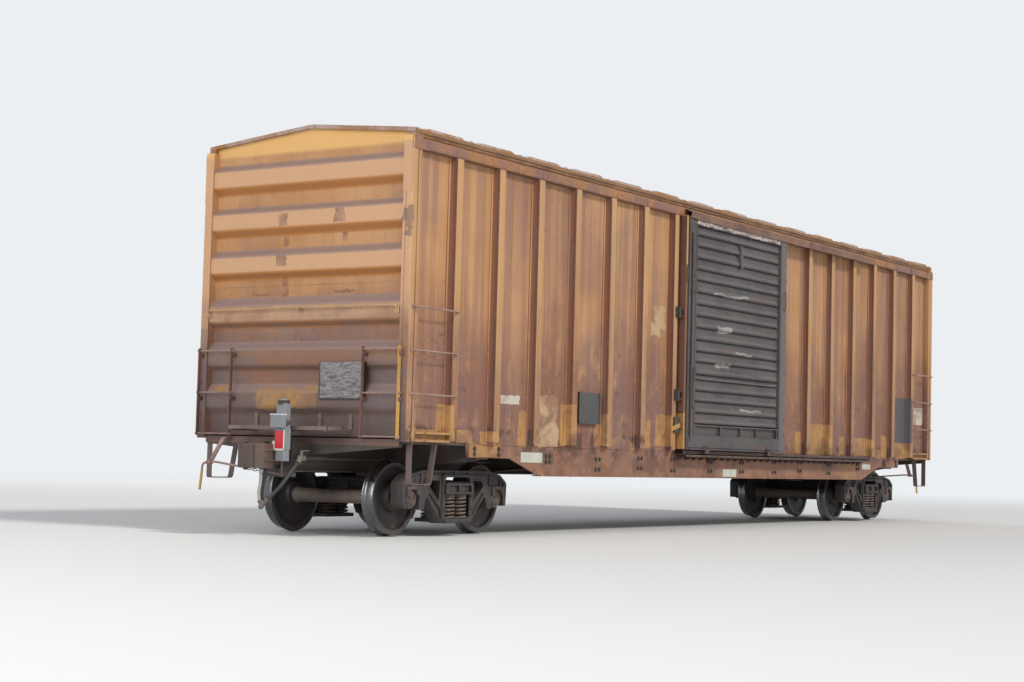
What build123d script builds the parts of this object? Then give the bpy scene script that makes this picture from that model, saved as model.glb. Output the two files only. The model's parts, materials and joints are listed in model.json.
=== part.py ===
from build123d import *
import math
import os

os.makedirs("parts", exist_ok=True)

# Fifty-foot exterior-post boxcar with one sliding door on each side.
# Millimetres. X runs along the car: end A is at -X, end B (hand brake) is at +X.
# The right side is at -Y and the left side at +Y. Z is up.
# The origin is the middle of the car at the level of the flange tips, on which the
# car stands. The top of the rail would be one flange height above it.
FLANGE_HEIGHT = 25.4


def over_rail(height):
    """A height that is measured from the top of the rail."""
    return FLANGE_HEIGHT + height


# Body
HALF_LENGTH = 7889.0
HALF_WIDTH = 1571.0
SHEET_Y = 1474.0
WALL = 26.0
INNER_Y = SHEET_Y - WALL
INNER_X = 7696.0
BODY_BOTTOM = over_rail(1083)
CORNER_BOTTOM = over_rail(1070)
FLOOR_TOP = over_rail(1115)
FLOOR_THICK = 60.0
CHORD_BOTTOM = over_rail(4360)
CHORD_TOP = over_rail(4500)
FASCIA_TOP = over_rail(4474)
EAVE = over_rail(4580)
PEAK = over_rail(4733)

# Running gear
TRUCK_CENTRE = 6223.0
WHEELBASE = 1727.2
WHEEL_RADIUS = 419.1
AXLE_HEIGHT = over_rail(WHEEL_RADIUS)
BOWL_HEIGHT = over_rail(654)

# Brake pipe: it runs on one side of the centre sill, crosses it and runs on
PIPE_RADIUS = 21.0
PIPE_Y = 300.0
PIPE_HEIGHT = over_rail(860)
PIPE_CROSSING = 800.0
PIPE_END = 8100.0
PIPE_BEND = 150.0

# How a box or cylinder sits on its place: by its lower face, or by one end
UPWARD = (Align.CENTER, Align.CENTER, Align.MIN)
DOWNWARD = (Align.CENTER, Align.CENTER, Align.MAX)


def outward_y(side):
    """Alignment of a box that stands out to one side from its place."""
    return (Align.CENTER, Align.MIN if side > 0 else Align.MAX, Align.CENTER)


def outward_x(end):
    """Alignment of a box that stands out to one end from its place."""
    return (Align.MIN if end > 0 else Align.MAX, Align.CENTER, Align.CENTER)


def write(piece, name):
    """Label one finished piece and store it as its own file."""
    piece.label = name
    export_step(piece, f"parts/{name}.step")


def write_pair(piece, right_name, left_name):
    """Store a piece of the right side, and the same turned round for the left side."""
    write(piece, right_name)
    with BuildPart() as turned:
        add(piece.rotate(Axis.Z, 180))
    write(turned.part, left_name)


def outline_solid(plane, points, amount, both=False):
    """A closed outline of straight lines on a plane, made as thick as the amount."""
    with BuildPart() as solid:
        with BuildSketch(plane):
            with BuildLine():
                Polyline(*points, close=True)
            make_face()
        extrude(amount=amount, both=both)
    return solid.part


def rounded_solid(plane, points, radii, amount, both=False):
    """As outline_solid, with each corner rounded by its own radius; 0 keeps it sharp."""
    with BuildPart() as solid:
        with BuildSketch(plane):
            with BuildLine():
                FilletPolyline(*points, radius=radii, close=True)
            make_face()
        extrude(amount=amount, both=both)
    return solid.part


def rounds_of(table):
    """The corner radii of an outline's table, which stand in its third column."""
    return [radius for _, _, radius in table]


# Underframe: centre sill with its draft ends and strikers
CENTRE_SILL_HALF = 165.0
CENTRE_SILL_FLANGE = 255.0
CENTRE_SILL_BOTTOM = over_rail(705)
CENTRE_SILL_TOP = FLOOR_TOP - FLOOR_THICK
CENTRE_SILL_WEB = 16.0
CENTRE_SILL_END = 8190.0
STRIKER = (80.0, 460.0, 400.0)
STRIKER_HOLE = (STRIKER[0] + 1, 200.0, 250.0)
STRIKER_HEIGHT = over_rail(845)
PIPE_HOLE_RADIUS = 70.0

with BuildPart() as center_sill:
    inner_web = CENTRE_SILL_HALF - CENTRE_SILL_WEB
    flange_top = CENTRE_SILL_BOTTOM + CENTRE_SILL_WEB
    half_section = [
        (inner_web, CENTRE_SILL_TOP - CENTRE_SILL_WEB),
        (inner_web, CENTRE_SILL_BOTTOM),
        (CENTRE_SILL_FLANGE, CENTRE_SILL_BOTTOM),
        (CENTRE_SILL_FLANGE, flange_top),
        (CENTRE_SILL_HALF, flange_top),
        (CENTRE_SILL_HALF, CENTRE_SILL_TOP),
    ]
    mirrored = [(-y, z) for y, z in reversed(half_section)]
    add(outline_solid(Plane.YZ, half_section + mirrored, CENTRE_SILL_END, both=True))
    # Strikers: a thick ring round each coupler shank
    with Locations((-CENTRE_SILL_END, 0, STRIKER_HEIGHT), (CENTRE_SILL_END, 0, STRIKER_HEIGHT)):
        Box(*STRIKER)
        Box(*STRIKER_HOLE, mode=Mode.SUBTRACT)
    # Holes where the brake pipe crosses from one side to the other
    with Locations(
        (PIPE_CROSSING - CENTRE_SILL_HALF, -CENTRE_SILL_HALF, PIPE_HEIGHT),
        (PIPE_CROSSING + CENTRE_SILL_HALF, CENTRE_SILL_HALF, PIPE_HEIGHT),
    ):
        Cylinder(PIPE_HOLE_RADIUS, 4 * CENTRE_SILL_WEB, rotation=(90, 0, 0), mode=Mode.SUBTRACT)
write(center_sill.part, "center_sill")

# Body bolsters with centre plates over the trucks, and jacking pads at their ends
BOLSTER_LENGTH = 400.0
BOLSTER_BOTTOM = over_rail(722)
BOLSTER_BENDS = ((640.0, over_rail(760)), (INNER_Y, over_rail(930)))
JACK_PAD = over_rail(895)
JACK_PAD_Y = 1369.0
JACK_PAD_SIZE = (240.0, 150.0, 60.0)
CENTRE_PLATE = (150.0, 30.0)
CENTRE_FILLER = (480.0, 510.0, 50.0)
CENTRE_FILLER_TOP = CENTRE_SILL_BOTTOM
CENTRE_GAP = 1.0

with BuildPart() as body_bolsters:
    for side in (-1, 1):
        profile = (
            (side * CENTRE_SILL_HALF, BOLSTER_BOTTOM),
            *[(side * y, z) for y, z in BOLSTER_BENDS],
            (side * INNER_Y, CENTRE_SILL_TOP),
            (side * CENTRE_SILL_HALF, CENTRE_SILL_TOP),
        )
        for end in (-1, 1):
            start = Plane.YZ.offset(end * TRUCK_CENTRE - BOLSTER_LENGTH / 2)
            add(outline_solid(start, profile, BOLSTER_LENGTH))
    with Locations((-TRUCK_CENTRE, 0, 0), (TRUCK_CENTRE, 0, 0)):
        with Locations((0, 0, CENTRE_FILLER_TOP)):
            Box(*CENTRE_FILLER, align=DOWNWARD)
        with Locations((0, 0, BOWL_HEIGHT + CENTRE_GAP)):
            Cylinder(*CENTRE_PLATE, align=UPWARD)
        with Locations((0, -JACK_PAD_Y, JACK_PAD), (0, JACK_PAD_Y, JACK_PAD)):
            Box(*JACK_PAD_SIZE, align=UPWARD)
        with Locations((0, -PIPE_Y, PIPE_HEIGHT), (0, PIPE_Y, PIPE_HEIGHT)):
            Cylinder(PIPE_RADIUS, 2 * BOLSTER_LENGTH, rotation=(0, 90, 0), mode=Mode.SUBTRACT)
write(body_bolsters.part, "body_bolsters")

# Crossbearers between the centre sill and the side sills: a web between two flanges
CROSSBEARER_STATIONS = (-4370.0, -3040.0, -1620.0, 0.0, 1620.0, 3040.0, 4370.0)
CROSSBEARER_WIDTH = 120.0
CROSSBEARER_PLATE = 14.0
CROSSBEARER_RISE = over_rail(830)
CROSSBEARER_ELBOW_Y = 1340.0

with BuildPart() as crossbearer:
    lower = [
        (CENTRE_SILL_HALF, BOLSTER_BOTTOM), (CENTRE_SILL_FLANGE, BOLSTER_BOTTOM),
        (CROSSBEARER_ELBOW_Y, CROSSBEARER_RISE), (INNER_Y, CROSSBEARER_RISE),
    ]
    lifted = [(y, z + CROSSBEARER_PLATE) for y, z in reversed(lower)]
    upper = [(INNER_Y, CENTRE_SILL_TOP), (CENTRE_SILL_HALF, CENTRE_SILL_TOP)]
    add(outline_solid(Plane.YZ, lower + upper, CROSSBEARER_PLATE / 2, both=True))
    add(outline_solid(Plane.YZ, lower + lifted, CROSSBEARER_WIDTH / 2, both=True))
    with Locations((0, (CENTRE_SILL_HALF + INNER_Y) / 2, CENTRE_SILL_TOP)):
        Box(CROSSBEARER_WIDTH, INNER_Y - CENTRE_SILL_HALF, CROSSBEARER_PLATE, align=DOWNWARD)
    with Locations((0, PIPE_Y, PIPE_HEIGHT)):
        Cylinder(PIPE_RADIUS, 2 * CROSSBEARER_WIDTH, rotation=(0, 90, 0), mode=Mode.SUBTRACT)
with BuildPart() as crossbearers:
    with Locations([Location((x, 0, 0), (0, 0, turn)) for x in CROSSBEARER_STATIONS for turn in (0, 180)]):
        add(crossbearer.part)
write(crossbearers.part, "crossbearers")

# Floor
with BuildPart() as floor:
    with Locations((0, 0, FLOOR_TOP)):
        Box(2 * INNER_X, 2 * INNER_Y, FLOOR_THICK, align=DOWNWARD)
write(floor.part, "floor")

# Side sills: a fish-belly plate with a flange turned in along its straight bottom
SILL_BOTTOM = over_rail(705)
SILL_STEP = over_rail(915)
SILL_CORNERS = (
    (6612.0, BODY_BOTTOM), (6552.0, SILL_STEP), (5680.0, SILL_STEP), (5008.0, SILL_BOTTOM),
)
SILL_FLANGE = 90.0
SILL_PLATE = 14.0

with BuildPart() as side_sill:
    far_corners = [(-x, z) for x, z in reversed(SILL_CORNERS)]
    add(outline_solid(Plane.XZ.offset(INNER_Y), list(SILL_CORNERS) + far_corners, WALL))
    with Locations((0, -INNER_Y, SILL_BOTTOM)):
        Box(2 * SILL_CORNERS[-1][0], SILL_FLANGE, SILL_PLATE, align=(Align.CENTER, Align.MIN, Align.MIN))
write_pair(side_sill.part, "side_sill_right", "side_sill_left")

# Side walls: the sheet, its open hat posts, the channel under the corner bay, and the
# door post where the door closes. The door slides over the other half, which has none.
POST_FACE = 127.0
POST_BASE = 158.0
POST_PLATE = 8.0
POST_BOTTOM = over_rail(1100)
POST_STATIONS = (2630.0, 3500.0, 4370.0, 5240.0, 6110.0, 6980.0)
CORNER_POST_INNER = 7722.0
DOOR_HALF = 1524.0
DOOR_POST_OUTER = 1725.0
DOOR_POST_WIDTH = 115.0
CHANNEL_LIP_TOP = over_rail(1190)
CHANNEL_LIP = 24.0
CHANNEL_WEB_Y = 1508.0


def post_section(middle):
    """The hat section of one post, open towards the sheet."""
    base, face = POST_BASE / 2, POST_FACE / 2
    return (
        (middle - base, -SHEET_Y),
        (middle - face, -HALF_WIDTH),
        (middle + face, -HALF_WIDTH),
        (middle + base, -SHEET_Y),
        (middle + base - POST_PLATE, -SHEET_Y),
        (middle + face - POST_PLATE, -HALF_WIDTH + POST_PLATE),
        (middle - face + POST_PLATE, -HALF_WIDTH + POST_PLATE),
        (middle - base + POST_PLATE, -SHEET_Y),
    )


def side_wall(end, with_door_post):
    """Half of the right side, from the doorway to the corner post of one end."""
    sheet_middle = end * (CORNER_POST_INNER + DOOR_HALF) / 2
    channel_start = POST_STATIONS[-1] + POST_FACE / 2
    channel = (
        (-SHEET_Y, CORNER_BOTTOM), (-HALF_WIDTH, CORNER_BOTTOM), (-HALF_WIDTH, CORNER_BOTTOM + CHANNEL_LIP),
        (-CHANNEL_WEB_Y, CORNER_BOTTOM + CHANNEL_LIP), (-CHANNEL_WEB_Y, CHANNEL_LIP_TOP - CHANNEL_LIP),
        (-HALF_WIDTH, CHANNEL_LIP_TOP - CHANNEL_LIP), (-HALF_WIDTH, CHANNEL_LIP_TOP),
        (-SHEET_Y, CHANNEL_LIP_TOP),
    )
    with BuildPart() as wall:
        with Locations((sheet_middle, -INNER_Y, BODY_BOTTOM)):
            Box(
                CORNER_POST_INNER - DOOR_HALF, WALL, CHORD_BOTTOM - BODY_BOTTOM,
                align=(Align.CENTER, Align.MAX, Align.MIN),
            )
        for station in POST_STATIONS:
            add(outline_solid(
                Plane.XY.offset(POST_BOTTOM), post_section(end * station), CHORD_BOTTOM - POST_BOTTOM
            ))
        if with_door_post:
            with Locations((end * (DOOR_POST_OUTER + DOOR_POST_WIDTH / 2), -SHEET_Y, BODY_BOTTOM)):
                Box(
                    DOOR_POST_WIDTH, HALF_WIDTH - SHEET_Y, CHORD_BOTTOM - BODY_BOTTOM,
                    align=(Align.CENTER, Align.MAX, Align.MIN),
                )
        near = min(end * channel_start, end * CORNER_POST_INNER)
        add(outline_solid(Plane.YZ.offset(near), channel, CORNER_POST_INNER - channel_start))
    return wall.part


write_pair(side_wall(-1, True), "side_wall_right_a", "side_wall_left_b")
write_pair(side_wall(1, False), "side_wall_right_b", "side_wall_left_a")

# End walls: two corrugated plates that lap over a flat lining, the gable over them, and
# the rounded corner posts with their caps
END_CREST = 7879.0
END_VALLEY = 7786.0
END_BOTTOM = over_rail(1098)
END_SEAM = over_rail(2872)
END_LAP = (6.0, 55.0)
CREST_ROUND = 42.0
VALLEY_ROUND = 30.0
CORNER_ROUND = 32.0
CAP_THICK = 12.0
CAP_FOOT = over_rail(3855)
CAP_SLOPE = 45.0
END_RIBS = (
    # underside end, crest bottom, crest top, slope top
    (1358.0, 1447.0, 1620.0, 1712.0),
    (1868.0, 1941.0, 2121.0, 2206.0),
    (2376.0, 2448.0, 2636.0, 2734.0),
    (2953.0, 3033.0, 3226.0, 3302.0),
    (3466.0, 3554.0, 3749.0, 3810.0),
    (3978.0, 4067.0, 4267.0, 4333.0),
)
ROOF_THICK = 30.0

with BuildPart() as end_wall:
    outline = [(-INNER_X, END_BOTTOM), (-END_VALLEY, END_BOTTOM)]
    rounds = [0.0, 0.0]
    for under, crest_low, crest_high, slope in END_RIBS:
        outline.append((-END_VALLEY, over_rail(under)))
        outline.append((-END_CREST, over_rail(crest_low)))
        outline.append((-END_CREST, over_rail(crest_high)))
        outline.append((-END_VALLEY, over_rail(slope)))
        rounds += [VALLEY_ROUND, CREST_ROUND, CREST_ROUND, VALLEY_ROUND]
    outline += [(-END_VALLEY, CHORD_TOP), (-INNER_X, CHORD_TOP)]
    rounds += [0.0, 0.0]
    add(rounded_solid(Plane.XZ, outline, rounds, INNER_Y, both=True))
    lap_out, lap_height = END_LAP
    with Locations((-END_VALLEY, 0, END_SEAM)):
        Box(lap_out, 2 * INNER_Y, lap_height, align=(Align.MAX, Align.CENTER, Align.MIN))
    gable = (
        (-INNER_Y, CHORD_TOP),
        (-INNER_Y, EAVE - ROOF_THICK),
        (0, PEAK - ROOF_THICK),
        (INNER_Y, EAVE - ROOF_THICK),
        (INNER_Y, CHORD_TOP),
    )
    add(outline_solid(Plane.YZ.offset(-END_VALLEY), gable, END_VALLEY - INNER_X))
    for side in (-1, 1):
        inner, outer = side * INNER_Y, side * HALF_WIDTH
        post = (
            (-CORNER_POST_INNER, inner), (-HALF_LENGTH, inner),
            (-HALF_LENGTH, outer), (-CORNER_POST_INNER, outer),
        )
        add(rounded_solid(
            Plane.XY.offset(CORNER_BOTTOM), post, [0.0, 0.0, CORNER_ROUND, 0.0], CHORD_TOP - CORNER_BOTTOM
        ))
        cap = (
            (-HALF_LENGTH, CHORD_TOP),
            (-HALF_LENGTH - CAP_THICK, CHORD_TOP),
            (-HALF_LENGTH - CAP_THICK, CAP_FOOT + CAP_SLOPE),
            (-HALF_LENGTH, CAP_FOOT),
        )
        cap_middle = side * (INNER_Y + HALF_WIDTH - CORNER_ROUND) / 2
        cap_half = (HALF_WIDTH - CORNER_ROUND - INNER_Y) / 2
        add(outline_solid(Plane.XZ.offset(-cap_middle), cap, cap_half, both=True))
write_pair(end_wall.part, "end_wall_a", "end_wall_b")

# Top chords, which carry the fascia under the eaves
ROOF_HALF_WIDTH = 1555.0
FASCIA_EDGE = 12.0

with BuildPart() as top_chord:
    section = (
        (-INNER_Y, CHORD_BOTTOM),
        (-HALF_WIDTH, CHORD_BOTTOM),
        (-HALF_WIDTH, FASCIA_TOP),
        (-ROOF_HALF_WIDTH, CHORD_TOP),
        (-INNER_Y, CHORD_TOP),
    )
    add(rounded_solid(
        Plane.YZ, section, [0.0, FASCIA_EDGE, FASCIA_EDGE, 0.0, 0.0], CORNER_POST_INNER, both=True
    ))
write_pair(top_chord.part, "top_chord_right", "top_chord_left")

# Roof: a shallow gable with turned-down eaves, a cap over each joint of its sheets, and
# a raised panel with slanted sides on both slopes of every sheet
ROOF_HALF_LENGTH = 7800.0
ROOF_PANELS = 15
ROOF_PITCH = 2 * ROOF_HALF_LENGTH / ROOF_PANELS
ROOF_LIP = 26.0
SEAM_WIDTH = 50.0
SEAM_RISE = 18.0
PANEL_RISE = 30.0
PANEL_SINK = 6.0
PANEL_RIDGE_Y = 150.0
PANEL_FOOT_SHARES = (0.13, 0.87)
PANEL_TOP_SHARES = (0.24, 0.76)
PANEL_SLANT = 100.0


def roof_height(y):
    """Height of the roof's upper face at a distance from its ridge."""
    return PEAK - (PEAK - EAVE) * abs(y) / ROOF_HALF_WIDTH


def raised_panel(start, side):
    """One raised panel of the slope on one side, on the sheet that starts at a station."""
    with BuildPart() as panel:
        for y, slant in ((side * PANEL_RIDGE_Y, -PANEL_SLANT / 2), (side * ROOF_HALF_WIDTH, PANEL_SLANT / 2)):
            foot = [start + share * ROOF_PITCH + slant / 2 for share in PANEL_FOOT_SHARES]
            top = [start + share * ROOF_PITCH + slant / 2 for share in PANEL_TOP_SHARES]
            low = roof_height(y) - PANEL_SINK
            high = roof_height(y) + PANEL_RISE
            with BuildSketch(Plane.XZ.offset(-y)):
                with BuildLine():
                    Polyline((foot[0], low), (top[0], high), (top[1], high), (foot[1], low), close=True)
                make_face()
        loft(ruled=True)
    return panel.part


with BuildPart() as roof:
    edge = ROOF_HALF_WIDTH - ROOF_LIP
    roof_section = (
        (-ROOF_HALF_WIDTH, CHORD_TOP), (-ROOF_HALF_WIDTH, EAVE), (0, PEAK), (ROOF_HALF_WIDTH, EAVE),
        (ROOF_HALF_WIDTH, CHORD_TOP), (edge, CHORD_TOP), (edge, EAVE - ROOF_THICK), (0, PEAK - ROOF_THICK),
        (-edge, EAVE - ROOF_THICK), (-edge, CHORD_TOP),
    )
    add(outline_solid(Plane.YZ, roof_section, ROOF_HALF_LENGTH, both=True))
    seam_section = (
        (-ROOF_HALF_WIDTH, EAVE), (-ROOF_HALF_WIDTH, EAVE + SEAM_RISE), (0, PEAK + SEAM_RISE),
        (ROOF_HALF_WIDTH, EAVE + SEAM_RISE), (ROOF_HALF_WIDTH, EAVE), (0, PEAK),
    )
    for number in range(ROOF_PANELS):
        station = -ROOF_HALF_LENGTH + number * ROOF_PITCH
        if number > 0:
            add(outline_solid(Plane.YZ.offset(station), seam_section, SEAM_WIDTH / 2, both=True))
        for side in (-1, 1):
            add(raised_panel(station, side))
write(roof.part, "roof")

# Sliding doors: channel stiles, a corrugated panel, and a deep bottom band of pockets.
# The pair of creases close together is where the two sheets of the panel meet.
DOOR_HALF_WIDTH = 1560.0
DOOR_BOTTOM = over_rail(1100)
DOOR_TOP = over_rail(4372)
DOOR_INNER_Y = 1584.0
DOOR_OUTER_Y = 1660.0
DOOR_STILE = 205.0
DOOR_STILE_ROUND = 14.0
PANEL_BOTTOM = over_rail(1310)
PANEL_TOP = over_rail(4325)
POCKET_TOP = over_rail(1440)
POCKET_WALLS = (-1290.0, -540.0, 100.0, 620.0, 1290.0)
POCKET_WALL = 24.0
POCKET_BAR = 16.0
DOOR_STIFFENERS = [
    # middle, width, bottom, top: the pocket walls, the bar over them, two plates above
    *[(x, POCKET_WALL, PANEL_BOTTOM, POCKET_TOP) for x in POCKET_WALLS],
    (0.0, 2 * (DOOR_HALF_WIDTH - DOOR_STILE), POCKET_TOP - POCKET_BAR, POCKET_TOP),
    (-12.0, 40.0, over_rail(3800), PANEL_TOP),
    (35.0, 56.0, over_rail(3780), over_rail(4000)),
]
SHEET_BACK = 14.0
SHEET_FRONT = 34.0
CREASE_OUT = 66.0
WAVE = (
    # face, share of the way to the next crease, radius of the corner
    ("flat", 0.0, 3.0), ("crest", 0.14, 7.0), ("crest", 0.34, 7.0), ("flat", 0.86, 3.0),
)
DOOR_CREASES = (
    1457.0, 1611.0, 1772.0, 1921.0, 2083.0, 2151.0, 2326.0, 2475.0, 2637.0, 2808.0, 2975.0, 3138.0,
    3306.0, 3476.0, 3631.0, 3788.0, 3956.0, 4114.0, 4270.0,
)

with BuildPart() as door:
    panel_half = DOOR_HALF_WIDTH - DOOR_STILE
    # Frame: the bands at the top and bottom, and the two stiles
    for low, high in ((DOOR_BOTTOM, PANEL_BOTTOM), (PANEL_TOP, DOOR_TOP)):
        with Locations((0, -DOOR_INNER_Y, low)):
            Box(
                2 * panel_half, DOOR_OUTER_Y - DOOR_INNER_Y, high - low,
                align=(Align.CENTER, Align.MAX, Align.MIN),
            )
    for side in (-1, 1):
        stile = (
            (side * panel_half, -DOOR_INNER_Y), (side * panel_half, -DOOR_OUTER_Y),
            (side * DOOR_HALF_WIDTH, -DOOR_OUTER_Y), (side * DOOR_HALF_WIDTH, -DOOR_INNER_Y),
        )
        add(rounded_solid(
            Plane.XY.offset(DOOR_BOTTOM), stile, [0.0, DOOR_STILE_ROUND, DOOR_STILE_ROUND, 0.0],
            DOOR_TOP - DOOR_BOTTOM,
        ))
    # Panel: each corrugation swells above its crease and folds back sharply under its lip
    flat = -DOOR_INNER_Y - SHEET_FRONT
    crest = -DOOR_INNER_Y - CREASE_OUT
    wave = [(-DOOR_INNER_Y - SHEET_BACK, PANEL_BOTTOM), (flat, PANEL_BOTTOM)]
    wave_rounds = [0.0, 0.0]
    for crease, above in zip(DOOR_CREASES, DOOR_CREASES[1:]):
        tall = above - crease
        for place, share, bend in WAVE:
            wave.append((crest if place == "crest" else flat, over_rail(crease + share * tall)))
            wave_rounds.append(bend)
    wave += [(flat, PANEL_TOP), (-DOOR_INNER_Y - SHEET_BACK, PANEL_TOP)]
    wave_rounds += [0.0, 0.0]
    add(rounded_solid(Plane.YZ, wave, wave_rounds, panel_half, both=True))
    # Pocket walls with the bar over them, and the two short plates under the top band
    reach = DOOR_OUTER_Y - DOOR_INNER_Y - SHEET_BACK
    for station, width, low, high in DOOR_STIFFENERS:
        with Locations((station, -DOOR_OUTER_Y, low)):
            Box(width, reach, high - low, align=(Align.CENTER, Align.MIN, Align.MIN))
write_pair(door.part, "door_right", "door_left")

# What a door carries: roller housings, and the lock bar in its brackets with its handle
ROLLER_STATIONS = (-1000.0, 1000.0)
ROLLER_PARTS = (
    # size in x, size in y, size in z, distance in front of the door, height of its middle
    (170.0, 32.0, 70.0, 0.0, 35.0),
    (120.0, 14.0, 50.0, 18.0, -25.0),
)
ROLLER_PIN = (22.0, 8.0)
LOCK_BAR_X = -1500.0
LOCK_BAR_RADIUS = 14.0
LOCK_BAR_OUT = 16.0
LOCK_BAR_BOTTOM = over_rail(1220)
LOCK_BAR_LENGTH = 2920.0
LOCK_BRACKETS = (1340.0, 1950.0, 2600.0, 3300.0, 4020.0)
LOCK_BASE = (80.0, 12.0, 50.0)
LOCK_GUIDE = (44.0, 32.0, 34.0)
LOCK_HANDLE = ((-1520.0, 1700.0), (-1480.0, 1700.0), (-1400.0, 2250.0), (-1436.0, 2260.0))
LOCK_HANDLE_THICK = 12.0
LOCK_HANDLE_OUT = 24.0

with BuildPart() as door_fittings:
    for station in ROLLER_STATIONS:
        for length, deep, tall, front, middle in ROLLER_PARTS:
            with Locations((station, -DOOR_OUTER_Y - front, DOOR_BOTTOM + middle)):
                Box(length, deep, tall, align=outward_y(-1))
        _, deep, _, _, middle = ROLLER_PARTS[0]
        with Locations((station, -DOOR_OUTER_Y - deep, DOOR_BOTTOM + middle)):
            Cylinder(*ROLLER_PIN, rotation=(90, 0, 0))
    with Locations((LOCK_BAR_X, -DOOR_OUTER_Y - LOCK_BAR_OUT, LOCK_BAR_BOTTOM)):
        Cylinder(LOCK_BAR_RADIUS, LOCK_BAR_LENGTH, align=UPWARD)
    for level in LOCK_BRACKETS:
        with Locations((LOCK_BAR_X, -DOOR_OUTER_Y, over_rail(level))):
            Box(*LOCK_BASE, align=outward_y(-1))
            Box(*LOCK_GUIDE, align=outward_y(-1))
    handle = [(x, over_rail(z)) for x, z in LOCK_HANDLE]
    add(outline_solid(Plane.XZ.offset(DOOR_OUTER_Y + LOCK_HANDLE_OUT), handle, LOCK_HANDLE_THICK))
write_pair(door_fittings.part, "door_fittings_right", "door_fittings_left")

# Door tracks: a rail under the door on small gussets, and a hood over its top
TRACK_START = -1580.0
TRACK_END = 4830.0
TRACK_LENGTH = TRACK_END - TRACK_START
TRACK_MIDDLE = (TRACK_START + TRACK_END) / 2
SHELF_EDGE_Y = 1668.0
SHELF_LOW = over_rail(1030)
SHELF_TOP = over_rail(1046)
RAIL_Y = 1616.0
RAIL_THICK = 14.0
RAIL_TOP = over_rail(1086)
SHELF_LIP = 10.0
SHELF_LIP_HEIGHT = 46.0
GUSSET_START = 200.0
GUSSET_PITCH = 425.0
GUSSET_COUNT = 15
GUSSET_THICK = 12.0
GUSSET = (
    # y, z, from the side sheet out to the lip
    (-SHEET_Y, SHELF_LOW), (-SHELF_EDGE_Y + SHELF_LIP, SHELF_LOW), (-SHELF_EDGE_Y + SHELF_LIP, SHELF_LOW - 8),
    (-SHEET_Y - 20, over_rail(955)), (-SHEET_Y, over_rail(955)),
)
HOOD = (
    # y, z, from the fascia over the door and down in front of it
    (-HALF_WIDTH, over_rail(4390)), (-HALF_WIDTH, over_rail(4460)), (-1580, over_rail(4466)),
    (-1690, over_rail(4425)), (-1690, over_rail(4330)), (-1680, over_rail(4330)),
    (-1680, over_rail(4415)), (-1590, over_rail(4448)), (-1590, over_rail(4390)),
)

with BuildPart() as door_tracks:
    with Locations((TRACK_MIDDLE, -SHEET_Y, SHELF_LOW)):
        Box(
            TRACK_LENGTH, SHELF_EDGE_Y - SHEET_Y, SHELF_TOP - SHELF_LOW,
            align=(Align.CENTER, Align.MAX, Align.MIN),
        )
    with Locations((TRACK_MIDDLE, -SHELF_EDGE_Y, SHELF_TOP)):
        Box(TRACK_LENGTH, SHELF_LIP, SHELF_LIP_HEIGHT, align=(Align.CENTER, Align.MIN, Align.MAX))
    with Locations((TRACK_MIDDLE, -RAIL_Y, SHELF_TOP)):
        Box(TRACK_LENGTH, RAIL_THICK, RAIL_TOP - SHELF_TOP, align=UPWARD)
    for number in range(GUSSET_COUNT):
        station = TRACK_START + GUSSET_START + number * GUSSET_PITCH
        add(outline_solid(Plane.YZ.offset(station), GUSSET, GUSSET_THICK / 2, both=True))
    add(outline_solid(Plane.YZ.offset(TRACK_START), HOOD, TRACK_LENGTH))
write_pair(door_tracks.part, "door_tracks_right", "door_tracks_left")

# Keepers on the door posts, each with two arms that reach to the closed door
KEEPER_LEVELS = (1850.0, 3000.0)
KEEPER_PARTS = (
    # distance from the door's middle, size in x, in y, in z, height over the level
    (1750.0, 100.0, 10.0, 156.0, 0.0),
    (1740.0, 40.0, 50.0, 156.0, 0.0),
    (1668.0, 150.0, 50.0, 16.0, -52.0),
    (1668.0, 150.0, 50.0, 16.0, 52.0),
)

with BuildPart() as door_keepers:
    for side in (-1, 1):
        for level in KEEPER_LEVELS:
            for station, length, out, tall, lift in KEEPER_PARTS:
                with Locations((side * station, side * HALF_WIDTH, over_rail(level + lift))):
                    Box(length, out, tall, align=outward_y(side))
write(door_keepers.part, "door_keepers")

# Grab irons, handholds and rungs are bent rods with their ends on the wall
ROD = 10.0
ROD_BEND = 30.0
GRAB_STAND = 62.0


def grab_rod(start, end, out, stand):
    """A straight grab rod that stands off its wall on two short legs."""
    start = Vector(*start)
    end = Vector(*end)
    away = Vector(*out) * stand
    with BuildPart() as rod:
        with BuildLine() as path:
            FilletPolyline(start, start + away, end + away, end, radius=ROD_BEND)
        with BuildSketch(Plane(origin=start, z_dir=away)):
            Circle(ROD)
        sweep(path=path.line)
    return rod.part


# Side grab irons, three at each corner over the steps
GRAB_X = (7790.0, 7010.0)
GRAB_LEVELS = (1607.0, 2092.0, 2578.0)
with BuildPart() as side_grab_irons:
    for side in (-1, 1):
        for end in (-1, 1):
            for level in GRAB_LEVELS:
                ends = [(end * x, side * HALF_WIDTH, over_rail(level)) for x in GRAB_X]
                add(grab_rod(*ends, (0, side, 0), GRAB_STAND))
write(side_grab_irons.part, "side_grab_irons")

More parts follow.
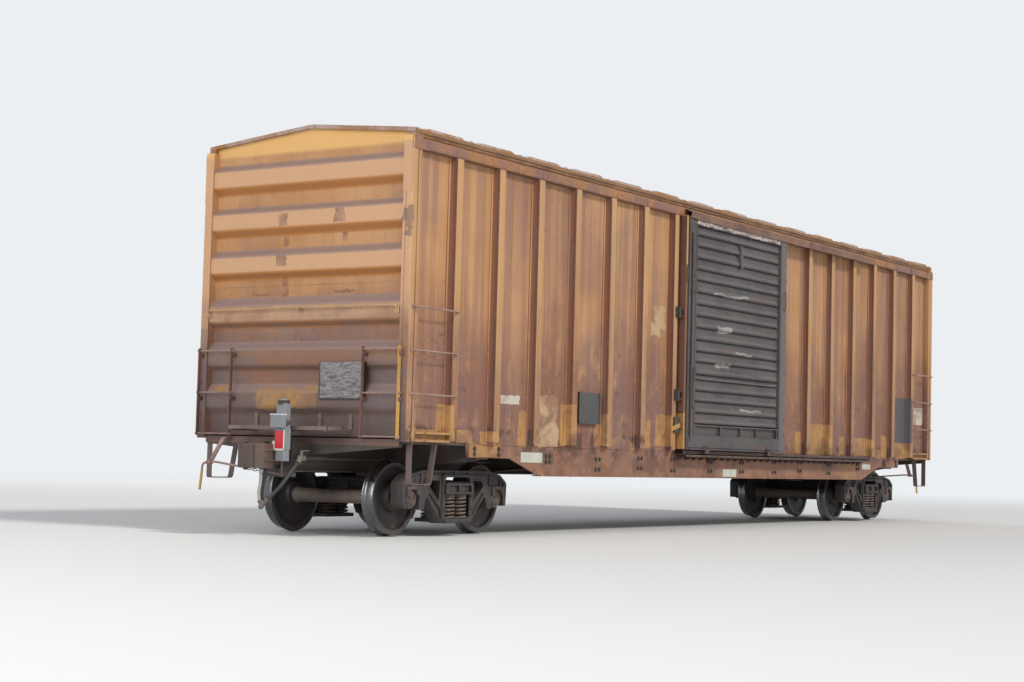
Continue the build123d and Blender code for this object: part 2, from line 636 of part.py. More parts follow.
# End ladders: two stiles on brackets, with three rungs each, standing off the end wall
STILE_WIDTH = 45.0
STILE_THICK = 12.0
STILE_BOTTOM = over_rail(1100)
STILE_HEIGHT = 1035.0
STILE_BRACKET = 50.0
LADDER_OUT = 100.0
LADDER_INNER_Y = 990.0
LADDER_OUTER_Y = 1500.0
LADDER_LEVELS = (1124.0, 1611.0, 2104.0)
LADDER_BRACKETS = (1540.0, 2050.0)
with BuildPart() as end_ladders:
    front = END_CREST + LADDER_OUT
    for end in (-1, 1):
        for side in (-1, 1):
            for edge, wall in ((LADDER_INNER_Y, END_CREST), (LADDER_OUTER_Y, HALF_LENGTH)):
                with Locations((end * (front - STILE_WIDTH / 2), side * edge, STILE_BOTTOM)):
                    Box(STILE_WIDTH, STILE_THICK, STILE_HEIGHT, align=UPWARD)
                for level in LADDER_BRACKETS:
                    with Locations((end * wall, side * edge, over_rail(level))):
                        Box(front - STILE_WIDTH - wall, STILE_THICK, STILE_BRACKET, align=outward_x(end))
            for level in LADDER_LEVELS:
                middle = side * (LADDER_INNER_Y + LADDER_OUTER_Y) / 2
                with Locations((end * (front - STILE_WIDTH / 2), middle, over_rail(level))):
                    Cylinder(ROD, LADDER_OUTER_Y - LADDER_INNER_Y + 2 * STILE_THICK, rotation=(90, 0, 0))
write(end_ladders.part, "end_ladders")

# Long handholds across each end, with a bracket at the middle
HANDHOLD_Y = 1415.0
HANDHOLD_HEIGHT = over_rail(2592)
HANDHOLD_BRACKET = (56.0, 30.0, 46.0)
with BuildPart() as end_handholds:
    for end in (-1, 1):
        add(grab_rod(
            (end * END_CREST, -HANDHOLD_Y, HANDHOLD_HEIGHT),
            (end * END_CREST, HANDHOLD_Y, HANDHOLD_HEIGHT),
            (end, 0, 0), GRAB_STAND,
        ))
        with Locations((end * END_CREST, 0, HANDHOLD_HEIGHT)):
            Box(*HANDHOLD_BRACKET, align=outward_x(end))
write(end_handholds.part, "end_handholds")

# Sill steps: one bent strap under each corner, with its inner leg raked
STEP_STRAP = 12.0
STEP_WIDTH = 60.0
STEP_Y = 1500.0
STEP_TREAD = over_rail(595)
STEP_BEND = 34.0
STEP_INSIDE_BEND = STEP_BEND - STEP_STRAP
STEP_OUTLINE = (
    # x, z, radius of the corner
    (7731.0, CORNER_BOTTOM, 0.0),
    (7731.0, STEP_TREAD, STEP_BEND),
    (7345.0, STEP_TREAD, STEP_BEND),
    (7245.0, CORNER_BOTTOM, 0.0),
    (7257.0, CORNER_BOTTOM, 0.0),
    (7355.0, STEP_TREAD + STEP_STRAP, STEP_INSIDE_BEND),
    (7719.0, STEP_TREAD + STEP_STRAP, STEP_INSIDE_BEND),
    (7719.0, CORNER_BOTTOM, 0.0),
)
with BuildPart() as sill_steps:
    for side in (-1, 1):
        for end in (-1, 1):
            strap = [(end * x, z) for x, z, _ in STEP_OUTLINE]
            add(rounded_solid(
                Plane.XZ.offset(-side * STEP_Y), strap, rounds_of(STEP_OUTLINE), STEP_WIDTH / 2, both=True
            ))
write(sill_steps.part, "sill_steps")

# Crossover platforms: a grating of square openings on three brackets at each end
PLATFORM_TOP = over_rail(1222)
PLATFORM_DEEP = 280.0
PLATFORM_WIDE = 1500.0
PLATFORM_THICK = 40.0
PLATFORM_X = 8110.0
GRATING_PITCH = (82.0, 60.0)
GRATING_COUNT = (3, 24)
GRATING_OPENING = (70.0, 48.0)
BRACKET_REACH = 8240.0
BRACKET_Y = 710.0
BRACKET_THICK = 12.0
BRACKET_DEEP = 20.0
with BuildPart() as crossover_platform:
    with BuildSketch(Plane.XY.offset(PLATFORM_TOP)):
        with Locations((PLATFORM_X, 0)):
            Rectangle(PLATFORM_DEEP, PLATFORM_WIDE)
            with GridLocations(*GRATING_PITCH, *GRATING_COUNT):
                Rectangle(*GRATING_OPENING, mode=Mode.SUBTRACT)
    extrude(amount=-PLATFORM_THICK)
    for bracket in (-BRACKET_Y, 0, BRACKET_Y):
        with Locations((END_VALLEY, bracket, PLATFORM_TOP - PLATFORM_THICK)):
            Box(
                BRACKET_REACH - END_VALLEY, BRACKET_THICK, BRACKET_DEEP,
                align=(Align.MIN, Align.CENTER, Align.MAX),
            )
with BuildPart() as crossover_platforms:
    with Locations(Location((0, 0, 0)), Location((0, 0, 0), (0, 0, 180))):
        add(crossover_platform.part)
write(crossover_platforms.part, "crossover_platforms")

# Couplers, seen from above at end A: distances from the pulling face, with their rounds
COUPLER_HEIGHT = over_rail(876)
PULLING_FACE = 8650.0
HEAD_HALF_HEIGHT = 140.0
SHANK = (
    # x from the pulling face, size in y, size in z
    (300.0, 190.0, 240.0), (390.0, 130.0, 165.0), (830.0, 130.0, 165.0),
)
COUPLER_HEAD = (
    # x from the pulling face, y, radius of the corner
    (330.0, -80.0, 20.0), (250.0, -150.0, 50.0), (110.0, -172.0, 30.0), (20.0, -178.0, 40.0),
    (-58.0, -128.0, 24.0), (-60.0, -84.0, 12.0), (-30.0, -72.0, 12.0), (50.0, -100.0, 25.0),
    (105.0, -70.0, 20.0), (110.0, 10.0, 0.0), (104.0, 80.0, 16.0), (75.0, 125.0, 16.0),
    (90.0, 172.0, 18.0), (190.0, 158.0, 40.0), (330.0, 80.0, 20.0),
)
KNUCKLE_HALF_HEIGHT = 134.0
KNUCKLE = (
    # x from the pulling face, y, radius of the corner
    (95.0, 60.0, 6.0), (45.0, 40.0, 12.0), (22.0, 26.0, 8.0), (12.0, -10.0, 12.0), (30.0, -42.0, 6.0),
    (22.0, -58.0, 6.0), (-20.0, -54.0, 16.0), (-42.0, 0.0, 40.0), (-58.0, 70.0, 40.0),
    (-60.0, 130.0, 26.0), (-36.0, 176.0, 20.0), (20.0, 190.0, 30.0), (80.0, 178.0, 14.0),
    (102.0, 130.0, 10.0),
)
PIN_PLACE = (-PULLING_FACE + 52.0, 136.0)
PIN_RADIUS = 21.0
PIN_RISE = 20.0
LIFTER_X = 195.0
LIFTER = (120.0, 90.0, 24.0)
LIFTER_EYE = (80.0, 60.0, 60.0)

with BuildPart() as coupler:
    for table, half_height in ((COUPLER_HEAD, HEAD_HALF_HEIGHT), (KNUCKLE, KNUCKLE_HALF_HEIGHT)):
        add(rounded_solid(
            Plane.XY.offset(COUPLER_HEIGHT), [(-PULLING_FACE + x, y) for x, y, _ in table],
            rounds_of(table), half_height, both=True,
        ))
    with Locations((*PIN_PLACE, COUPLER_HEIGHT)):
        Cylinder(PIN_RADIUS, 2 * (HEAD_HALF_HEIGHT + PIN_RISE))
    # Lock lifter over the head and its eye below
    with Locations((-PULLING_FACE + LIFTER_X, 0, COUPLER_HEIGHT + HEAD_HALF_HEIGHT)):
        Box(*LIFTER, align=UPWARD)
    with Locations((-PULLING_FACE + LIFTER_X, 0, COUPLER_HEIGHT - HEAD_HALF_HEIGHT)):
        Box(*LIFTER_EYE, align=DOWNWARD)
    # Shank: it tapers behind the head and runs on as a plain bar into the striker
    for near, far in zip(SHANK, SHANK[1:]):
        with BuildPart() as shank:
            for station, wide, tall in (near, far):
                with BuildSketch(Plane.YZ.offset(-PULLING_FACE + station)):
                    with Locations((0, COUPLER_HEIGHT)):
                        Rectangle(wide, tall)
            loft(ruled=True)
        add(shank.part)
write_pair(coupler.part, "coupler_a", "coupler_b")

# Uncoupling levers: a bent rod from the corner to the coupler head, with its hanger
LEVER_RADIUS = 12.0
LEVER_BEND = 40.0
LEVER_ROUTE = (
    # x, y, height over the rail
    (8200.0, -1196.0, 466.0), (8200.0, -1162.0, 775.0), (8200.0, -967.0, 792.0), (8480.0, -200.0, 735.0),
)
HANGER_Y = 1060.0
HANGER_WIDTH = 40.0
HANGER = (
    # x, height over the rail: from under the end wall out to the lever
    (7700.0, 1098.0), (7800.0, 1098.0), (7820.0, 1090.0), (8200.0, 1090.0), (8200.0, 780.0),
    (8180.0, 780.0), (8180.0, 1070.0), (7700.0, 1070.0),
)
with BuildPart() as uncoupling_levers:
    for end in (-1, 1):
        with BuildLine() as lever_path:
            FilletPolyline(*[(end * x, end * y, over_rail(z)) for x, y, z in LEVER_ROUTE], radius=LEVER_BEND)
        with BuildSketch(Plane(origin=lever_path.line @ 0, z_dir=lever_path.line % 0)):
            Circle(LEVER_RADIUS)
        sweep(path=lever_path.line)
        add(outline_solid(
            Plane.XZ.offset(end * HANGER_Y), [(end * x, over_rail(z)) for x, z in HANGER],
            HANGER_WIDTH / 2, both=True,
        ))
write(uncoupling_levers.part, "uncoupling_levers")

# Air brake equipment under the floor: turned profiles of (distance along X, radius)
CYLINDER_AXIS = (640.0, over_rail(880))
CYLINDER_PROFILE = (
    (740.0, 0.0), (740.0, 40.0), (790.0, 40.0), (820.0, 120.0), (820.0, 160.0), (840.0, 160.0),
    (840.0, 148.0), (1125.0, 148.0), (1125.0, 170.0), (1160.0, 170.0), (1160.0, 148.0),
    (1195.0, 120.0), (1210.0, 60.0), (1210.0, 0.0),
)
CYLINDER_HANGER_X = 1000.0
CYLINDER_HANGER = (200.0, 200.0, 110.0)
RESERVOIR_AXIS = (700.0, over_rail(850))
RESERVOIR_STRAPS = (-1050.0, -550.0)
STRAP = (186.0, 50.0)
STRAP_HANGER = (50.0, 200.0, 110.0)
RESERVOIR_PROFILE = (
    (-1300.0, 0.0), (-1300.0, 60.0), (-1278.0, 120.0), (-1240.0, 162.0), (-1190.0, 180.0),
    (-808.0, 180.0), (-808.0, 190.0), (-792.0, 190.0), (-792.0, 180.0), (-410.0, 180.0),
    (-360.0, 162.0), (-322.0, 120.0), (-300.0, 60.0), (-300.0, 0.0),
)


def turned_along_x(profile, axis_place):
    """A profile turned about a line along X."""
    y, z = axis_place
    with BuildPart() as body:
        with BuildSketch(Plane.XZ.offset(-y)):
            with BuildLine():
                Polyline(*[(x, z + radius) for x, radius in profile], close=True)
            make_face()
        revolve(axis=Axis((0, y, z), (1, 0, 0)))
    return body.part


with BuildPart() as brake_cylinder:
    add(turned_along_x(CYLINDER_PROFILE, CYLINDER_AXIS))
    with Locations((CYLINDER_HANGER_X, CYLINDER_AXIS[0], CENTRE_SILL_TOP)):
        Box(*CYLINDER_HANGER, align=DOWNWARD)
write(brake_cylinder.part, "brake_cylinder")

with BuildPart() as air_reservoir:
    add(turned_along_x(RESERVOIR_PROFILE, RESERVOIR_AXIS))
    for station in RESERVOIR_STRAPS:
        with Locations((station, *RESERVOIR_AXIS)):
            Cylinder(*STRAP, rotation=(0, 90, 0))
        with Locations((station, RESERVOIR_AXIS[0], CENTRE_SILL_TOP)):
            Box(*STRAP_HANGER, align=DOWNWARD)
write(air_reservoir.part, "air_reservoir")

# Control valve: its body between two round covers, hung from a pipe bracket
VALVE_X = -700.0
VALVE_Y = -700.0
VALVE_HEIGHT = over_rail(900)
VALVE_BODY = (220.0, 170.0, 210.0)
VALVE_COVERS = ((78.0, 270.0), (60.0, 300.0))
VALVE_FRONT = (62.0, 130.0)
VALVE_BRACKET = (200.0, 180.0, 60.0)
with BuildPart() as control_valve:
    with Locations((VALVE_X, VALVE_Y, VALVE_HEIGHT)):
        Box(*VALVE_BODY)
        for radius, length in VALVE_COVERS:
            Cylinder(radius, length, rotation=(0, 90, 0))
        Cylinder(*VALVE_FRONT, rotation=(90, 0, 0), align=UPWARD)
    with Locations((VALVE_X, VALVE_Y, CENTRE_SILL_TOP)):
        Box(*VALVE_BRACKET, align=DOWNWARD)
write(control_valve.part, "control_valve")

# Brake pipe along the centre sill
with BuildPart() as brake_pipe:
    with BuildLine() as pipe_path:
        FilletPolyline(
            (-PIPE_END, -PIPE_Y, PIPE_HEIGHT),
            (PIPE_CROSSING - PIPE_Y, -PIPE_Y, PIPE_HEIGHT),
            (PIPE_CROSSING + PIPE_Y, PIPE_Y, PIPE_HEIGHT),
            (PIPE_END, PIPE_Y, PIPE_HEIGHT),
            radius=PIPE_BEND,
        )
    with BuildSketch(Plane.YZ.offset(-PIPE_END)):
        with Locations((-PIPE_Y, PIPE_HEIGHT)):
            Circle(PIPE_RADIUS)
    sweep(path=pipe_path.line)
write(brake_pipe.part, "brake_pipe")

# Angle cocks at both ends of the brake pipe: body, spindle, outlet and handle
COCK_RADIUS = 34.0
OUTLET_X = 60.0
OUTLET_LENGTH = 70.0
OUTLET_RADIUS = 28.0
COCK_LENGTH = 90.0
SPINDLE_X = 45.0
SPINDLE_RADIUS = 16.0
SPINDLE_RISE = 90.0
COCK_HANDLE = (26.0, 110.0, 12.0)
with BuildPart() as angle_cocks:
    for end in (-1, 1):
        with Locations((end * PIPE_END, end * PIPE_Y, PIPE_HEIGHT)):
            Cylinder(COCK_RADIUS, COCK_LENGTH, rotation=(0, 90 * end, 0), align=UPWARD)
        with Locations((end * (PIPE_END + SPINDLE_X), end * PIPE_Y, PIPE_HEIGHT)):
            Cylinder(SPINDLE_RADIUS, SPINDLE_RISE, align=UPWARD)
            with Locations((0, 0, SPINDLE_RISE)):
                Box(*COCK_HANDLE, align=(Align.CENTER, Align.MAX if end < 0 else Align.MIN, Align.MAX))
        with Locations((end * (PIPE_END + OUTLET_X), end * PIPE_Y, PIPE_HEIGHT)):
            Cylinder(OUTLET_RADIUS, OUTLET_LENGTH, rotation=(0, 180 - 45 * end, 0), align=UPWARD)
write(angle_cocks.part, "angle_cocks")

# Hand brake on end B: an eight-sided gear housing and a dished wheel on its spindle
HAND_BRAKE_Y = -600.0
HAND_BRAKE_HEIGHT = over_rail(1850)
HOUSING_DEPTH = 110.0
HOUSING_ROUND = 30.0
HOUSING_OUTLINE = (
    (-110.0, -205.0), (-185.0, -120.0), (-185.0, 80.0), (-110.0, 205.0),
    (110.0, 205.0), (185.0, 80.0), (185.0, -120.0), (110.0, -205.0),
)
BRAKE_WHEEL_X = END_CREST + 210.0
BRAKE_WHEEL_RADIUS = 270.0
BRAKE_WHEEL_RIM = 14.0
SPOKE_COUNT = 5
SPOKE_RADIUS = 10.0
SPOKE_START = 0.3
WHEEL_DISH = 25.0
HUB_RADIUS = 40.0
HUB_NOSE = 20.0
COVER_SCALE = 0.8
COVER_DEPTH = 20.0

with BuildPart() as hand_brake_housing:
    for scale, start, thick in ((1.0, 0.0, HOUSING_DEPTH), (COVER_SCALE, HOUSING_DEPTH, COVER_DEPTH)):
        corners = [(HAND_BRAKE_Y + scale * y, HAND_BRAKE_HEIGHT + scale * z) for y, z in HOUSING_OUTLINE]
        bends = [scale * HOUSING_ROUND] * len(corners)
        add(rounded_solid(Plane.YZ.offset(END_CREST + start), corners, bends, thick))
write(hand_brake_housing.part, "hand_brake_housing")

with BuildPart() as hand_brake_wheel:
    with Locations((BRAKE_WHEEL_X, HAND_BRAKE_Y, HAND_BRAKE_HEIGHT)):
        Torus(BRAKE_WHEEL_RADIUS, BRAKE_WHEEL_RIM, rotation=(0, 90, 0))
    hub_start = END_CREST + HOUSING_DEPTH + COVER_DEPTH
    with Locations((hub_start, HAND_BRAKE_Y, HAND_BRAKE_HEIGHT)):
        Cylinder(HUB_RADIUS, BRAKE_WHEEL_X + HUB_NOSE - hub_start, rotation=(0, 90, 0), align=UPWARD)
    for spoke in range(SPOKE_COUNT):
        turn = 2 * math.pi * spoke / SPOKE_COUNT + SPOKE_START
        way = Vector(0, math.cos(turn), math.sin(turn))
        hub = Vector(BRAKE_WHEEL_X - WHEEL_DISH, HAND_BRAKE_Y, HAND_BRAKE_HEIGHT)
        rim = Vector(BRAKE_WHEEL_X, HAND_BRAKE_Y, HAND_BRAKE_HEIGHT) + way * BRAKE_WHEEL_RADIUS
        along = rim - hub
        with Locations(Plane(origin=hub, z_dir=along)):
            Cylinder(SPOKE_RADIUS, along.length, align=UPWARD)
write(hand_brake_wheel.part, "hand_brake_wheel")

# Boards and plates: a wooden board in its frame on each end, a plate on each side
BOARD_Y = 650.0
BOARD = (32.0, 656.0, 424.0)
BOARD_HEIGHT = over_rail(1752)
BOARD_FRAME = 14.0
BOARD_FRAME_OUT = 40.0
PLATE_X = 3935.0
PLATE_SIZE = (520.0, 46.0, 390.0)
PLATE_EDGE = 22.0
PLATE_EDGE_OUT = 60.0
PLATE_HEIGHT = over_rail(1590)
with BuildPart() as placard_boards:
    for end in (-1, 1):
        with Locations((end * END_CREST, end * BOARD_Y, BOARD_HEIGHT)):
            Box(*BOARD, align=outward_x(end))
        for across in (-1, 1):
            edge = end * BOARD_Y + across * (BOARD[1] - BOARD_FRAME) / 2
            with Locations((end * END_CREST, edge, BOARD_HEIGHT)):
                Box(BOARD_FRAME_OUT, BOARD_FRAME, BOARD[2], align=outward_x(end))
        with Locations((end * END_CREST, end * BOARD_Y, BOARD_HEIGHT - (BOARD[2] - BOARD_FRAME) / 2)):
            Box(BOARD_FRAME_OUT, BOARD[1], BOARD_FRAME, align=outward_x(end))
    for side in (-1, 1):
        with Locations((side * PLATE_X, side * SHEET_Y, PLATE_HEIGHT)):
            Box(*PLATE_SIZE, align=outward_y(side))
        for across in (-1, 1):
            edge = side * PLATE_X + across * (PLATE_SIZE[0] - PLATE_EDGE) / 2
            with Locations((edge, side * SHEET_Y, PLATE_HEIGHT)):
                Box(PLATE_EDGE, PLATE_EDGE_OUT, PLATE_SIZE[2], align=outward_y(side))
write(placard_boards.part, "placard_boards")

# End-of-train marker, clamped beside the coupler head of end A, with the pipe to its hose
MARKER_X = -8400.0
MARKER_Y = -232.0
MARKER_HOSE_TOP = (-8560.0, -70.0, over_rail(690))
MARKER_FOOT = over_rail(650)
MARKER_STEM_RADIUS = 18.0
MARKER_ARM_RADIUS = 13.0
MARKER_ELBOW = (24.0, 42.0)
MARKER_CAP = ((64.0, 30.0), (46.0, 46.0))
LAMP = (70.0, 178.0, 150.0)
LAMP_OUT = 85.0
LAMP_BOTTOM = over_rail(1195)
CLAMP_REACH = (205.0, 235.0)
CLAMP_HALF_HEIGHT = 35.0
MARKER_BOXES = (
    # size in x, size in y, low, high, corner radius
    (100.0, 124.0, 822.0, 985.0, 12.0),
    (114.0, 140.0, 985.0, 1190.0, 10.0),
    (110.0, 136.0, 1190.0, 1470.0, 30.0),
)
with BuildPart() as end_marker:
    for deep, wide, low, high, corner in MARKER_BOXES:
        with BuildSketch(Plane.XY.offset(over_rail(low))):
            with Locations((MARKER_X, MARKER_Y)):
                RectangleRounded(deep, wide, corner)
        extrude(amount=high - low)
    # Lamp housing on its face, and the round antenna cap
    with Locations((MARKER_X - LAMP_OUT, MARKER_Y, LAMP_BOTTOM)):
        Box(*LAMP, align=UPWARD)
    with Locations((MARKER_X, MARKER_Y, over_rail(MARKER_BOXES[-1][3]))):
        for radius, rise in MARKER_CAP:
            Cylinder(radius, rise, align=UPWARD)
    with Locations((MARKER_X, MARKER_Y, MARKER_FOOT)):
        Cylinder(MARKER_STEM_RADIUS, over_rail(MARKER_BOXES[0][2]) - MARKER_FOOT, align=UPWARD)
    # Clamp, flush with the slanting side of the coupler head, and the arm to the hose
    (head_x, head_y, _), (guard_x, guard_y, _) = COUPLER_HEAD[1:3]
    clamp = []
    for reach in CLAMP_REACH:
        share = (reach - guard_x) / (head_x - guard_x)
        clamp.append((-PULLING_FACE + reach, guard_y + share * (head_y - guard_y)))
    clamp += [(x, MARKER_Y) for x, _ in reversed(clamp)]
    add(outline_solid(Plane.XY.offset(COUPLER_HEIGHT), clamp, CLAMP_HALF_HEIGHT, both=True))
    with BuildLine() as arm:
        Line(
            (MARKER_X, MARKER_Y, MARKER_FOOT + MARKER_ARM_RADIUS),
            Vector(*MARKER_HOSE_TOP) + Vector(0, 0, MARKER_ELBOW[1] / 2),
        )
    with BuildSketch(Plane(origin=arm.line @ 0, z_dir=arm.line % 0)):
        Circle(MARKER_ARM_RADIUS)
    sweep(path=arm.line)
    with Locations(MARKER_HOSE_TOP):
        Cylinder(*MARKER_ELBOW, align=UPWARD)
write(end_marker.part, "end_marker")

# Hoses of end A: the car's own from its angle cock, and the marker's, joined below
HOSE_RADIUS = 22.0
MARKER_HOSE_RADIUS = 17.0
OUTLET_STEP = OUTLET_LENGTH / math.sqrt(2)
HOSE_POINTS = (
    (-PIPE_END - OUTLET_X - OUTLET_STEP, -PIPE_Y, PIPE_HEIGHT - OUTLET_STEP),
    (-8295.0, -PIPE_Y, over_rail(725)),
    (-8400.0, -272.0, over_rail(590)),
    (-8480.0, -205.0, over_rail(465)),
    (-8535.0, -120.0, over_rail(365)),
)
MARKER_HOSE_POINTS = (
    MARKER_HOSE_TOP,
    (-8560.0, -70.0, over_rail(590)),
    (-8574.0, -58.0, over_rail(490)),
    (-8578.0, -66.0, over_rail(405)),
    (-8570.0, -82.0, over_rail(345)),
)


ARC_SHARE = 0.45


def round_radii(points):
    """For each corner of a route, the arc that takes up a set share of its shorter run."""
    radii = []
    for before, here, after in zip(points, points[1:], points[2:]):
        first = Vector(*here) - Vector(*before)
        second = Vector(*after) - Vector(*here)
        turn = math.radians(first.get_angle(second))
        shorter = min(first.length, second.length)
        radii.append(ARC_SHARE * shorter / math.tan(turn / 2))
    return radii


def hose(points, radius):
    """A tube of straight runs and tangent arcs."""
    radii = round_radii(points)
    with BuildPart() as tube:
        with BuildLine() as route:
            FilletPolyline(*points, radius=radii)
        with BuildSketch(Plane(origin=route.line @ 0, z_dir=route.line % 0)):
            Circle(radius)
        sweep(path=route.line)
    return tube.part


with BuildPart() as brake_hose_a:
    add(hose(HOSE_POINTS, HOSE_RADIUS))
write(brake_hose_a.part, "brake_hose_a")

with BuildPart() as marker_hose:
    add(hose(MARKER_HOSE_POINTS, MARKER_HOSE_RADIUS))
write(marker_hose.part, "marker_hose")

# The two coupling heads of the hoses, hooked into each other
GLAD_HANDS = (
    # route of the hose, radius, length
    (HOSE_POINTS, 30.0, 42.0),
    (MARKER_HOSE_POINTS, 25.0, 58.0),
)
with BuildPart() as glad_hands:
    for points, radius, reach in GLAD_HANDS:
        tip = Vector(*points[-1])
        with BuildSketch(Plane(origin=tip, z_dir=tip - Vector(*points[-2]))):
            Circle(radius)
        extrude(amount=reach)
write(glad_hands.part, "glad_hands")

# Trucks, made about their own centre and then set under each end.
# Side frame: the cast outline, its window for the bolster and springs, a lightening
# opening on each side of it, recessed panels, and an arched seat over each bearing.
FRAME_INNER = 915.0
FRAME_OUTER = 1092.0
COLUMN_OUTER = 1112.0
FRAME_HALF_OUTLINE = (
    # x, height over the rail, radius of the corner
    (300.0, 132.0, 60.0), (568.0, 430.0, 12.0), (604.0, 430.0, 12.0), (645.0, 296.0, 14.0),
    (735.0, 296.0, 14.0), (735.0, 545.0, 14.0), (992.0, 545.0, 14.0), (992.0, 345.0, 14.0),
    (1052.0, 345.0, 14.0), (1064.0, 610.0, 50.0), (930.0, 706.0, 90.0), (660.0, 757.0, 160.0),
)
WINDOW_HALF = 250.0
WINDOW_LOW = 185.0
WINDOW_HIGH = 676.0
WINDOW_ROUND = 26.0
COLUMN_WIDTH = 55.0
COLUMN_RISE = 35.0
COLUMN_ROUND = 50.0
LIGHTENER = (
    (338.0, 645.0, 24.0), (520.0, 645.0, 46.0), (560.0, 560.0, 30.0), (350.0, 378.0, 24.0),
)
RECESS_DEPTH = 22.0
TOP_RECESS = (
    (40.0, 702.0, 10.0), (40.0, 734.0, 10.0), (630.0, 734.0, 60.0), (890.0, 684.0, 60.0),
    (1012.0, 600.0, 20.0), (1012.0, 572.0, 12.0), (650.0, 572.0, 12.0), (596.0, 690.0, 30.0),
    (560.0, 702.0, 30.0),
)
ARM_RECESS = (
    (300.0, 170.0, 12.0), (548.0, 446.0, 14.0), (548.0, 500.0, 12.0), (318.0, 300.0, 12.0),
)
ADAPTER = (257.0, 137.0, 75.0)
ADAPTER_RADIUS = 111.0
ADAPTER_TOP = over_rail(545)
SEAT_INNER_Y = 700.0
SEAT_HALF = 270.0
SEAT_THICK = 45.0
SEAT_LIP = (8.0, 24.0)


def frame_points(table, way=1):
    """Corners of a table on the frame's own plane, on the side that `way` says."""
    return [(way * x, over_rail(z)) for x, z, _ in table]


with BuildPart() as side_frame:
    mirrored = [(-x, z, radius) for x, z, radius in reversed(FRAME_HALF_OUTLINE)]
    whole = list(FRAME_HALF_OUTLINE) + mirrored
    depth = FRAME_OUTER - FRAME_INNER
    whole_depth = COLUMN_OUTER - FRAME_INNER
    inner_plane = Plane.XZ.offset(FRAME_INNER)
    recess_plane = Plane.XZ.offset(FRAME_OUTER - RECESS_DEPTH)
    window_middle = (0, over_rail((WINDOW_LOW + WINDOW_HIGH) / 2))
    add(rounded_solid(inner_plane, frame_points(whole), rounds_of(whole), depth))
    # Columns beside the window stand proud of the frame's face
    with BuildSketch(inner_plane):
        with Locations(window_middle):
            RectangleRounded(
                2 * (WINDOW_HALF + COLUMN_WIDTH), WINDOW_HIGH - WINDOW_LOW + 2 * COLUMN_RISE, COLUMN_ROUND
            )
    extrude(amount=whole_depth)
    with BuildSketch(inner_plane):
        with Locations(window_middle):
            RectangleRounded(2 * WINDOW_HALF, WINDOW_HIGH - WINDOW_LOW, WINDOW_ROUND)
    extrude(amount=whole_depth, mode=Mode.SUBTRACT)
    for way in (-1, 1):
        for table in (LIGHTENER, TOP_RECESS, ARM_RECESS):
            start = inner_plane if table is LIGHTENER else recess_plane
            cut = rounded_solid(start, frame_points(table, way), rounds_of(table), whole_depth)
            add(cut, mode=Mode.SUBTRACT)
        # Adapter: it fills the jaw's roof and arches over the bearing
        with Locations((way * WHEELBASE / 2, -(FRAME_INNER + FRAME_OUTER) / 2, ADAPTER_TOP)):
            Box(*ADAPTER, align=DOWNWARD)
        with Locations((way * WHEELBASE / 2, -(FRAME_INNER + FRAME_OUTER) / 2, AXLE_HEIGHT)):
            Cylinder(ADAPTER_RADIUS, depth, rotation=(90, 0, 0), mode=Mode.SUBTRACT)
    # Spring seat: a shelf that reaches in under the inner springs, with a lip outside
    with Locations((0, -SEAT_INNER_Y, over_rail(WINDOW_LOW))):
        Box(
            2 * SEAT_HALF, COLUMN_OUTER - SEAT_INNER_Y, SEAT_THICK,
            align=(Align.CENTER, Align.MAX, Align.MAX),
        )
    with Locations((0, -COLUMN_OUTER, over_rail(WINDOW_LOW))):
        Box(2 * WINDOW_HALF, *SEAT_LIP, align=(Align.CENTER, Align.MIN, Align.MIN))

# Truck bolster: deep at its middle and shallow at its ends, with flanged end plates
BOLSTER_HALF_WIDTH = 220.0
BOLSTER_END_Y = 1118.0
BOLSTER_SIDE = (
    # distance from the middle line, height over the rail, radius of the corner
    (0.0, 420.0, 0.0), (520.0, 420.0, 120.0), (700.0, 470.0, 120.0), (BOLSTER_END_Y, 470.0, 0.0),
    (BOLSTER_END_Y, 618.0, 30.0), (820.0, 640.0, 60.0), (0.0, 640.0, 0.0),
)
END_PLATE = (560.0, 32.0, 126.0)
END_PLATE_HEIGHT = over_rail(540)
END_POCKET = (214.0, 20.0, 74.0)
END_POCKET_X = 128.0
SIDE_POCKET = (28.0, 300.0, 100.0)
SIDE_POCKET_PLACES = (250.0, 620.0)
SIDE_POCKET_HEIGHT = over_rail(550)
BOWL = (180.0, 14.0)
with BuildPart() as truck_bolster:
    for side in (-1, 1):
        add(rounded_solid(
            Plane.YZ, [(side * y, over_rail(z)) for y, z, _ in BOLSTER_SIDE], rounds_of(BOLSTER_SIDE),
            BOLSTER_HALF_WIDTH, both=True,
        ))
        with Locations((0, side * BOLSTER_END_Y, END_PLATE_HEIGHT)):
            Box(*END_PLATE, align=outward_y(side))
        for across in (-1, 1):
            with Locations((across * END_POCKET_X, side * (BOLSTER_END_Y + END_PLATE[1]), END_PLATE_HEIGHT)):
                Box(*END_POCKET, align=outward_y(-side), mode=Mode.SUBTRACT)
            for place in SIDE_POCKET_PLACES:
                with Locations((across * BOLSTER_HALF_WIDTH, side * place, SIDE_POCKET_HEIGHT)):
                    Box(*SIDE_POCKET, mode=Mode.SUBTRACT)
    with Locations((0, 0, BOWL_HEIGHT)):
        Cylinder(*BOWL, align=DOWNWARD)

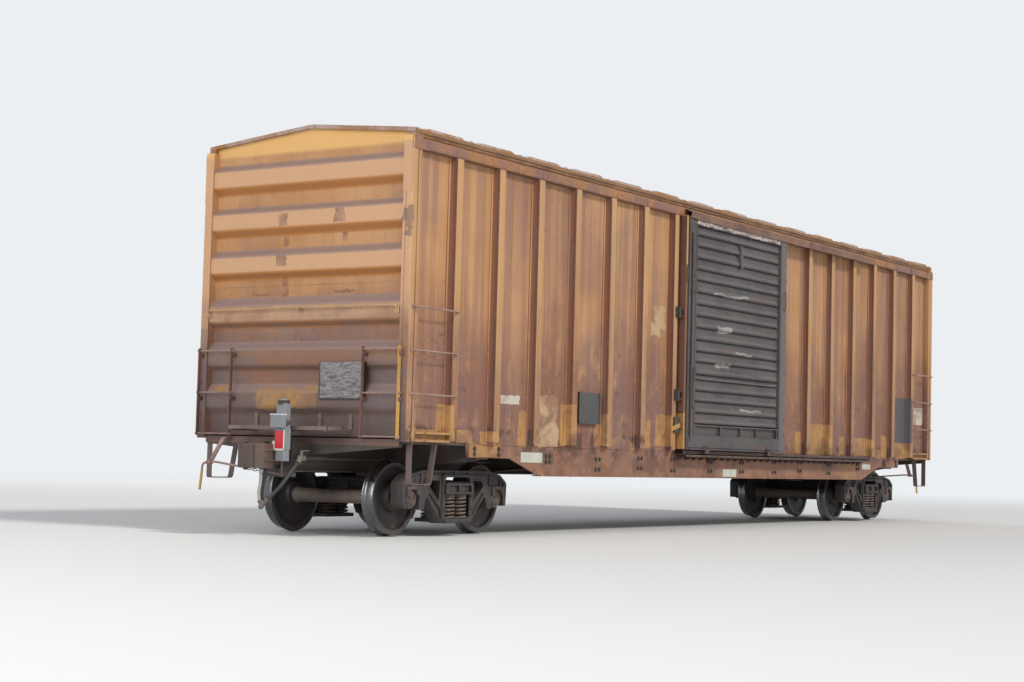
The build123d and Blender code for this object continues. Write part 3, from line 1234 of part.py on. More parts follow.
# Spring nest of one side: coils with ends ground flat on the seat and under the bolster
SPRING_TURNS = 5
SPRING_HEIGHT = 285.0
SPRING_RADIUS = 82.0
SPRING_SPACING = (244.0, 200.0)
SPRING_MIDDLE_Y = -900.0
SPRING_WIRE = 16.0
WIRE_SIDES = 8
with BuildPart() as coil:
    with BuildLine() as coil_path:
        Helix(pitch=SPRING_HEIGHT / SPRING_TURNS, height=SPRING_HEIGHT, radius=SPRING_RADIUS)
    with BuildSketch(Plane(origin=coil_path.line @ 0, z_dir=coil_path.line % 0)):
        RegularPolygon(SPRING_WIRE, WIRE_SIDES)
    sweep(path=coil_path.line, is_frenet=True)
    with Locations((0, 0, SPRING_HEIGHT / 2)):
        Box(3 * SPRING_RADIUS, 3 * SPRING_RADIUS, SPRING_HEIGHT, mode=Mode.INTERSECT)
with BuildPart() as spring_nest:
    with Locations((0, SPRING_MIDDLE_Y, over_rail(WINDOW_LOW))):
        with GridLocations(*SPRING_SPACING, 2, 2):
            add(coil.part)

# Brake beams: a round bar into the side frames, a strut with its tension rod, and shoes
BEAM_X = 345.0
BEAM_HEIGHT = over_rail(350)
BEAM_RADIUS = 26.0
SHOE_Y = 760.0
SHOE_GAP = 12.0
SHOE_THICK = 50.0
SHOE_WIDTH = 80.0
SHOE_HEIGHT = 330.0
SHOE_REACH = 110.0
HEAD_HEIGHT = 90.0
STRUT_REACH = 72.0
STRUT = (110.0, 60.0, 90.0)
TENSION_ROD_RADIUS = 14.0
with BuildPart() as brake_beam_pair:
    for way in (-1, 1):
        with Locations((way * BEAM_X, 0, BEAM_HEIGHT)):
            Cylinder(BEAM_RADIUS, 2 * FRAME_INNER, rotation=(90, 0, 0))
        with Locations((way * (BEAM_X - STRUT_REACH / 2), 0, BEAM_HEIGHT)):
            Box(*STRUT)
        for side in (-1, 1):
            start = Vector(way * (BEAM_X - STRUT_REACH), 0, BEAM_HEIGHT)
            along = Vector(way * BEAM_X, side * SHOE_Y, BEAM_HEIGHT) - start
            with Locations(Plane(origin=start, z_dir=along)):
                Cylinder(TENSION_ROD_RADIUS, along.length, align=UPWARD)
        for side in (-1, 1):
            with BuildSketch(Plane.XZ.offset(-side * SHOE_Y)):
                with Locations((way * WHEELBASE / 2, AXLE_HEIGHT)):
                    Circle(WHEEL_RADIUS + SHOE_GAP + SHOE_THICK)
                with Locations((way * BEAM_X, BEAM_HEIGHT)):
                    Rectangle(2 * SHOE_REACH, SHOE_HEIGHT, mode=Mode.INTERSECT)
                    Rectangle(2 * SHOE_REACH, HEAD_HEIGHT)
                with Locations((way * WHEELBASE / 2, AXLE_HEIGHT)):
                    Circle(WHEEL_RADIUS + SHOE_GAP, mode=Mode.SUBTRACT)
            extrude(amount=SHOE_WIDTH / 2, both=True)

# Wheelset: axle, dished wheels with flange and tapered tread, and bearings with caps
WHEELSET_HALF_PROFILE = (
    # distance from the car's middle line, radius, radius of the corner
    (0.0, 78.0, 0.0), (560.0, 84.0, 0.0), (636.0, 102.0, 0.0), (644.0, 150.0, 0.0), (690.0, 158.0, 20.0),
    (712.0, 250.0, 80.0), (700.0, 356.0, 0.0), (678.0, 372.0, 0.0), (678.0, 432.0, 0.0),
    (684.0, 442.0, 0.0), (697.0, 444.5, 0.0), (706.0, 436.0, 0.0), (716.0, 420.5, 0.0), (823.0, 415.0, 0.0),
    (823.0, 370.0, 0.0), (768.0, 354.0, 0.0), (752.0, 250.0, 80.0), (770.0, 158.0, 20.0),
    (842.0, 150.0, 0.0), (846.0, 98.0, 0.0), (898.0, 92.0, 0.0), (900.0, 104.0, 0.0),
    (1040.0, 104.0, 0.0), (1072.0, 94.0, 0.0), (1080.0, 62.0, 0.0), (1095.0, 44.0, 0.0), (1095.0, 0.0, 0.0),
)
with BuildPart() as wheelset:
    far_side = [(-y, radius, corner) for y, radius, corner in reversed(WHEELSET_HALF_PROFILE[1:])]
    profile = list(WHEELSET_HALF_PROFILE) + far_side
    with BuildSketch(Plane.YZ):
        with BuildLine():
            FilletPolyline(
                *[(y, AXLE_HEIGHT + radius) for y, radius, _ in profile],
                radius=[corner for _, _, corner in profile], close=True,
            )
        make_face()
    revolve(axis=Axis((0, 0, AXLE_HEIGHT), (0, 1, 0)))

for letter, end in (("a", -1), ("b", 1)):
    turn = 0 if end < 0 else 180
    centre = Location((end * TRUCK_CENTRE, 0, 0), (0, 0, turn))
    for name, piece, both_sides in (
        ("side_frames", side_frame, True),
        ("truck_bolster", truck_bolster, False),
        ("springs", spring_nest, True),
        ("brake_beams", brake_beam_pair, False),
    ):
        with BuildPart() as placed:
            add(piece.part.moved(centre))
            if both_sides:
                add(piece.part.rotate(Axis.Z, 180).moved(centre))
        write(placed.part, f"{name}_{letter}")

AXLE_STATIONS = [end * TRUCK_CENTRE + way * WHEELBASE / 2 for end in (-1, 1) for way in (-1, 1)]
for number, station in enumerate(AXLE_STATIONS, start=1):
    with BuildPart() as axle_and_wheels:
        add(wheelset.part.moved(Location((station, 0, 0))))
    write(axle_and_wheels.part, f"wheelset_{number}")
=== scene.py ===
import json
import math

import bmesh
import bpy
from mathutils import Matrix, Vector, noise


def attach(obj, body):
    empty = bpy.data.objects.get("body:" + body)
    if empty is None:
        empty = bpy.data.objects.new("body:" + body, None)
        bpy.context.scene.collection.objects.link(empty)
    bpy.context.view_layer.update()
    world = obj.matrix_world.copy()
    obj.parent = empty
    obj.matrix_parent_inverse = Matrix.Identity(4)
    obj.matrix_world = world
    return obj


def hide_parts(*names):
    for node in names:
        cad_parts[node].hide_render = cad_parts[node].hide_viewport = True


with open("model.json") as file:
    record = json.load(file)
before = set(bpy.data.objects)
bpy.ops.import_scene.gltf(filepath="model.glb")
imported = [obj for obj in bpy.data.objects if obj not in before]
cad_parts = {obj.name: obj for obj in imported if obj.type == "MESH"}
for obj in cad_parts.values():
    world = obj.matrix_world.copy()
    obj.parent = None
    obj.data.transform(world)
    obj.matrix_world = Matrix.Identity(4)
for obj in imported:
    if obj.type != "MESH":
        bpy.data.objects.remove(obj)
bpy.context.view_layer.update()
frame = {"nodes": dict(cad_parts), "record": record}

# Everything is in metres. +X runs from end A to end B and +Y to the left side. Shapes are
# drawn over the rail: their z = 0 is its top. The frame's z = 0 is at the flange tips, so
# Shape.done lifts every piece by the height of a flange. Materials see the finished pieces,
# so the heights at which they change are over the flange tips, but for the tables of marks.
FLANGE_HEIGHT = 0.0254
LIFT = Vector((0, 0, FLANGE_HEIGHT))


def over_rail(height):
    """Height over the flange tips of a height over the rail."""
    return FLANGE_HEIGHT + height


# Camera, as the photograph was taken
PHOTO_WIDTH = 1024
CAMERA_PLACE = Vector((-24.0579, -13.8268, over_rail(0.9414)))
CAMERA_YAW = math.radians(56.076)
CAMERA_PITCH = math.radians(3.606)
CAMERA_ROLL = math.radians(1.499)
FOCAL_PIXELS = 1832.14
SENSOR_WIDTH = 36.0
FARTHEST_SEEN = 400


def make_camera():
    """The camera at the photograph's place, turned by its yaw, pitch and roll."""
    flat = math.cos(CAMERA_PITCH)
    ahead = Vector((
        math.sin(CAMERA_YAW) * flat,
        math.cos(CAMERA_YAW) * flat,
        math.sin(CAMERA_PITCH),
    ))
    level_right = Vector((math.cos(CAMERA_YAW), -math.sin(CAMERA_YAW), 0))
    level_up = level_right.cross(ahead)
    right = math.cos(CAMERA_ROLL) * level_right + math.sin(CAMERA_ROLL) * level_up
    up = math.cos(CAMERA_ROLL) * level_up - math.sin(CAMERA_ROLL) * level_right
    data = bpy.data.cameras.new("camera")
    data.sensor_width = SENSOR_WIDTH
    data.sensor_fit = "HORIZONTAL"
    data.lens = FOCAL_PIXELS * SENSOR_WIDTH / PHOTO_WIDTH
    data.clip_end = FARTHEST_SEEN
    camera = bpy.data.objects.new("camera", data)
    bpy.context.scene.collection.objects.link(camera)
    turn = Matrix((right, up, -ahead)).transposed().to_4x4()
    camera.matrix_world = Matrix.Translation(CAMERA_PLACE) @ turn
    bpy.context.scene.camera = camera


# Driving dimensions of the body, the same as the solids have
HALF_LENGTH = 7.889
HALF_WIDTH = 1.571
SHEET_Y = 1.474
INNER_Y = 1.448
INNER_X = 7.696
BODY_BOTTOM = 1.083
CORNER_BOTTOM = 1.070
CHORD_BOTTOM = 4.360
FASCIA_TOP = 4.474
CHORD_TOP = 4.500
EAVE = 4.580
PEAK = 4.733
ROOF_HALF_WIDTH = 1.555
ROOF_HALF_LENGTH = 7.800
CORNER_POST_INNER = 7.722
DOOR_HALF = 1.524
END_CREST = 7.879
END_VALLEY = 7.786
COUPLER_HEIGHT = 0.876

# Driving dimensions of the trucks
TRUCK_X = 6.223
WHEELBASE_HALF = 0.8636
AXLE_HEIGHT = 0.4191

# The right side and end A are drawn; a half turn makes the left side and end B of them
SIDES = (("right", False), ("left", True))
ENDS = (("a", False), ("b", True))
BOTH = (-1, 1)


class Graph:
    """One material: short calls that add its nodes, and its colour so far."""

    def __init__(self, name, colour=None):
        self.material = bpy.data.materials.new(name)
        self.material.use_nodes = True
        self.tree = self.material.node_tree
        self.tree.nodes.clear()
        self.shader = self.tree.nodes.new("ShaderNodeBsdfPrincipled")
        self.output = self.tree.nodes.new("ShaderNodeOutputMaterial")
        self.tree.links.new(self.shader.outputs[0], self.output.inputs[0])
        self.place = self.node("ShaderNodeTexCoord").outputs["Object"]
        self.normal = self.node("ShaderNodeNewGeometry").outputs["Normal"]
        self.colour = colour

    def put(self, socket, value):
        """Give an input a link, a colour or a plain value."""
        if isinstance(value, bpy.types.NodeSocket):
            self.tree.links.new(value, socket)
        elif isinstance(value, tuple) and socket.type == "RGBA":
            socket.default_value = (*value, 1)
        else:
            socket.default_value = value

    def node(self, kind, values=(), **settings):
        """Add a node, with its settings and its inputs' values."""
        made = self.tree.nodes.new(kind)
        for key, value in settings.items():
            setattr(made, key, value)
        for key, value in values:
            self.put(made.inputs[key], value)
        return made

    def math(self, operation, first, second=0.0, third=0.0):
        """The result of one math operation."""
        values = [(0, first), (1, second), (2, third)]
        return self.node("ShaderNodeMath", values, operation=operation).outputs[0]

    def product(self, *factors):
        """All factors multiplied."""
        value = factors[0]
        for factor in factors[1:]:
            value = self.math("MULTIPLY", value, factor)
        return value

    def mix(self, share, first, second):
        """A colour between two, by the share of the second."""
        values = [(0, share), (6, first), (7, second)]
        return self.node("ShaderNodeMix", values, data_type="RGBA").outputs[2]

    def coat(self, tint, *shares):
        """Lay a tint over the colour so far, as strong as the product of the shares."""
        self.colour = self.mix(self.product(*shares), self.colour, tint)

    def spread(self, value, low, high, to_low=0.0, to_high=1.0):
        """A smooth step of a value from `low` to `high`."""
        values = [(0, value), (1, low), (2, high), (3, to_low), (4, to_high)]
        return self.node("ShaderNodeMapRange", values, interpolation_type="SMOOTHSTEP").outputs[0]

    def stretched(self, scale, offset=(0.0, 0.0, 0.0)):
        """The place, scaled along each axis and moved."""
        return self.node("ShaderNodeMapping", [(0, self.place), (1, offset), (3, scale)]).outputs[0]

    def noise(self, scale, detail=4.0, rough=0.55, where=None, bend=0.0):
        """Noise about one half, at the object's own place unless another is given."""
        values = [
            ("Vector", where or self.place), ("Scale", scale), ("Detail", detail),
            ("Roughness", rough), ("Distortion", bend),
        ]
        return self.node("ShaderNodeTexNoise", values).outputs[0]

    def bent(self, vector, scale, reach):
        """A place that wanders, so that lines drawn there run crooked."""
        drift = self.node("ShaderNodeTexNoise", [("Vector", vector), ("Scale", scale), ("Detail", 4.0)])
        values = [(0, drift.outputs["Color"]), (1, (reach, reach, reach)), (2, vector)]
        return self.node("ShaderNodeVectorMath", values, operation="MULTIPLY_ADD").outputs[0]

    def axis(self, name, vector=None):
        """One coordinate of the place or of another vector."""
        return self.node("ShaderNodeSeparateXYZ", [(0, vector or self.place)]).outputs[name]

    def reach(self, name, vector=None):
        """Distance along an axis, whichever way."""
        return self.math("ABSOLUTE", self.axis(name, vector))

    def spots(self, axis, areas, ragged=0.05, grain=7.0):
        """1 inside the areas (start, stop, low, high) across an axis and over the rail, with
        torn edges."""
        shift = self.math("SUBTRACT", self.noise(grain, 5.0, 0.65), 0.5)
        elsewhere = self.stretched((1, 1, 1), (7, 3, 9))
        other = self.math("SUBTRACT", self.noise(grain, 5.0, 0.65, elsewhere), 0.5)
        across = self.math("MULTIPLY_ADD", shift, ragged, self.axis(axis))
        height = self.math("MULTIPLY_ADD", other, ragged, self.axis("Z"))
        total = 0.0
        for start, stop, low, high in areas:
            inside = self.product(
                self.math("COMPARE", across, (start + stop) / 2, (stop - start) / 2),
                self.math("COMPARE", height, over_rail((low + high) / 2), (high - low) / 2),
            )
            total = self.math("MAXIMUM", total, inside)
        return total

    def finish(self, roughness, height=None, strength=0.3, distance=0.01, metallic=0.0):
        """Give the shader the colour so far, its roughness and a relief."""
        self.put(self.shader.inputs["Base Color"], self.colour)
        self.put(self.shader.inputs["Roughness"], roughness)
        self.put(self.shader.inputs["Metallic"], metallic)
        if height is not None:
            values = [("Height", height), ("Strength", strength), ("Distance", distance)]
            self.put(self.shader.inputs["Normal"], self.node("ShaderNodeBump", values).outputs[0])
        return self.material


# Colours, as linear light
TAN = (0.470, 0.242, 0.105)
TAN_LIGHT = (0.550, 0.305, 0.145)
ORANGE = (0.430, 0.180, 0.048)
SHADED_UNDERSIDE_ORANGE = (0.430, 0.163, 0.030)
YELLOW_FACE = (0.500, 0.290, 0.125)
RED_BROWN = (0.230, 0.085, 0.038)
BROWN_STAIN = (0.255, 0.108, 0.052)
FLANK_SHADE_AND_RUST = (0.095, 0.036, 0.022)
FLANK_STAIN = (0.150, 0.068, 0.052)
PURPLE_RUST = (0.190, 0.100, 0.090)
RUST_DARK = (0.075, 0.032, 0.020)
FASCIA_PURPLE = (0.210, 0.112, 0.098)
FASCIA_RUST = (0.330, 0.150, 0.060)
FASCIA_SPECK = (0.105, 0.055, 0.045)
DOWNWARD_FACE_SHADE = (0.060, 0.045, 0.040)
GREY_DUST = (0.330, 0.235, 0.215)
CREST = (0.640, 0.380, 0.220)
LOW_DIRT = (0.165, 0.128, 0.130)
LOW_RUST = (0.290, 0.130, 0.062)
GRIME = (0.095, 0.062, 0.048)
BLOTCH = (0.150, 0.068, 0.055)
CORNER_PATCH_DARK = (0.120, 0.085, 0.085)
SILL_DIRT = (0.300, 0.150, 0.085)
FRESH = (0.480, 0.260, 0.085)
GABLE = (0.800, 0.480, 0.170)
PALE = (0.620, 0.560, 0.490)
CREAM = (0.560, 0.400, 0.230)
BLACK_PAINT = (0.075, 0.078, 0.090)
STRIP_RUST = (0.170, 0.078, 0.050)
ROOF_OCHRE = (0.340, 0.165, 0.060)
ROOF_ZINC = (0.440, 0.330, 0.290)
ROOF_EDGE = (0.255, 0.125, 0.042)
DOOR_DARK = (0.048, 0.043, 0.046)
DOOR_WORN = (0.078, 0.072, 0.075)
DOOR_RUST = (0.100, 0.062, 0.052)
DOOR_CREST_HIGHLIGHT_AND_WEAR = (0.168, 0.142, 0.142)
DOOR_SHADE = (0.016, 0.014, 0.014)
DOOR_STILE_HIGHLIGHT = (0.150, 0.130, 0.125)
DOOR_SCRAPE = (0.400, 0.360, 0.340)
DOOR_BARE_TOP = (0.560, 0.460, 0.420)
BOARD_DARK = (0.100, 0.095, 0.098)
BOARD_PALE = (0.330, 0.315, 0.320)
BOARD_GRAIN = (0.045, 0.042, 0.042)
PLANK_DARK = (0.085, 0.060, 0.042)
PLANK_PALE = (0.260, 0.190, 0.130)
PLANK_STAIN = (0.120, 0.090, 0.070)
WHEEL_BLACK = (0.026, 0.025, 0.027)
WHEEL_BROWN = (0.048, 0.037, 0.034)
WHEEL_DUST = (0.075, 0.062, 0.055)
AXLE_DUST = (0.200, 0.155, 0.125)
WHEEL_OIL = (0.035, 0.030, 0.027)
WHEEL_RIM = (0.062, 0.055, 0.054)
WHEEL_TREAD = (0.150, 0.150, 0.160)

# Paint marks, as (start, stop, height over the rail, to height). They run along the right side
FRESH_PAINT = (
    (-7.776, -6.952, 1.078, 1.221), (-7.206, -6.982, 1.108, 1.512), (-6.793, -6.475, 1.084, 1.227),
    (-6.317, -6.061, 1.090, 1.226), (-6.557, -5.885, 0.900, 1.090), (-5.514, -5.338, 1.053, 1.501),
    (-4.561, -4.311, 1.091, 1.613), (-3.729, -3.510, 1.107, 1.514), (-2.111, -1.812, 1.136, 1.569),
    (2.340, 2.533, 1.114, 1.443), (2.885, 3.639, 1.107, 1.590), (4.035, 4.249, 1.125, 1.409),
    (4.634, 5.347, 1.107, 1.399), (5.526, 5.786, 1.078, 1.224), (5.786, 6.022, 1.084, 1.459),
    (6.410, 7.113, 1.074, 1.367), (6.983, 7.743, 1.056, 1.185), (4.218, 4.774, 0.706, 0.972),
    (-1.770, -1.590, 1.110, 1.600), (-2.480, -2.260, 1.110, 1.480),
)
PALE_PAINT = ((-5.898, -5.492, 1.570, 1.680), (7.239, 7.691, 1.700, 2.000))
CREAM_PAINT = (
    (-2.200, -1.900, 2.760, 3.060), (-2.314, -2.020, 2.639, 2.800), (-5.118, -4.620, 1.074, 1.690),
)
DARK_PAINT = ((6.421, 6.985, 1.354, 2.147),)
GRIMY_STRIP = ((-1.680, -1.560, 1.620, 3.690),)
# Dark patch on the corner of end A, below the cap of its right corner post
CORNER_DARK_PATCH = ((-7.912, -7.872, 3.370, 3.700),)
DOOR_SCRAPES = (
    (-0.670, -0.240, 2.800, 2.890), (-0.700, -0.250, 2.290, 2.350), (0.080, 0.800, 1.690, 1.720),
    (-0.100, 0.420, 2.500, 2.540), (-0.800, 0.300, 3.330, 3.365),
)
DOOR_TOP_BAND = ((-1.36, 1.30, 4.275, 4.345),)
# Paint marks across end A
END_BLOTCHES = (
    (0.270, 0.410, 3.570, 3.720), (-0.600, -0.450, 3.570, 3.730), (0.300, 0.390, 3.330, 3.460),
    (-0.590, -0.500, 3.350, 3.450), (0.270, 0.410, 3.090, 3.230), (0.290, 0.370, 2.740, 2.960),
    (-0.700, -0.400, 2.765, 2.800), (0.500, 0.850, 2.760, 2.785), (1.120, 1.200, 2.420, 2.500),
)
FRESH_END = ((-0.260, 0.660, 1.420, 1.690), (1.100, 1.420, 1.610, 1.690))


def paint_sheets(g):
    """Sheets: tan, with orange and purple stains that run down, specks, cracks and scuffs."""
    g.colour = g.mix(g.spread(g.cloud, 0.36, 0.62), TAN, TAN_LIGHT)
    g.coat(ORANGE, g.spread(g.streak, 0.46, 0.70), 0.42)
    thin_streak = g.noise(1.0, 5.0, 0.60, g.stretched((26.0, 26.0, 0.8)))
    g.coat(PURPLE_RUST, g.spread(thin_streak, 0.55, 0.75), 0.16)
    stain = g.noise(0.62, 4.0, 0.55, g.stretched((1.0, 1.0, 0.7), (3, 1, 7)))
    g.coat(PURPLE_RUST, g.spread(stain, 0.46, 0.64), 0.40)
    g.coat(PURPLE_RUST, g.low, g.spread(g.patchy, 0.28, 0.50), 0.86)
    g.coat(RED_BROWN, g.low, g.spread(g.streak, 0.50, 0.60), 0.55)
    brown = g.noise(0.85, 4.0, 0.6, g.stretched((1.5, 1.5, 0.5), (11, 0, 2)))
    g.coat(BROWN_STAIN, g.low, g.spread(brown, 0.42, 0.60), 0.60)
    specks = g.spread(g.noise(7.0, 8.0, 0.75), 0.59, 0.65)
    g.coat(RUST_DARK, specks, g.math("MULTIPLY_ADD", g.low, 0.60, 0.20))
    crooked = g.bent(g.stretched((1.0, 1.0, 0.8)), 0.9, 0.30)
    crack = g.node(
        "ShaderNodeTexVoronoi", [("Vector", crooked), ("Scale", 3.1)], feature="DISTANCE_TO_EDGE",
    ).outputs[0]
    bunched = g.spread(g.noise(1.3, 3.0), 0.52, 0.62)
    deeper = g.math("MULTIPLY_ADD", g.low, 0.55, 0.05)
    g.coat(RUST_DARK, g.spread(crack, 0.016, 0.006), bunched, deeper)
    scuffs = g.noise(4.5, 7.0, 0.72, g.stretched((1.0, 1.0, 1.7), (4, 8, 1)))
    g.coat(TAN, g.spread(scuffs, 0.60, 0.64), g.low, 0.35)


def paint_posts(g):
    """Posts: yellow outer faces, deep red-brown flanks that are partly rust and partly painted shade, and
    rust where they meet the sheet.
    """
    face = g.product(
        g.spread(g.aside, 1.556, 1.566), g.spread(g.outward, 0.6, 0.9), g.spread(g.height, 4.376, 4.366)
    )
    kept = g.math("SUBTRACT", 1.0, g.product(g.low, 0.35))
    g.coat(YELLOW_FACE, face, kept, g.spread(g.streak, 0.66, 0.44), 0.70)
    # Painted shade with rust stains: the posts' flanks, which face along the car, turn red-brown, darker
    # towards the outer face and rusty at the foot
    flank = g.product(
        g.spread(g.endward, 0.35, 0.85), g.spread(g.along, 7.70, 7.68), g.spread(g.aside, 1.40, 1.46)
    )
    shade = g.mix(g.spread(g.aside, 1.500, 1.556), RED_BROWN, FLANK_SHADE_AND_RUST)
    shade = g.mix(g.product(g.spread(g.patchy, 0.48, 0.62), 0.5), shade, FLANK_STAIN)
    shade = g.mix(g.spread(g.height, 1.330, 1.270), shade, RUST_DARK)
    g.coat(shade, flank, 0.94)
    foot = g.product(g.spread(g.aside, 1.500, 1.480), g.spread(g.aside, 1.46, 1.472), 0.55)
    near_post = g.spread(g.noise(1.0, 3.0, 0.5, g.stretched((9.0, 9.0, 0.15))), 0.42, 0.60)
    g.coat(PURPLE_RUST, foot, near_post, 0.8)
    rot = g.spread(g.noise(3.1, 5.0, 0.6), 0.50, 0.58)
    g.coat(RUST_DARK, g.spread(g.height, 1.330, 1.250), rot, g.right, 0.8)


def paint_fascia(g):
    """Fascia of the top chord: mostly rust, in bands."""
    chord = g.product(g.spread(g.height, 4.372, 4.384), g.spread(g.aside, 1.54, 1.56))
    bands = g.noise(1.0, 5.0, 0.62, g.stretched((3.2, 0.4, 0.7), (9, 0, 0)))
    rusted = g.mix(g.spread(bands, 0.42, 0.60), FASCIA_PURPLE, FASCIA_RUST)
    rusted = g.mix(g.product(g.spread(g.fine, 0.50, 0.66), 0.5), rusted, FASCIA_SPECK)
    g.coat(rusted, chord, 0.94)


def paint_ends(g):
    """Ends: dust on the ribs' tops, painted shade in deeper orange on their undersides, pale crests, dirt
    below.
    """
    g.coat(CREST, g.on_end, g.spread(g.along, 7.855, 7.872), g.spread(g.height, 1.6, 2.6), 0.85)
    # Painted shade: the end's faces that look down turn a deeper orange
    g.coat(SHADED_UNDERSIDE_ORANGE, g.on_end, g.spread(g.up, -0.20, -0.55), 0.85)
    dirty = g.product(g.on_end, g.spread(g.math("MULTIPLY_ADD", g.patchy, 1.1, g.height), 3.50, 2.40))
    g.coat(LOW_DIRT, dirty, 0.88)
    rusty = g.noise(0.9, 5.0, 0.62, g.stretched((1.0, 1.0, 1.6), (2, 5, 3)))
    g.coat(LOW_RUST, dirty, g.spread(rusty, 0.47, 0.62), 0.80)
    g.coat(BLOTCH, g.front, g.spots("Y", END_BLOTCHES, 0.16, 5.0), g.spread(g.patchy, 0.36, 0.58), 0.62)
    g.coat(GRIME, g.on_end, g.spread(g.math("MULTIPLY_ADD", g.patchy, 0.5, g.height), 1.85, 1.45), 0.65)
    g.coat(GREY_DUST, g.on_end, g.spread(g.up, 0.15, 0.50), g.spread(g.fine, 0.30, 0.62, 0.95, 0.75))
    g.coat(GABLE, g.on_end, g.spread(g.height, 4.44, 4.50), 0.85)


def paint_marks(g):
    """Marks on the right side and on end A."""
    fresh = g.math(
        "MAXIMUM",
        g.product(g.right, g.spots("X", FRESH_PAINT, 0.085)),
        g.product(g.front, g.spots("Y", FRESH_END, 0.170, 3.0)),
    )
    g.coat(FRESH, fresh, g.spread(g.patchy, 0.64, 0.40, 0.20, 0.85))
    g.coat(CREAM, g.right, g.spots("X", CREAM_PAINT, 0.22, 5.0), g.spread(g.patchy, 0.62, 0.42, 0.15, 0.75))
    g.coat(PALE, g.right, g.spots("X", PALE_PAINT, 0.105, 5.0), g.spread(g.patchy, 0.66, 0.44, 0.30, 0.92))
    soot = g.noise(1.2, 4.0, 0.6, g.stretched((3.0, 3.0, 0.4)))
    g.coat(BLACK_PAINT, g.right, g.spots("X", DARK_PAINT, 0.012), g.spread(soot, 0.36, 0.62, 0.97, 0.80))
    g.coat(STRIP_RUST, g.right, g.spots("X", GRIMY_STRIP, 0.10), 0.85)
    # A dark patch on the corner, below the corner post's cap
    g.coat(CORNER_PATCH_DARK, g.right, g.spots("X", CORNER_DARK_PATCH, 0.22, 4.0), 0.6)


def paint_dirt(g):
    """Dirt thrown up over the sills and the foot of the walls, and painted shade on the faces that look
    down.
    """
    skirt = g.spread(g.math("MULTIPLY_ADD", g.patchy, 0.5, g.height), 1.42, 1.12)
    g.coat(SILL_DIRT, skirt, g.spread(g.cloud, 0.35, 0.60, 0.30, 0.60))
    # Painted shade: every face that looks down is darkened
    g.coat(DOWNWARD_FACE_SHADE, g.spread(g.up, -0.60, -0.90), 0.65)


def body_paint(name):
    """Faded ochre paint: clean tan sheets above, rust and grime below, post flanks dark with rust and
    painted shade, and painted shade on faces that look down.
    """
    g = Graph(name)
    g.height, g.along, g.aside = g.axis("Z"), g.reach("X"), g.reach("Y")
    g.up, g.endward, g.outward = g.axis("Z", g.normal), g.reach("X", g.normal), g.reach("Y", g.normal)
    g.cloud = g.noise(0.55, 5.0, 0.60)
    g.patchy = g.noise(3.2, 7.0, 0.66, bend=0.4)
    g.fine = g.noise(22.0, 6.0, 0.70)
    g.streak = g.noise(1.0, 7.0, 0.66, g.stretched((5.0, 5.0, 0.28)), 0.25)
    g.on_end = g.product(g.spread(g.along, 7.715, 7.735), g.spread(g.outward, 0.75, 0.45))
    g.right = g.spread(g.axis("Y"), -1.40, -1.42)
    g.front = g.product(g.spread(g.axis("X"), -7.70, -7.72), g.spread(g.aside, 1.46, 1.44))
    edge = g.noise(0.7, 5.0, 0.65, g.stretched((1.6, 1.6, 0.8)))
    g.low = g.spread(g.math("MULTIPLY_ADD", edge, 2.6, g.height), 4.45, 2.85)
    for paint in (paint_sheets, paint_posts, paint_fascia, paint_ends, paint_marks, paint_dirt):
        paint(g)
    relief = g.math("MULTIPLY_ADD", g.noise(70.0, 3.0), 0.2, g.fine)
    return g.finish(g.spread(g.fine, 0.3, 0.7, 0.50, 0.76), relief, 0.22, 0.004)


def roof_paint(name):
    """Galvanised sheet with peeling ochre and rust along the seams."""
    g = Graph(name)
    height = g.axis("Z")
    fine = g.noise(20.0, 6.0, 0.70)
    g.colour = g.mix(g.spread(g.noise(2.4, 7.0, 0.66, bend=0.3), 0.40, 0.58), ROOF_OCHRE, ROOF_ZINC)
    g.coat(PURPLE_RUST, g.spread(fine, 0.50, 0.66), 0.6)
    g.coat(ROOF_EDGE, g.spread(g.reach("Y"), 1.545, 1.553), g.spread(height, 4.612, 4.600), 0.9)
    g.coat(RUST_DARK, g.spread(height, 4.596, 4.560), g.spread(g.noise(3.0, 5.0), 0.35, 0.6), 0.5)
    return g.finish(g.spread(fine, 0.3, 0.7, 0.42, 0.70), fine, 0.25, 0.004)


def worn_steel(name, paint, rust, dust, rough, rusty, dusty, grain=1.0, metallic=0.0):
    """Painted or bare steel: rust blooms, speckle, and dust on what faces up."""
    g = Graph(name, paint)
    fine = g.noise(26.0 * grain, 7.0, 0.70)
    g.coat(rust, g.spread(g.noise(2.6 * grain, 6.0, 0.62), 0.42, 0.62), rusty)
    g.coat(rust, g.spread(fine, 0.50, 0.68), rusty * 0.7)
    facing_up = g.math("MULTIPLY_ADD", g.spread(g.axis("Z", g.normal), 0.05, 0.85), 0.75, 0.18)
    g.coat(dust, facing_up, g.spread(g.noise(5.0 * grain, 5.0), 0.30, 0.62), dusty)
    relief = g.math("MULTIPLY_ADD", g.noise(90.0, 4.0), 0.4, fine)
    return g.finish(g.spread(fine, 0.3, 0.7, rough - 0.12, rough + 0.16), relief, 0.32, 0.004, metallic)


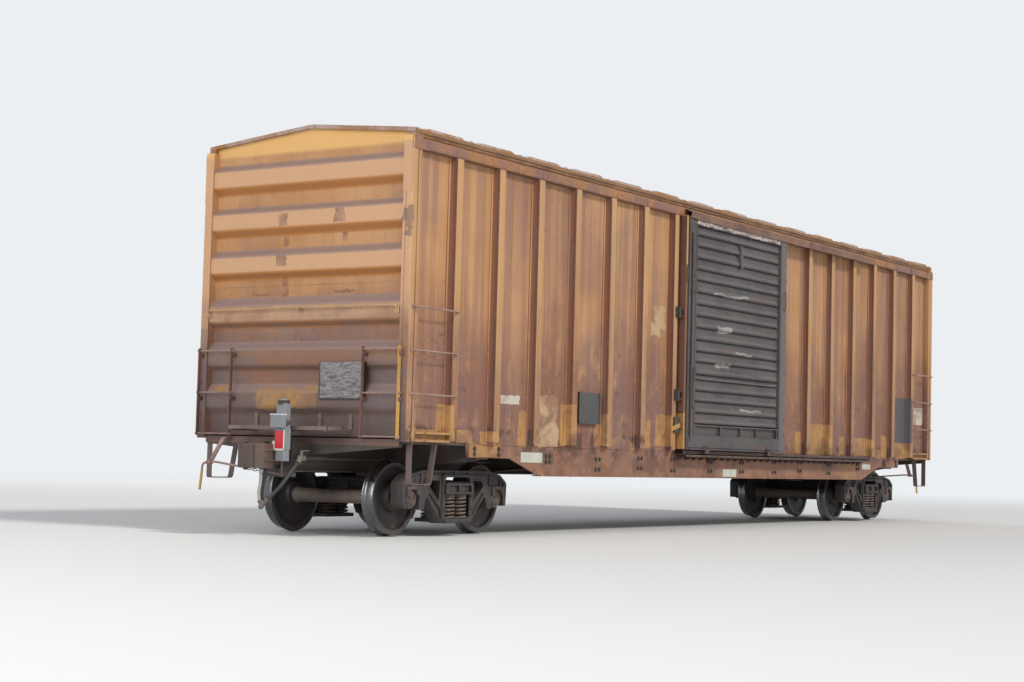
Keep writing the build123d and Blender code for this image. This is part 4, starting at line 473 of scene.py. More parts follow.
def door_paint(name):
    """Charcoal paint, lighter purple-grey on the corrugations' crests from wear and a painted highlight,
    painted shade under them, and pale scrapes.
    """
    g = Graph(name)
    up = g.axis("Z", g.normal)
    cloud = g.noise(1.1, 6.0, 0.62)
    fine = g.noise(26.0, 7.0, 0.72)
    streak = g.noise(1.0, 6.0, 0.65, g.stretched((2.2, 2.2, 14.0)))
    right = g.spread(g.axis("Y"), -1.0, -1.1)
    g.colour = g.mix(g.spread(cloud, 0.38, 0.62), DOOR_DARK, DOOR_WORN)
    g.coat(DOOR_RUST, g.spread(streak, 0.48, 0.62), 0.65)
    # Painted highlight with wear: the outer faces of the corrugations that look up turn lighter
    crest = g.product(g.spread(g.reach("Y"), 1.640, 1.652), g.spread(up, -0.1, 0.3))
    g.coat(DOOR_CREST_HIGHLIGHT_AND_WEAR, crest, g.spread(fine, 0.40, 0.60, 0.25, 0.75))
    g.coat(DOOR_SHADE, g.spread(up, -0.25, -0.60), 0.88)
    # Painted highlight: the right stile is lighter
    g.coat(DOOR_STILE_HIGHLIGHT, g.spread(g.axis("X"), 1.350, 1.362), right, 0.6)
    scrapes = g.spots("X", DOOR_SCRAPES, 0.16, 3.6)
    g.coat(DOOR_SCRAPE, right, scrapes, g.spread(cloud, 0.30, 0.60, 0.35, 0.85))
    g.coat(DOOR_BARE_TOP, right, g.spots("X", DOOR_TOP_BAND, 0.14, 4.5), g.spread(fine, 0.38, 0.56))
    relief = g.math("MULTIPLY_ADD", g.noise(80.0, 3.0), 0.3, fine)
    return g.finish(g.spread(fine, 0.3, 0.7, 0.42, 0.72), relief, 0.25, 0.004)


def weathered_board(name):
    """Bare grey boards with dark grain."""
    g = Graph(name)
    grain = g.noise(2.2, 9.0, 0.74, g.stretched((1.0, 3.0, 17.0)), 1.1)
    fine = g.noise(48.0, 5.0, 0.7, g.stretched((1.0, 0.5, 3.0)))
    g.colour = g.mix(g.spread(grain, 0.36, 0.60), BOARD_DARK, BOARD_PALE)
    g.coat(BOARD_GRAIN, g.spread(fine, 0.52, 0.68), 0.6)
    return g.finish(0.82, g.math("MULTIPLY_ADD", fine, 0.5, grain), 0.5, 0.004)


def floor_boards(name):
    """Worn planks across the floor, each of its own shade."""
    g = Graph(name)
    grain = g.noise(2.4, 8.0, 0.70, g.stretched((14.0, 1.2, 1.0)), 0.6)
    number = g.math("FLOOR", g.product(g.axis("X"), 6.9))
    board = g.node("ShaderNodeTexWhiteNoise", [("W", number)], noise_dimensions="1D")
    g.colour = g.mix(g.spread(grain, 0.35, 0.65), PLANK_DARK, PLANK_PALE)
    g.coat(PLANK_STAIN, board.outputs[0], 0.45)
    return g.finish(0.8, grain, 0.3, 0.003)


def wheel_finish(name):
    """Rust on the plates and bright steel where rail and brake shoes rub."""
    g = Graph(name)
    # The wheel's own radius: distance from the nearest axle line
    from_axles = [
        g.math("ABSOLUTE", g.math("SUBTRACT", g.reach("X"), TRUCK_X + way * WHEELBASE_HALF))
        for way in BOTH
    ]
    nearest = g.math("MINIMUM", *from_axles)
    rise = g.math("SUBTRACT", g.axis("Z"), over_rail(AXLE_HEIGHT))
    radius = g.math("SQRT", g.math("MULTIPLY_ADD", nearest, nearest, g.product(rise, rise)))
    aside = g.reach("Y")
    fine = g.noise(24.0, 7.0, 0.70)
    g.colour = g.mix(g.spread(g.noise(3.5, 6.0, 0.62), 0.40, 0.62), WHEEL_BLACK, WHEEL_BROWN)
    g.coat(WHEEL_DUST, g.spread(fine, 0.48, 0.66), 0.4)
    axle = g.product(g.spread(radius, 0.118, 0.104), g.spread(aside, 0.640, 0.620))
    g.coat(AXLE_DUST, axle, g.spread(fine, 0.30, 0.66, 0.95, 0.60))
    g.coat(WHEEL_OIL, g.spread(radius, 0.200, 0.140), g.spread(aside, 0.630, 0.650), 0.6)
    rim = g.spread(radius, 0.370, 0.375)
    g.coat(WHEEL_RIM, rim, 0.70)
    tread = g.product(g.spread(radius, 0.404, 0.406), g.spread(aside, 0.835, 0.815))
    g.coat(WHEEL_TREAD, tread)
    metal = g.math("MULTIPLY_ADD", tread, 0.90, g.product(rim, 0.12))
    roughness = g.math("SUBTRACT", g.spread(fine, 0.3, 0.7, 0.50, 0.68), g.product(tread, 0.30))
    return g.finish(roughness, fine, 0.22, 0.003, metal)


# Worn steels: name, then paint, rust and dust in thousandths of linear light, roughness, share
# of rust, share of dust, and where they aren't 1 and 0 the fineness of the grain and how
# metallic it is
STEELS = (
    ("track_metal", (150, 85, 55), (75, 32, 20), (165, 128, 130), 0.60, 0.6, 0.5),
    ("underframe", (70, 62, 58), (100, 60, 45), (165, 128, 130), 0.60, 0.5, 0.4),
    ("cast_steel", (36, 34, 36), (62, 42, 34), (125, 106, 98), 0.60, 0.5, 0.5),
    ("marker_shell", (300, 310, 320), (75, 32, 20), (165, 128, 130), 0.60, 0.1, 0.5),
    ("hose_rubber", (22, 21, 22), (35, 30, 28), (110, 100, 95), 0.55, 0.5, 0.5),
    ("worn_rod", (300, 190, 160), (160, 75, 50), (480, 350, 300), 0.48, 0.45, 0.8),
    ("worn_step", (130, 95, 85), (90, 50, 36), (280, 230, 210), 0.50, 0.5, 0.7),
    ("worn_stile", (180, 85, 60), (90, 40, 30), (330, 220, 170), 0.52, 0.5, 0.6),
    ("tan_rod", (520, 330, 160), (210, 95, 50), (620, 440, 280), 0.46, 0.35, 0.6),
    ("yellow_paint", (560, 310, 70), (200, 85, 40), (600, 420, 200), 0.50, 0.4, 0.4),
    ("grating", (190, 145, 125), (85, 46, 34), (420, 350, 310), 0.60, 0.5, 0.8),
    ("dark_plate", (62, 66, 66), (95, 60, 45), (150, 140, 130), 0.55, 0.3, 0.5),
    ("plate_white", (580, 600, 520), (300, 240, 190), (480, 460, 400), 0.50, 0.25, 0.2),
    ("dark_fitting", (40, 36, 36), (80, 46, 32), (150, 120, 105), 0.50, 0.4, 0.5),
    ("rusty_track", (105, 66, 48), (50, 30, 24), (190, 140, 115), 0.62, 0.75, 0.6),
    ("rusty_hood", (185, 90, 55), (85, 42, 34), (460, 300, 180), 0.62, 0.8, 0.8),
    ("coupler_steel", (70, 50, 42), (120, 62, 38), (210, 165, 135), 0.55, 0.5, 0.5),
    ("worn_casting", (130, 85, 60), (75, 32, 20), (165, 128, 130), 0.60, 0.5, 0.5),
    ("light_casting", (260, 235, 215), (140, 100, 80), (400, 340, 300), 0.50, 0.5, 0.6),
    ("greasy_casting", (100, 66, 60), (42, 26, 22), (260, 200, 180), 0.50, 0.8, 0.8, 3.0),
    ("spring_steel", (70, 52, 44), (95, 55, 38), (300, 230, 190), 0.46, 0.5, 0.9, 2.0, 0.1),
    ("pale_hose", (330, 310, 290), (180, 150, 130), (450, 430, 410), 0.55, 0.4, 0.5, 2.0),
    ("coupling_iron", (120, 92, 88), (110, 58, 46), (260, 210, 195), 0.45, 0.5, 0.7, 2.0, 0.2),
    ("marker_grey", (235, 255, 275), (160, 150, 150), (330, 330, 330), 0.38, 0.3, 0.5, 2.0),
    ("marker_white", (740, 740, 745), (500, 480, 460), (600, 580, 560), 0.40, 0.3, 0.3, 2.0),
    ("marker_red", (620, 30, 45), (420, 50, 50), (450, 150, 140), 0.32, 0.3, 0.2, 2.0),
    # The marker hose's top fitting: bright metal whose bluish-white colour is a painted highlight
    ("fitting_painted_highlight", (420, 500, 600), (200, 190, 190), (600, 640, 700), 0.36, 0.3, 0.4, 2.0, 0.3),
)

MATERIALS = {
    "body_paint": body_paint("body_paint"),
    "roof_metal": roof_paint("roof_metal"),
    "door_paint": door_paint("door_paint"),
    "floor_wood": floor_boards("floor_wood"),
    "board_wood": weathered_board("board_wood"),
    "wheel_steel": wheel_finish("wheel_steel"),
}
for steel, *row in STEELS:
    tones = [tuple(part / 1000 for part in tone) for tone in row[:3]]
    MATERIALS[steel] = worn_steel(steel, *tones, *row[3:])

SLOT_OF = {row["node"]: row["material_slot"] for row in frame["record"]["subparts"]}
for node_name, cad_object in frame["nodes"].items():
    cad_object.data.materials.clear()
    cad_object.data.materials.append(MATERIALS[SLOT_OF[node_name]])


def steps_between(start, stop, count):
    """Both ends and the places between them, in equal steps."""
    return [start + (stop - start) * number / count for number in range(count + 1)]


def turns(count, closed=False):
    """Angles of a full circle in equal steps, with the last one closing it if asked."""
    return [2 * math.pi * step / count for step in range(count + closed)]


def circle(centre, radius, side, other, count):
    """Points of a circle that two unit vectors span."""
    return [
        centre + radius * (math.cos(turn) * side + math.sin(turn) * other) for turn in turns(count)
    ]


def placed(axis, along, first, second):
    """A point from its place along one axis and its two other coordinates, in their order."""
    spot = [first, second]
    spot.insert("XYZ".index(axis), along)
    return Vector(spot)


def eased(start, corner, stop, steps):
    """A curve from start to stop that bends towards the corner."""
    return [
        start.lerp(corner, share).lerp(corner.lerp(stop, share), share)
        for share in steps_between(0.0, 1.0, steps)
    ]


def rounded(points, reach, steps=4):
    """A path whose inner corners are eased over the given reach along both runs."""
    points = [Vector(point) for point in points]
    path = [points[0]]
    for before, here, after in zip(points, points[1:], points[2:]):
        start = here + (before - here).normalized() * min(reach, 0.45 * (before - here).length)
        stop = here + (after - here).normalized() * min(reach, 0.45 * (after - here).length)
        path += eased(start, here, stop, steps)
    path.append(points[-1])
    return path


def loop_of(table, way=1, steps=4):
    """A closed outline from rows of (first, height over the rail, radius of the corner)."""
    places = [Vector((way * first, second)) for first, second, _ in table]
    loop = []
    for number, here in enumerate(places):
        before = places[number - 1] - here
        after = places[(number + 1) % len(places)] - here
        half = max(before.angle(after) / 2, 0.01)
        reach = min(table[number][2] / math.tan(half), 0.48 * before.length, 0.48 * after.length)
        if reach < 0.0005:
            loop.append(here)
            continue
        start = here + before.normalized() * reach
        loop += eased(start, here, here + after.normalized() * reach, steps)
    return loop


def arc(centre, radius, start, stop, steps=12):
    """Points on an arc, from one angle to another in degrees."""
    return [
        Vector((centre[0] + radius * math.cos(turn), centre[1] + radius * math.sin(turn)))
        for turn in map(math.radians, steps_between(start, stop, steps))
    ]


def rough(place, size, height):
    """A gentle unevenness of the given height that changes over the given size."""
    return noise.noise((Vector(place) + LIFT) / size) * height


class Shape:
    """Geometry of one piece, gathered from simple closed forms over the rail."""

    def __init__(self):
        self.mesh = bmesh.new()

    def skin(self, rings):
        """Join closed rings of points, one after another, into one closed form."""
        rows = [[self.mesh.verts.new(point) for point in ring] for ring in rings]
        count = len(rows[0])
        for here, there in zip(rows, rows[1:]):
            for k in range(count):
                after = (k + 1) % count
                self.mesh.faces.new((here[k], here[after], there[after], there[k]))
        self.mesh.faces.new(rows[0][::-1])
        self.mesh.faces.new(rows[-1])

    def box(self, corner, opposite):
        """A box between two opposite corners, whichever way they lie."""
        (x0, x1), (y0, y1), (z0, z1) = (sorted(pair) for pair in zip(corner, opposite))
        self.skin([[(x0, y0, z), (x1, y0, z), (x1, y1, z), (x0, y1, z)] for z in (z0, z1)])

    def bar(self, start, end, width, thick, flat):
        """A flat bar between two points; its wide face looks along `flat`."""
        start, end, flat = Vector(start), Vector(end), Vector(flat).normalized()
        across = (end - start).cross(flat).normalized() * width / 2
        deep = flat * thick / 2
        self.skin([
            [place - across - deep, place + across - deep, place + across + deep, place - across + deep]
            for place in (start, end)
        ])

    def strap(self, line, wide, thick):
        """A flat strap along a line across Y; wide and thick are half of what they measure."""
        rings = []
        for before, here, after in zip(line[:1] + line, line, line[1:] + line[-1:]):
            along = (after - before).normalized()
            deep = Vector((-along.z, 0, along.x)) * thick
            aside = Vector((0, wide, 0))
            rings.append([
                here - deep - aside, here - deep + aside, here + deep + aside, here + deep - aside,
            ])
        self.skin(rings)

    def prism(self, outline, axis, stations, bend=None):
        """An outline across X, Y or Z at each station; bend may shift each point."""
        rings = [[placed(axis, along, *point) for point in outline] for along in stations]
        self.skin([[bend(spot) for spot in ring] for ring in rings] if bend else rings)

    def plate(self, loops, axis, low, high, edge=0.004):
        """A cast or cut plate with eased edges: loops of points, its outline first and then
        its openings. Across X or Y the second number of a point is its height."""
        flat = bpy.data.curves.new("plate", "CURVE")
        flat.dimensions = "2D"
        flat.fill_mode = "BOTH"
        flat.extrude = (high - low) / 2 - edge
        flat.bevel_depth = edge
        flat.bevel_resolution = 1
        flat.offset = -edge
        for number, loop in enumerate(loops):
            area = sum(a[0] * b[1] - b[0] * a[1] for a, b in zip(loop, loop[1:] + loop[:1]))
            turned = (area > 0) == (number > 0)
            line = flat.splines.new("POLY")
            line.points.add(len(loop) - 1)
            for spot, point in zip(line.points, loop[::-1] if turned else loop):
                spot.co = (point[0], point[1], 0, 1)
            line.use_cyclic_u = True
        holder = bpy.data.objects.new("plate", flat)
        made = bpy.data.meshes.new_from_object(holder)
        part = bmesh.new()
        part.from_mesh(made)
        bmesh.ops.remove_doubles(part, verts=part.verts, dist=0.00002)
        for corner in part.verts:
            first, second, deep = corner.co
            corner.co = placed(axis, (low + high) / 2 + deep, first, second)
        part.to_mesh(made)
        part.free()
        self.mesh.from_mesh(made)
        bpy.data.objects.remove(holder)
        bpy.data.curves.remove(flat)
        bpy.data.meshes.remove(made)

    def rod(self, points, radius, sides=10):
        """A round rod through the points."""
        points = [Vector(point) for point in points]
        runs = [(b - a).normalized() for a, b in zip(points, points[1:])]
        side = runs[0].orthogonal().normalized()
        rings = []
        for point, before, after in zip(points, runs[:1] + runs, runs + runs[-1:]):
            along = (before + after).normalized()
            side = (side - along * side.dot(along)).normalized()
            rings.append(circle(point, radius, side, along.cross(side), sides))
        self.skin(rings)

    def lathe(self, profile, centre, axis, sides=32):
        """A profile of (distance along the axis, radius) turned about the axis."""
        centre, axis = Vector(centre), Vector(axis).normalized()
        side = axis.orthogonal().normalized()
        other = axis.cross(side)
        self.skin([
            circle(centre + axis * along, max(radius, 0.0005), side, other, sides)
            for along, radius in profile
        ])

    def bolt(self, place, out, radius=0.016, rise=0.014):
        """A hexagon head, with its washer, that stands on a face."""
        self.lathe([(-0.002, radius * 1.35), (0.003, radius * 1.35)], place, out, 12)
        self.lathe([(0.003, radius), (rise, radius), (rise + 0.002, radius * 0.8)], place, out, 6)

    def half_turn(self):
        """Turn everything so far by half a turn about the upright axis."""
        for corner in self.mesh.verts:
            corner.co.x = -corner.co.x
            corner.co.y = -corner.co.y

    def shift(self, offset):
        """Move everything so far."""
        bmesh.ops.translate(self.mesh, verts=self.mesh.verts, vec=Vector(offset))

    def done(
        self, name, slot, finish=None, replaces=None, body="car_body", bevel=0.0, smooth=38,
        turned=False,
    ):
        """Make the piece, give it its finish and say which body it rides on."""
        if turned:
            self.half_turn()
        self.shift(LIFT)
        bmesh.ops.recalc_face_normals(self.mesh, faces=self.mesh.faces)
        data = bpy.data.meshes.new(name)
        self.mesh.to_mesh(data)
        self.mesh.free()
        data.materials.append(MATERIALS[finish or slot])
        data.polygons.foreach_set("use_smooth", [True] * len(data.polygons))
        data.set_sharp_from_angle(angle=math.radians(smooth))
        piece = bpy.data.objects.new(name, data)
        bpy.context.scene.collection.objects.link(piece)
        if bevel:
            edge = piece.modifiers.new("edges", "BEVEL")
            edge.width = bevel
            edge.segments = 2
            edge.limit_method = "ANGLE"
            edge.angle_limit = math.radians(40)
            edge.harden_normals = True
        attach(piece, body)
        if replaces:
            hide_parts(replaces)
        return piece


POST_STATIONS = (2.630, 3.500, 4.370, 5.240, 6.110, 6.980)
POST_BOTTOM = 1.100
POST_FACE = 0.127
POST_BASE = 0.158
POST_PLATE = 0.008
POST_FOOT = 0.028
DOOR_POST_OUTER = 1.725
DOOR_POST_WIDTH = 0.115
LAP = 0.002
END_SEAM = 2.872
END_BOTTOM = 1.098
# About the distance between two points down an end plate
END_SPACING = 0.0699
# Corrugations of an end, as heights: underside end, crest bottom, crest top, slope top
END_RIBS = (
    (1.358, 1.447, 1.620, 1.712),
    (1.868, 1.941, 2.121, 2.206),
    (2.376, 2.448, 2.636, 2.734),
    (2.953, 3.033, 3.226, 3.302),
    (3.466, 3.554, 3.749, 3.810),
    (3.978, 4.067, 4.267, 4.333),
)


def side_sheet(shape, mirror):
    """The sheet of half a side; it bulges a little inwards between its posts."""
    edges = [DOOR_HALF, *POST_STATIONS, CORNER_POST_INNER]
    bottom, top = BODY_BOTTOM, CHORD_BOTTOM
    rings = []
    for low, high in zip(edges, edges[1:]):
        for share in steps_between(0.0, 1.0, 10)[: 10 if high < edges[-1] else 11]:
            station = mirror * (low + (high - low) * share)
            slack = math.sin(math.pi * share) ** 0.7 if 0 < share < 1 else 0.0
            ring = []
            for level in steps_between(bottom, top, 22):
                fade = max(0.0, math.sin(math.pi * (level - bottom) / (top - bottom))) ** 0.5
                dent = slack * fade * (0.004 + rough((station, 3.0, level), 0.9, 0.009))
                ring.append((station, -SHEET_Y + dent, level))
            rings.append(ring + [(station, -INNER_Y, top), (station, -INNER_Y, bottom)])
    shape.skin(rings)


def hat_post(shape, middle):
    """One hat-section post of the right side, with its feet lapped on the sheet."""
    base, face = POST_BASE / 2, POST_FACE / 2
    foot = base + POST_FOOT
    outer = -SHEET_Y - 0.006
    inner = -SHEET_Y + 0.001
    outside = [(-foot, outer), (-base, outer), (-face, -HALF_WIDTH)]
    outside += [(-x, y) for x, y in outside[::-1]]
    inside = [
        (foot, inner), (base - POST_PLATE, inner), (face - POST_PLATE, -HALF_WIDTH + POST_PLATE),
    ]
    inside += [(-x, y) for x, y in inside[::-1]]
    outline = rounded([(middle + x, y) for x, y in outside], 0.014, 3)
    outline += [(middle + x, y) for x, y in inside]
    shape.prism(outline, "Z", (POST_BOTTOM, CHORD_BOTTOM + LAP))


def door_post(shape, mirror):
    """The post beside the opening, and the door's stop angle."""
    low, high = sorted((mirror * DOOR_POST_OUTER, mirror * (DOOR_POST_OUTER + DOOR_POST_WIDTH)))
    outline = [(low, -INNER_Y), (low, -HALF_WIDTH), (high, -HALF_WIDTH), (high, -INNER_Y)]
    shape.prism(rounded(outline, 0.012, 2), "Z", (BODY_BOTTOM, CHORD_BOTTOM + LAP))
    shape.box(
        (mirror * (DOOR_HALF + 0.03), -SHEET_Y - 0.030, BODY_BOTTOM + 0.02),
        (mirror * DOOR_POST_OUTER, -SHEET_Y + 0.004, CHORD_BOTTOM - 0.02),
    )


def corner_channel(shape, mirror):
    """The channel along the bottom of the corner bay."""
    near = mirror * (POST_STATIONS[-1] + POST_FACE / 2)
    far = mirror * (CORNER_POST_INNER - 0.006)
    for outer, bottom, top in (
        (-HALF_WIDTH, 1.078, 1.102), (-HALF_WIDTH, 1.166, 1.190), (-SHEET_Y - 0.034, 1.085, 1.180),
    ):
        shape.box((near, outer, bottom), (far, -SHEET_Y + 0.004, top))


# Quarters of the side walls: name, whether it has a door post, -1 or 1 for the end that it
# is drawn towards, and whether a half turn takes it to the left side
WALLS = (
    ("side_wall_right_a", True, -1, False),
    ("side_wall_right_b", False, 1, False),
    ("side_wall_left_a", False, 1, True),
    ("side_wall_left_b", True, -1, True),
)


def make_side_walls():
    """The four quarters of the side walls; the left side is the right side turned round."""
    for name, with_door_post, mirror, turned in WALLS:
        shape = Shape()
        side_sheet(shape, mirror)
        for station in POST_STATIONS:
            hat_post(shape, mirror * station)
        if with_door_post:
            door_post(shape, mirror)
        corner_channel(shape, mirror)
        shape.done(f"{name}_plate", "body_paint", replaces=name, turned=turned)


SILL_BOTTOM = 0.705
SILL_LEVEL_END = 5.008
# Outline of half a side sill, from the middle to the end, as (x, height)
SILL_HALF = ((SILL_LEVEL_END, SILL_BOTTOM), (5.680, 0.915), (6.552, 0.915), (6.612, BODY_BOTTOM))
# Bolt groups of a side sill, as (distance from the middle, upper row, lower row)
SILL_BOLTS = (
    (4.820, 0.955, 0.885), (3.625, 0.935, 0.805), (2.525, 0.960, 0.830), (1.608, 0.955, 0.805),
    (0.500, 0.935, 0.805),
)
SPLICE_OUTER, SPLICE_INNER = 6.555, 5.890
# Blank white plates on the right sill, as (from x, to x, from height, to height)
SILL_PLATES = (
    (-5.442, -4.962, 0.872, 0.996), (-0.110, 0.320, 0.726, 0.838), (4.980, 5.330, 0.880, 0.965),
)


def side_sill(shape, bolts):
    """The right sill: a fish-belly web with its lips, splice plates and bolts."""
    outline = [(-x, z) for x, z in SILL_HALF[::-1]] + list(SILL_HALF)
    shape.prism(outline, "Y", (-SHEET_Y, -INNER_Y))
    shape.box((-SILL_LEVEL_END, -INNER_Y - 0.01, SILL_BOTTOM), (SILL_LEVEL_END, -INNER_Y + 0.085, 0.719))
    # Rolled lip along the bottom, and the seam strip under the sheet
    shape.box((-5.000, -SHEET_Y - 0.012, SILL_BOTTOM), (5.000, -SHEET_Y + LAP, 0.722))
    shape.box((-6.60, -SHEET_Y - 0.008, 1.070), (6.60, -SHEET_Y + LAP, 1.098))
    for mirror in BOTH:
        shape.box(
            (mirror * SPLICE_OUTER, -SHEET_Y - 0.014, 0.922), (mirror * SPLICE_INNER, -SHEET_Y + LAP, 1.062)
        )
        for station in (SPLICE_OUTER - 0.115, SPLICE_INNER + 0.045):
            for level in (0.960, 1.022):
                bolts.bolt((mirror * station, -SHEET_Y - 0.014, level), (0, -1, 0), 0.024, 0.016)
        for station, upper, lower in SILL_BOLTS:
            for level in (upper, lower):
                for step in (-0.045, 0.045):
                    bolts.bolt((mirror * station + step, -SHEET_Y, level), (0, -1, 0), 0.024, 0.014)


def make_side_sills():
    """Both side sills, and the blank plates on the right one."""
    for side, turned in SIDES:
        shape, bolts = Shape(), Shape()
        side_sill(shape, bolts)
        bolts.done(f"sill_bolts_{side}", "body_paint", "dark_fitting", smooth=40, turned=turned)
        shape.done(
            f"side_sill_{side}_plate", "body_paint", replaces=f"side_sill_{side}", bevel=0.002, turned=turned
        )
    plates = Shape()
    for start, stop, low, high in SILL_PLATES:
        plates.box((start, -SHEET_Y - 0.007, low), (stop, -SHEET_Y + LAP, high))
    plates.done("sill_plates", "body_paint", "plate_white", bevel=0.0015)


def end_plate(shape):
    """The corrugated plate of end A, softly dented, with its lap and its gable."""
    line = [(-END_VALLEY, END_BOTTOM)]
    for under, crest_low, crest_high, slope in END_RIBS:
        line += [(-END_VALLEY, under), (-END_CREST, crest_low)]
        line += [(-END_CREST, crest_high), (-END_VALLEY, slope)]
    line = rounded(line + [(-END_VALLEY, CHORD_TOP)], 0.034, 4)
    filled = []
    for here, there in zip(line, line[1:]):
        parts = max(1, round((there - here).length / END_SPACING))
        filled += [here.lerp(there, part / parts) for part in range(parts)]
    filled.append(line[-1])
    rings = []
    for across in steps_between(-INNER_Y, INNER_Y, 44):
        fade = 1.0 - (abs(across) / INNER_Y) ** 6
        ring = []
        for x, level in filled:
            dents = fade * min(1.0, max(0.25, (2.6 - level) / 1.2))
            ring.append((x + dents * rough((across, 9.0, level), 0.38, 0.016), across, level))
        rings.append(ring + [(-INNER_X, across, CHORD_TOP), (-INNER_X, across, END_BOTTOM)])
    shape.skin(rings)
    shape.box((-END_VALLEY - 0.006, -INNER_Y, END_SEAM), (-END_VALLEY + 0.01, INNER_Y, END_SEAM + 0.055))
    eave_y = INNER_Y + 0.05
    gable = [
        (-eave_y, CHORD_TOP - 0.01), (-eave_y, EAVE - 0.028), (0, PEAK - 0.028), (eave_y, EAVE - 0.028),
        (eave_y, CHORD_TOP - 0.01),
    ]
    shape.prism(gable, "X", (-END_VALLEY, -INNER_X))


def corner_post(shape, side):
    """A corner post of end A, with the groove of its seam, weld strip, cap and bolts."""
    outer, seam = side * HALF_WIDTH, side * (HALF_WIDTH - 0.018)
    corner = [
        (-END_VALLEY + LAP, side * INNER_Y), (-HALF_LENGTH, side * INNER_Y), (-HALF_LENGTH, outer),
        (-7.800, outer), (-7.796, seam), (-7.782, seam), (-7.778, outer),
        (-CORNER_POST_INNER, outer), (-CORNER_POST_INNER, side * INNER_Y),
    ]
    shape.prism(rounded(corner, 0.016, 3), "Z", (CORNER_BOTTOM, CHORD_TOP))
    shape.box(
        (-HALF_LENGTH - 0.007, side * (INNER_Y - 0.004), CORNER_BOTTOM + 0.01),
        (-HALF_LENGTH + 0.004, side * (INNER_Y + 0.032), 3.86),
    )
    proud, sunk = -HALF_LENGTH - 0.012, -HALF_LENGTH + LAP
    cap = [(proud, CHORD_TOP - 0.004), (proud, 3.90), (sunk, 3.855), (sunk, CHORD_TOP - 0.004)]
    shape.prism(cap, "Y", sorted((side * (INNER_Y - 0.008), side * (HALF_WIDTH - 0.012))))
    for level in (1.35, 1.72, 2.35):
        shape.bolt((-HALF_LENGTH, side * 1.532, level), (-1, 0, 0), 0.012, 0.010)


def make_end_walls():
    """Both ends, each with its corner posts and the bottom angle over the striker."""
    for letter, turned in ENDS:
        shape = Shape()
        end_plate(shape)
        for side in BOTH:
            corner_post(shape, side)
        shape.box((-7.858, -INNER_Y, END_BOTTOM), (-END_VALLEY + 0.005, INNER_Y, 1.112))
        shape.box((-7.858, -INNER_Y, 1.020), (-7.844, INNER_Y, 1.112))
        shape.done(
            f"end_wall_{letter}_plate", "body_paint", replaces=f"end_wall_{letter}", smooth=50, turned=turned
        )


CHORD_SEAMS = (-5.2, -2.6, 5.2, 6.9)


def wavy_fascia(spot):
    """Battering of the fascia's outer face."""
    if spot.y < -HALF_WIDTH + 0.02:
        spot.y += 0.003 + rough((spot.x, 5.0, spot.z), 0.35, 0.005)
    return spot


def make_top_chords():
    """Top chords: the fascia with its lower lip, lap seams and a drip groove over it."""
    outline = rounded([
        (-INNER_Y, CHORD_BOTTOM),
        (-HALF_WIDTH + 0.012, CHORD_BOTTOM),
        (-HALF_WIDTH, CHORD_BOTTOM + 0.012),
        (-HALF_WIDTH, FASCIA_TOP - 0.008),
        (-HALF_WIDTH + 0.010, FASCIA_TOP),
        (-ROOF_HALF_WIDTH + 0.020, FASCIA_TOP + 0.004),
        (-ROOF_HALF_WIDTH + 0.020, CHORD_TOP - 0.001),
        (-INNER_Y, CHORD_TOP - 0.001),
    ], 0.006, 2)
    for side, turned in SIDES:
        shape = Shape()
        shape.prism(outline, "X", steps_between(-CORNER_POST_INNER, CORNER_POST_INNER, 120), wavy_fascia)
        for station in CHORD_SEAMS:
            shape.box(
                (station - 0.03, -HALF_WIDTH - 0.004, CHORD_BOTTOM + 0.006),
                (station + 0.03, -HALF_WIDTH + 0.01, FASCIA_TOP - 0.004),
            )
        # Boxed ends of the chord at the corners
        for mirror in BOTH:
            shape.box(
                (mirror * 7.60, -HALF_WIDTH - 0.007, CHORD_BOTTOM - 0.004),
                (mirror * (HALF_LENGTH - 0.006), -HALF_WIDTH + 0.02, FASCIA_TOP - 0.010),
            )
        shape.done(
            f"top_chord_{side}_plate", "body_paint", replaces=f"top_chord_{side}", smooth=30, turned=turned
        )


ROOF_PITCH = 1.04
ROOF_LIFT = 0.030
ROOF_SHEET = 0.030
# Where the roof and its eaves lie in the noise that makes them uneven
ROOF_NOISE = 1.9746
EAVE_NOISE = -0.0254


def roof_lift(x, y):
    """How far the roof sheet stands up at a place: a seam at each joint and, between
    two seams, a raised panel with slanted sides."""
    share = ((x + ROOF_HALF_LENGTH) / ROOF_PITCH) % 1.0
    seam = max(0.0, 1.0 - abs(min(share, 1.0 - share)) / 0.035)
    slant = 0.10 * (abs(y) / ROOF_HALF_WIDTH - 0.5)
    rise = min(1.0, max(0.0, (share - 0.16 + slant) / 0.10))
    fall = min(1.0, max(0.0, (0.84 + slant - share) / 0.10))
    panel = min(rise, fall) * min(1.0, abs(y) / 0.16)
    return max(0.018 * min(1.0, seam * 1.6), ROOF_LIFT * (panel * panel * (3 - 2 * panel)))


def roof_ring(x):
    """The roof's section at a place along the car: its top, eaves and underside."""
    inside = ROOF_HALF_WIDTH - 0.026
    ring = [(x, -ROOF_HALF_WIDTH, CHORD_TOP)]
    for y in steps_between(-ROOF_HALF_WIDTH, ROOF_HALF_WIDTH, 36):
        base = PEAK - (PEAK - EAVE) * abs(y) / ROOF_HALF_WIDTH
        ring.append((x, y, base + roof_lift(x, y) + rough((x, y, ROOF_NOISE), 0.5, 0.006)))
    below = [
        (ROOF_HALF_WIDTH, CHORD_TOP), (inside, CHORD_TOP), (inside, EAVE - ROOF_SHEET),
        (0, PEAK - ROOF_SHEET), (-inside, EAVE - ROOF_SHEET), (-inside, CHORD_TOP),
    ]
    return ring + [(x, y, z) for y, z in below]


def wavy_eave(spot):
    """Unevenness of the drip edge along the eaves."""
    spot.z += rough((spot.x, 7.0, EAVE_NOISE), 0.6, 0.006)
    return spot


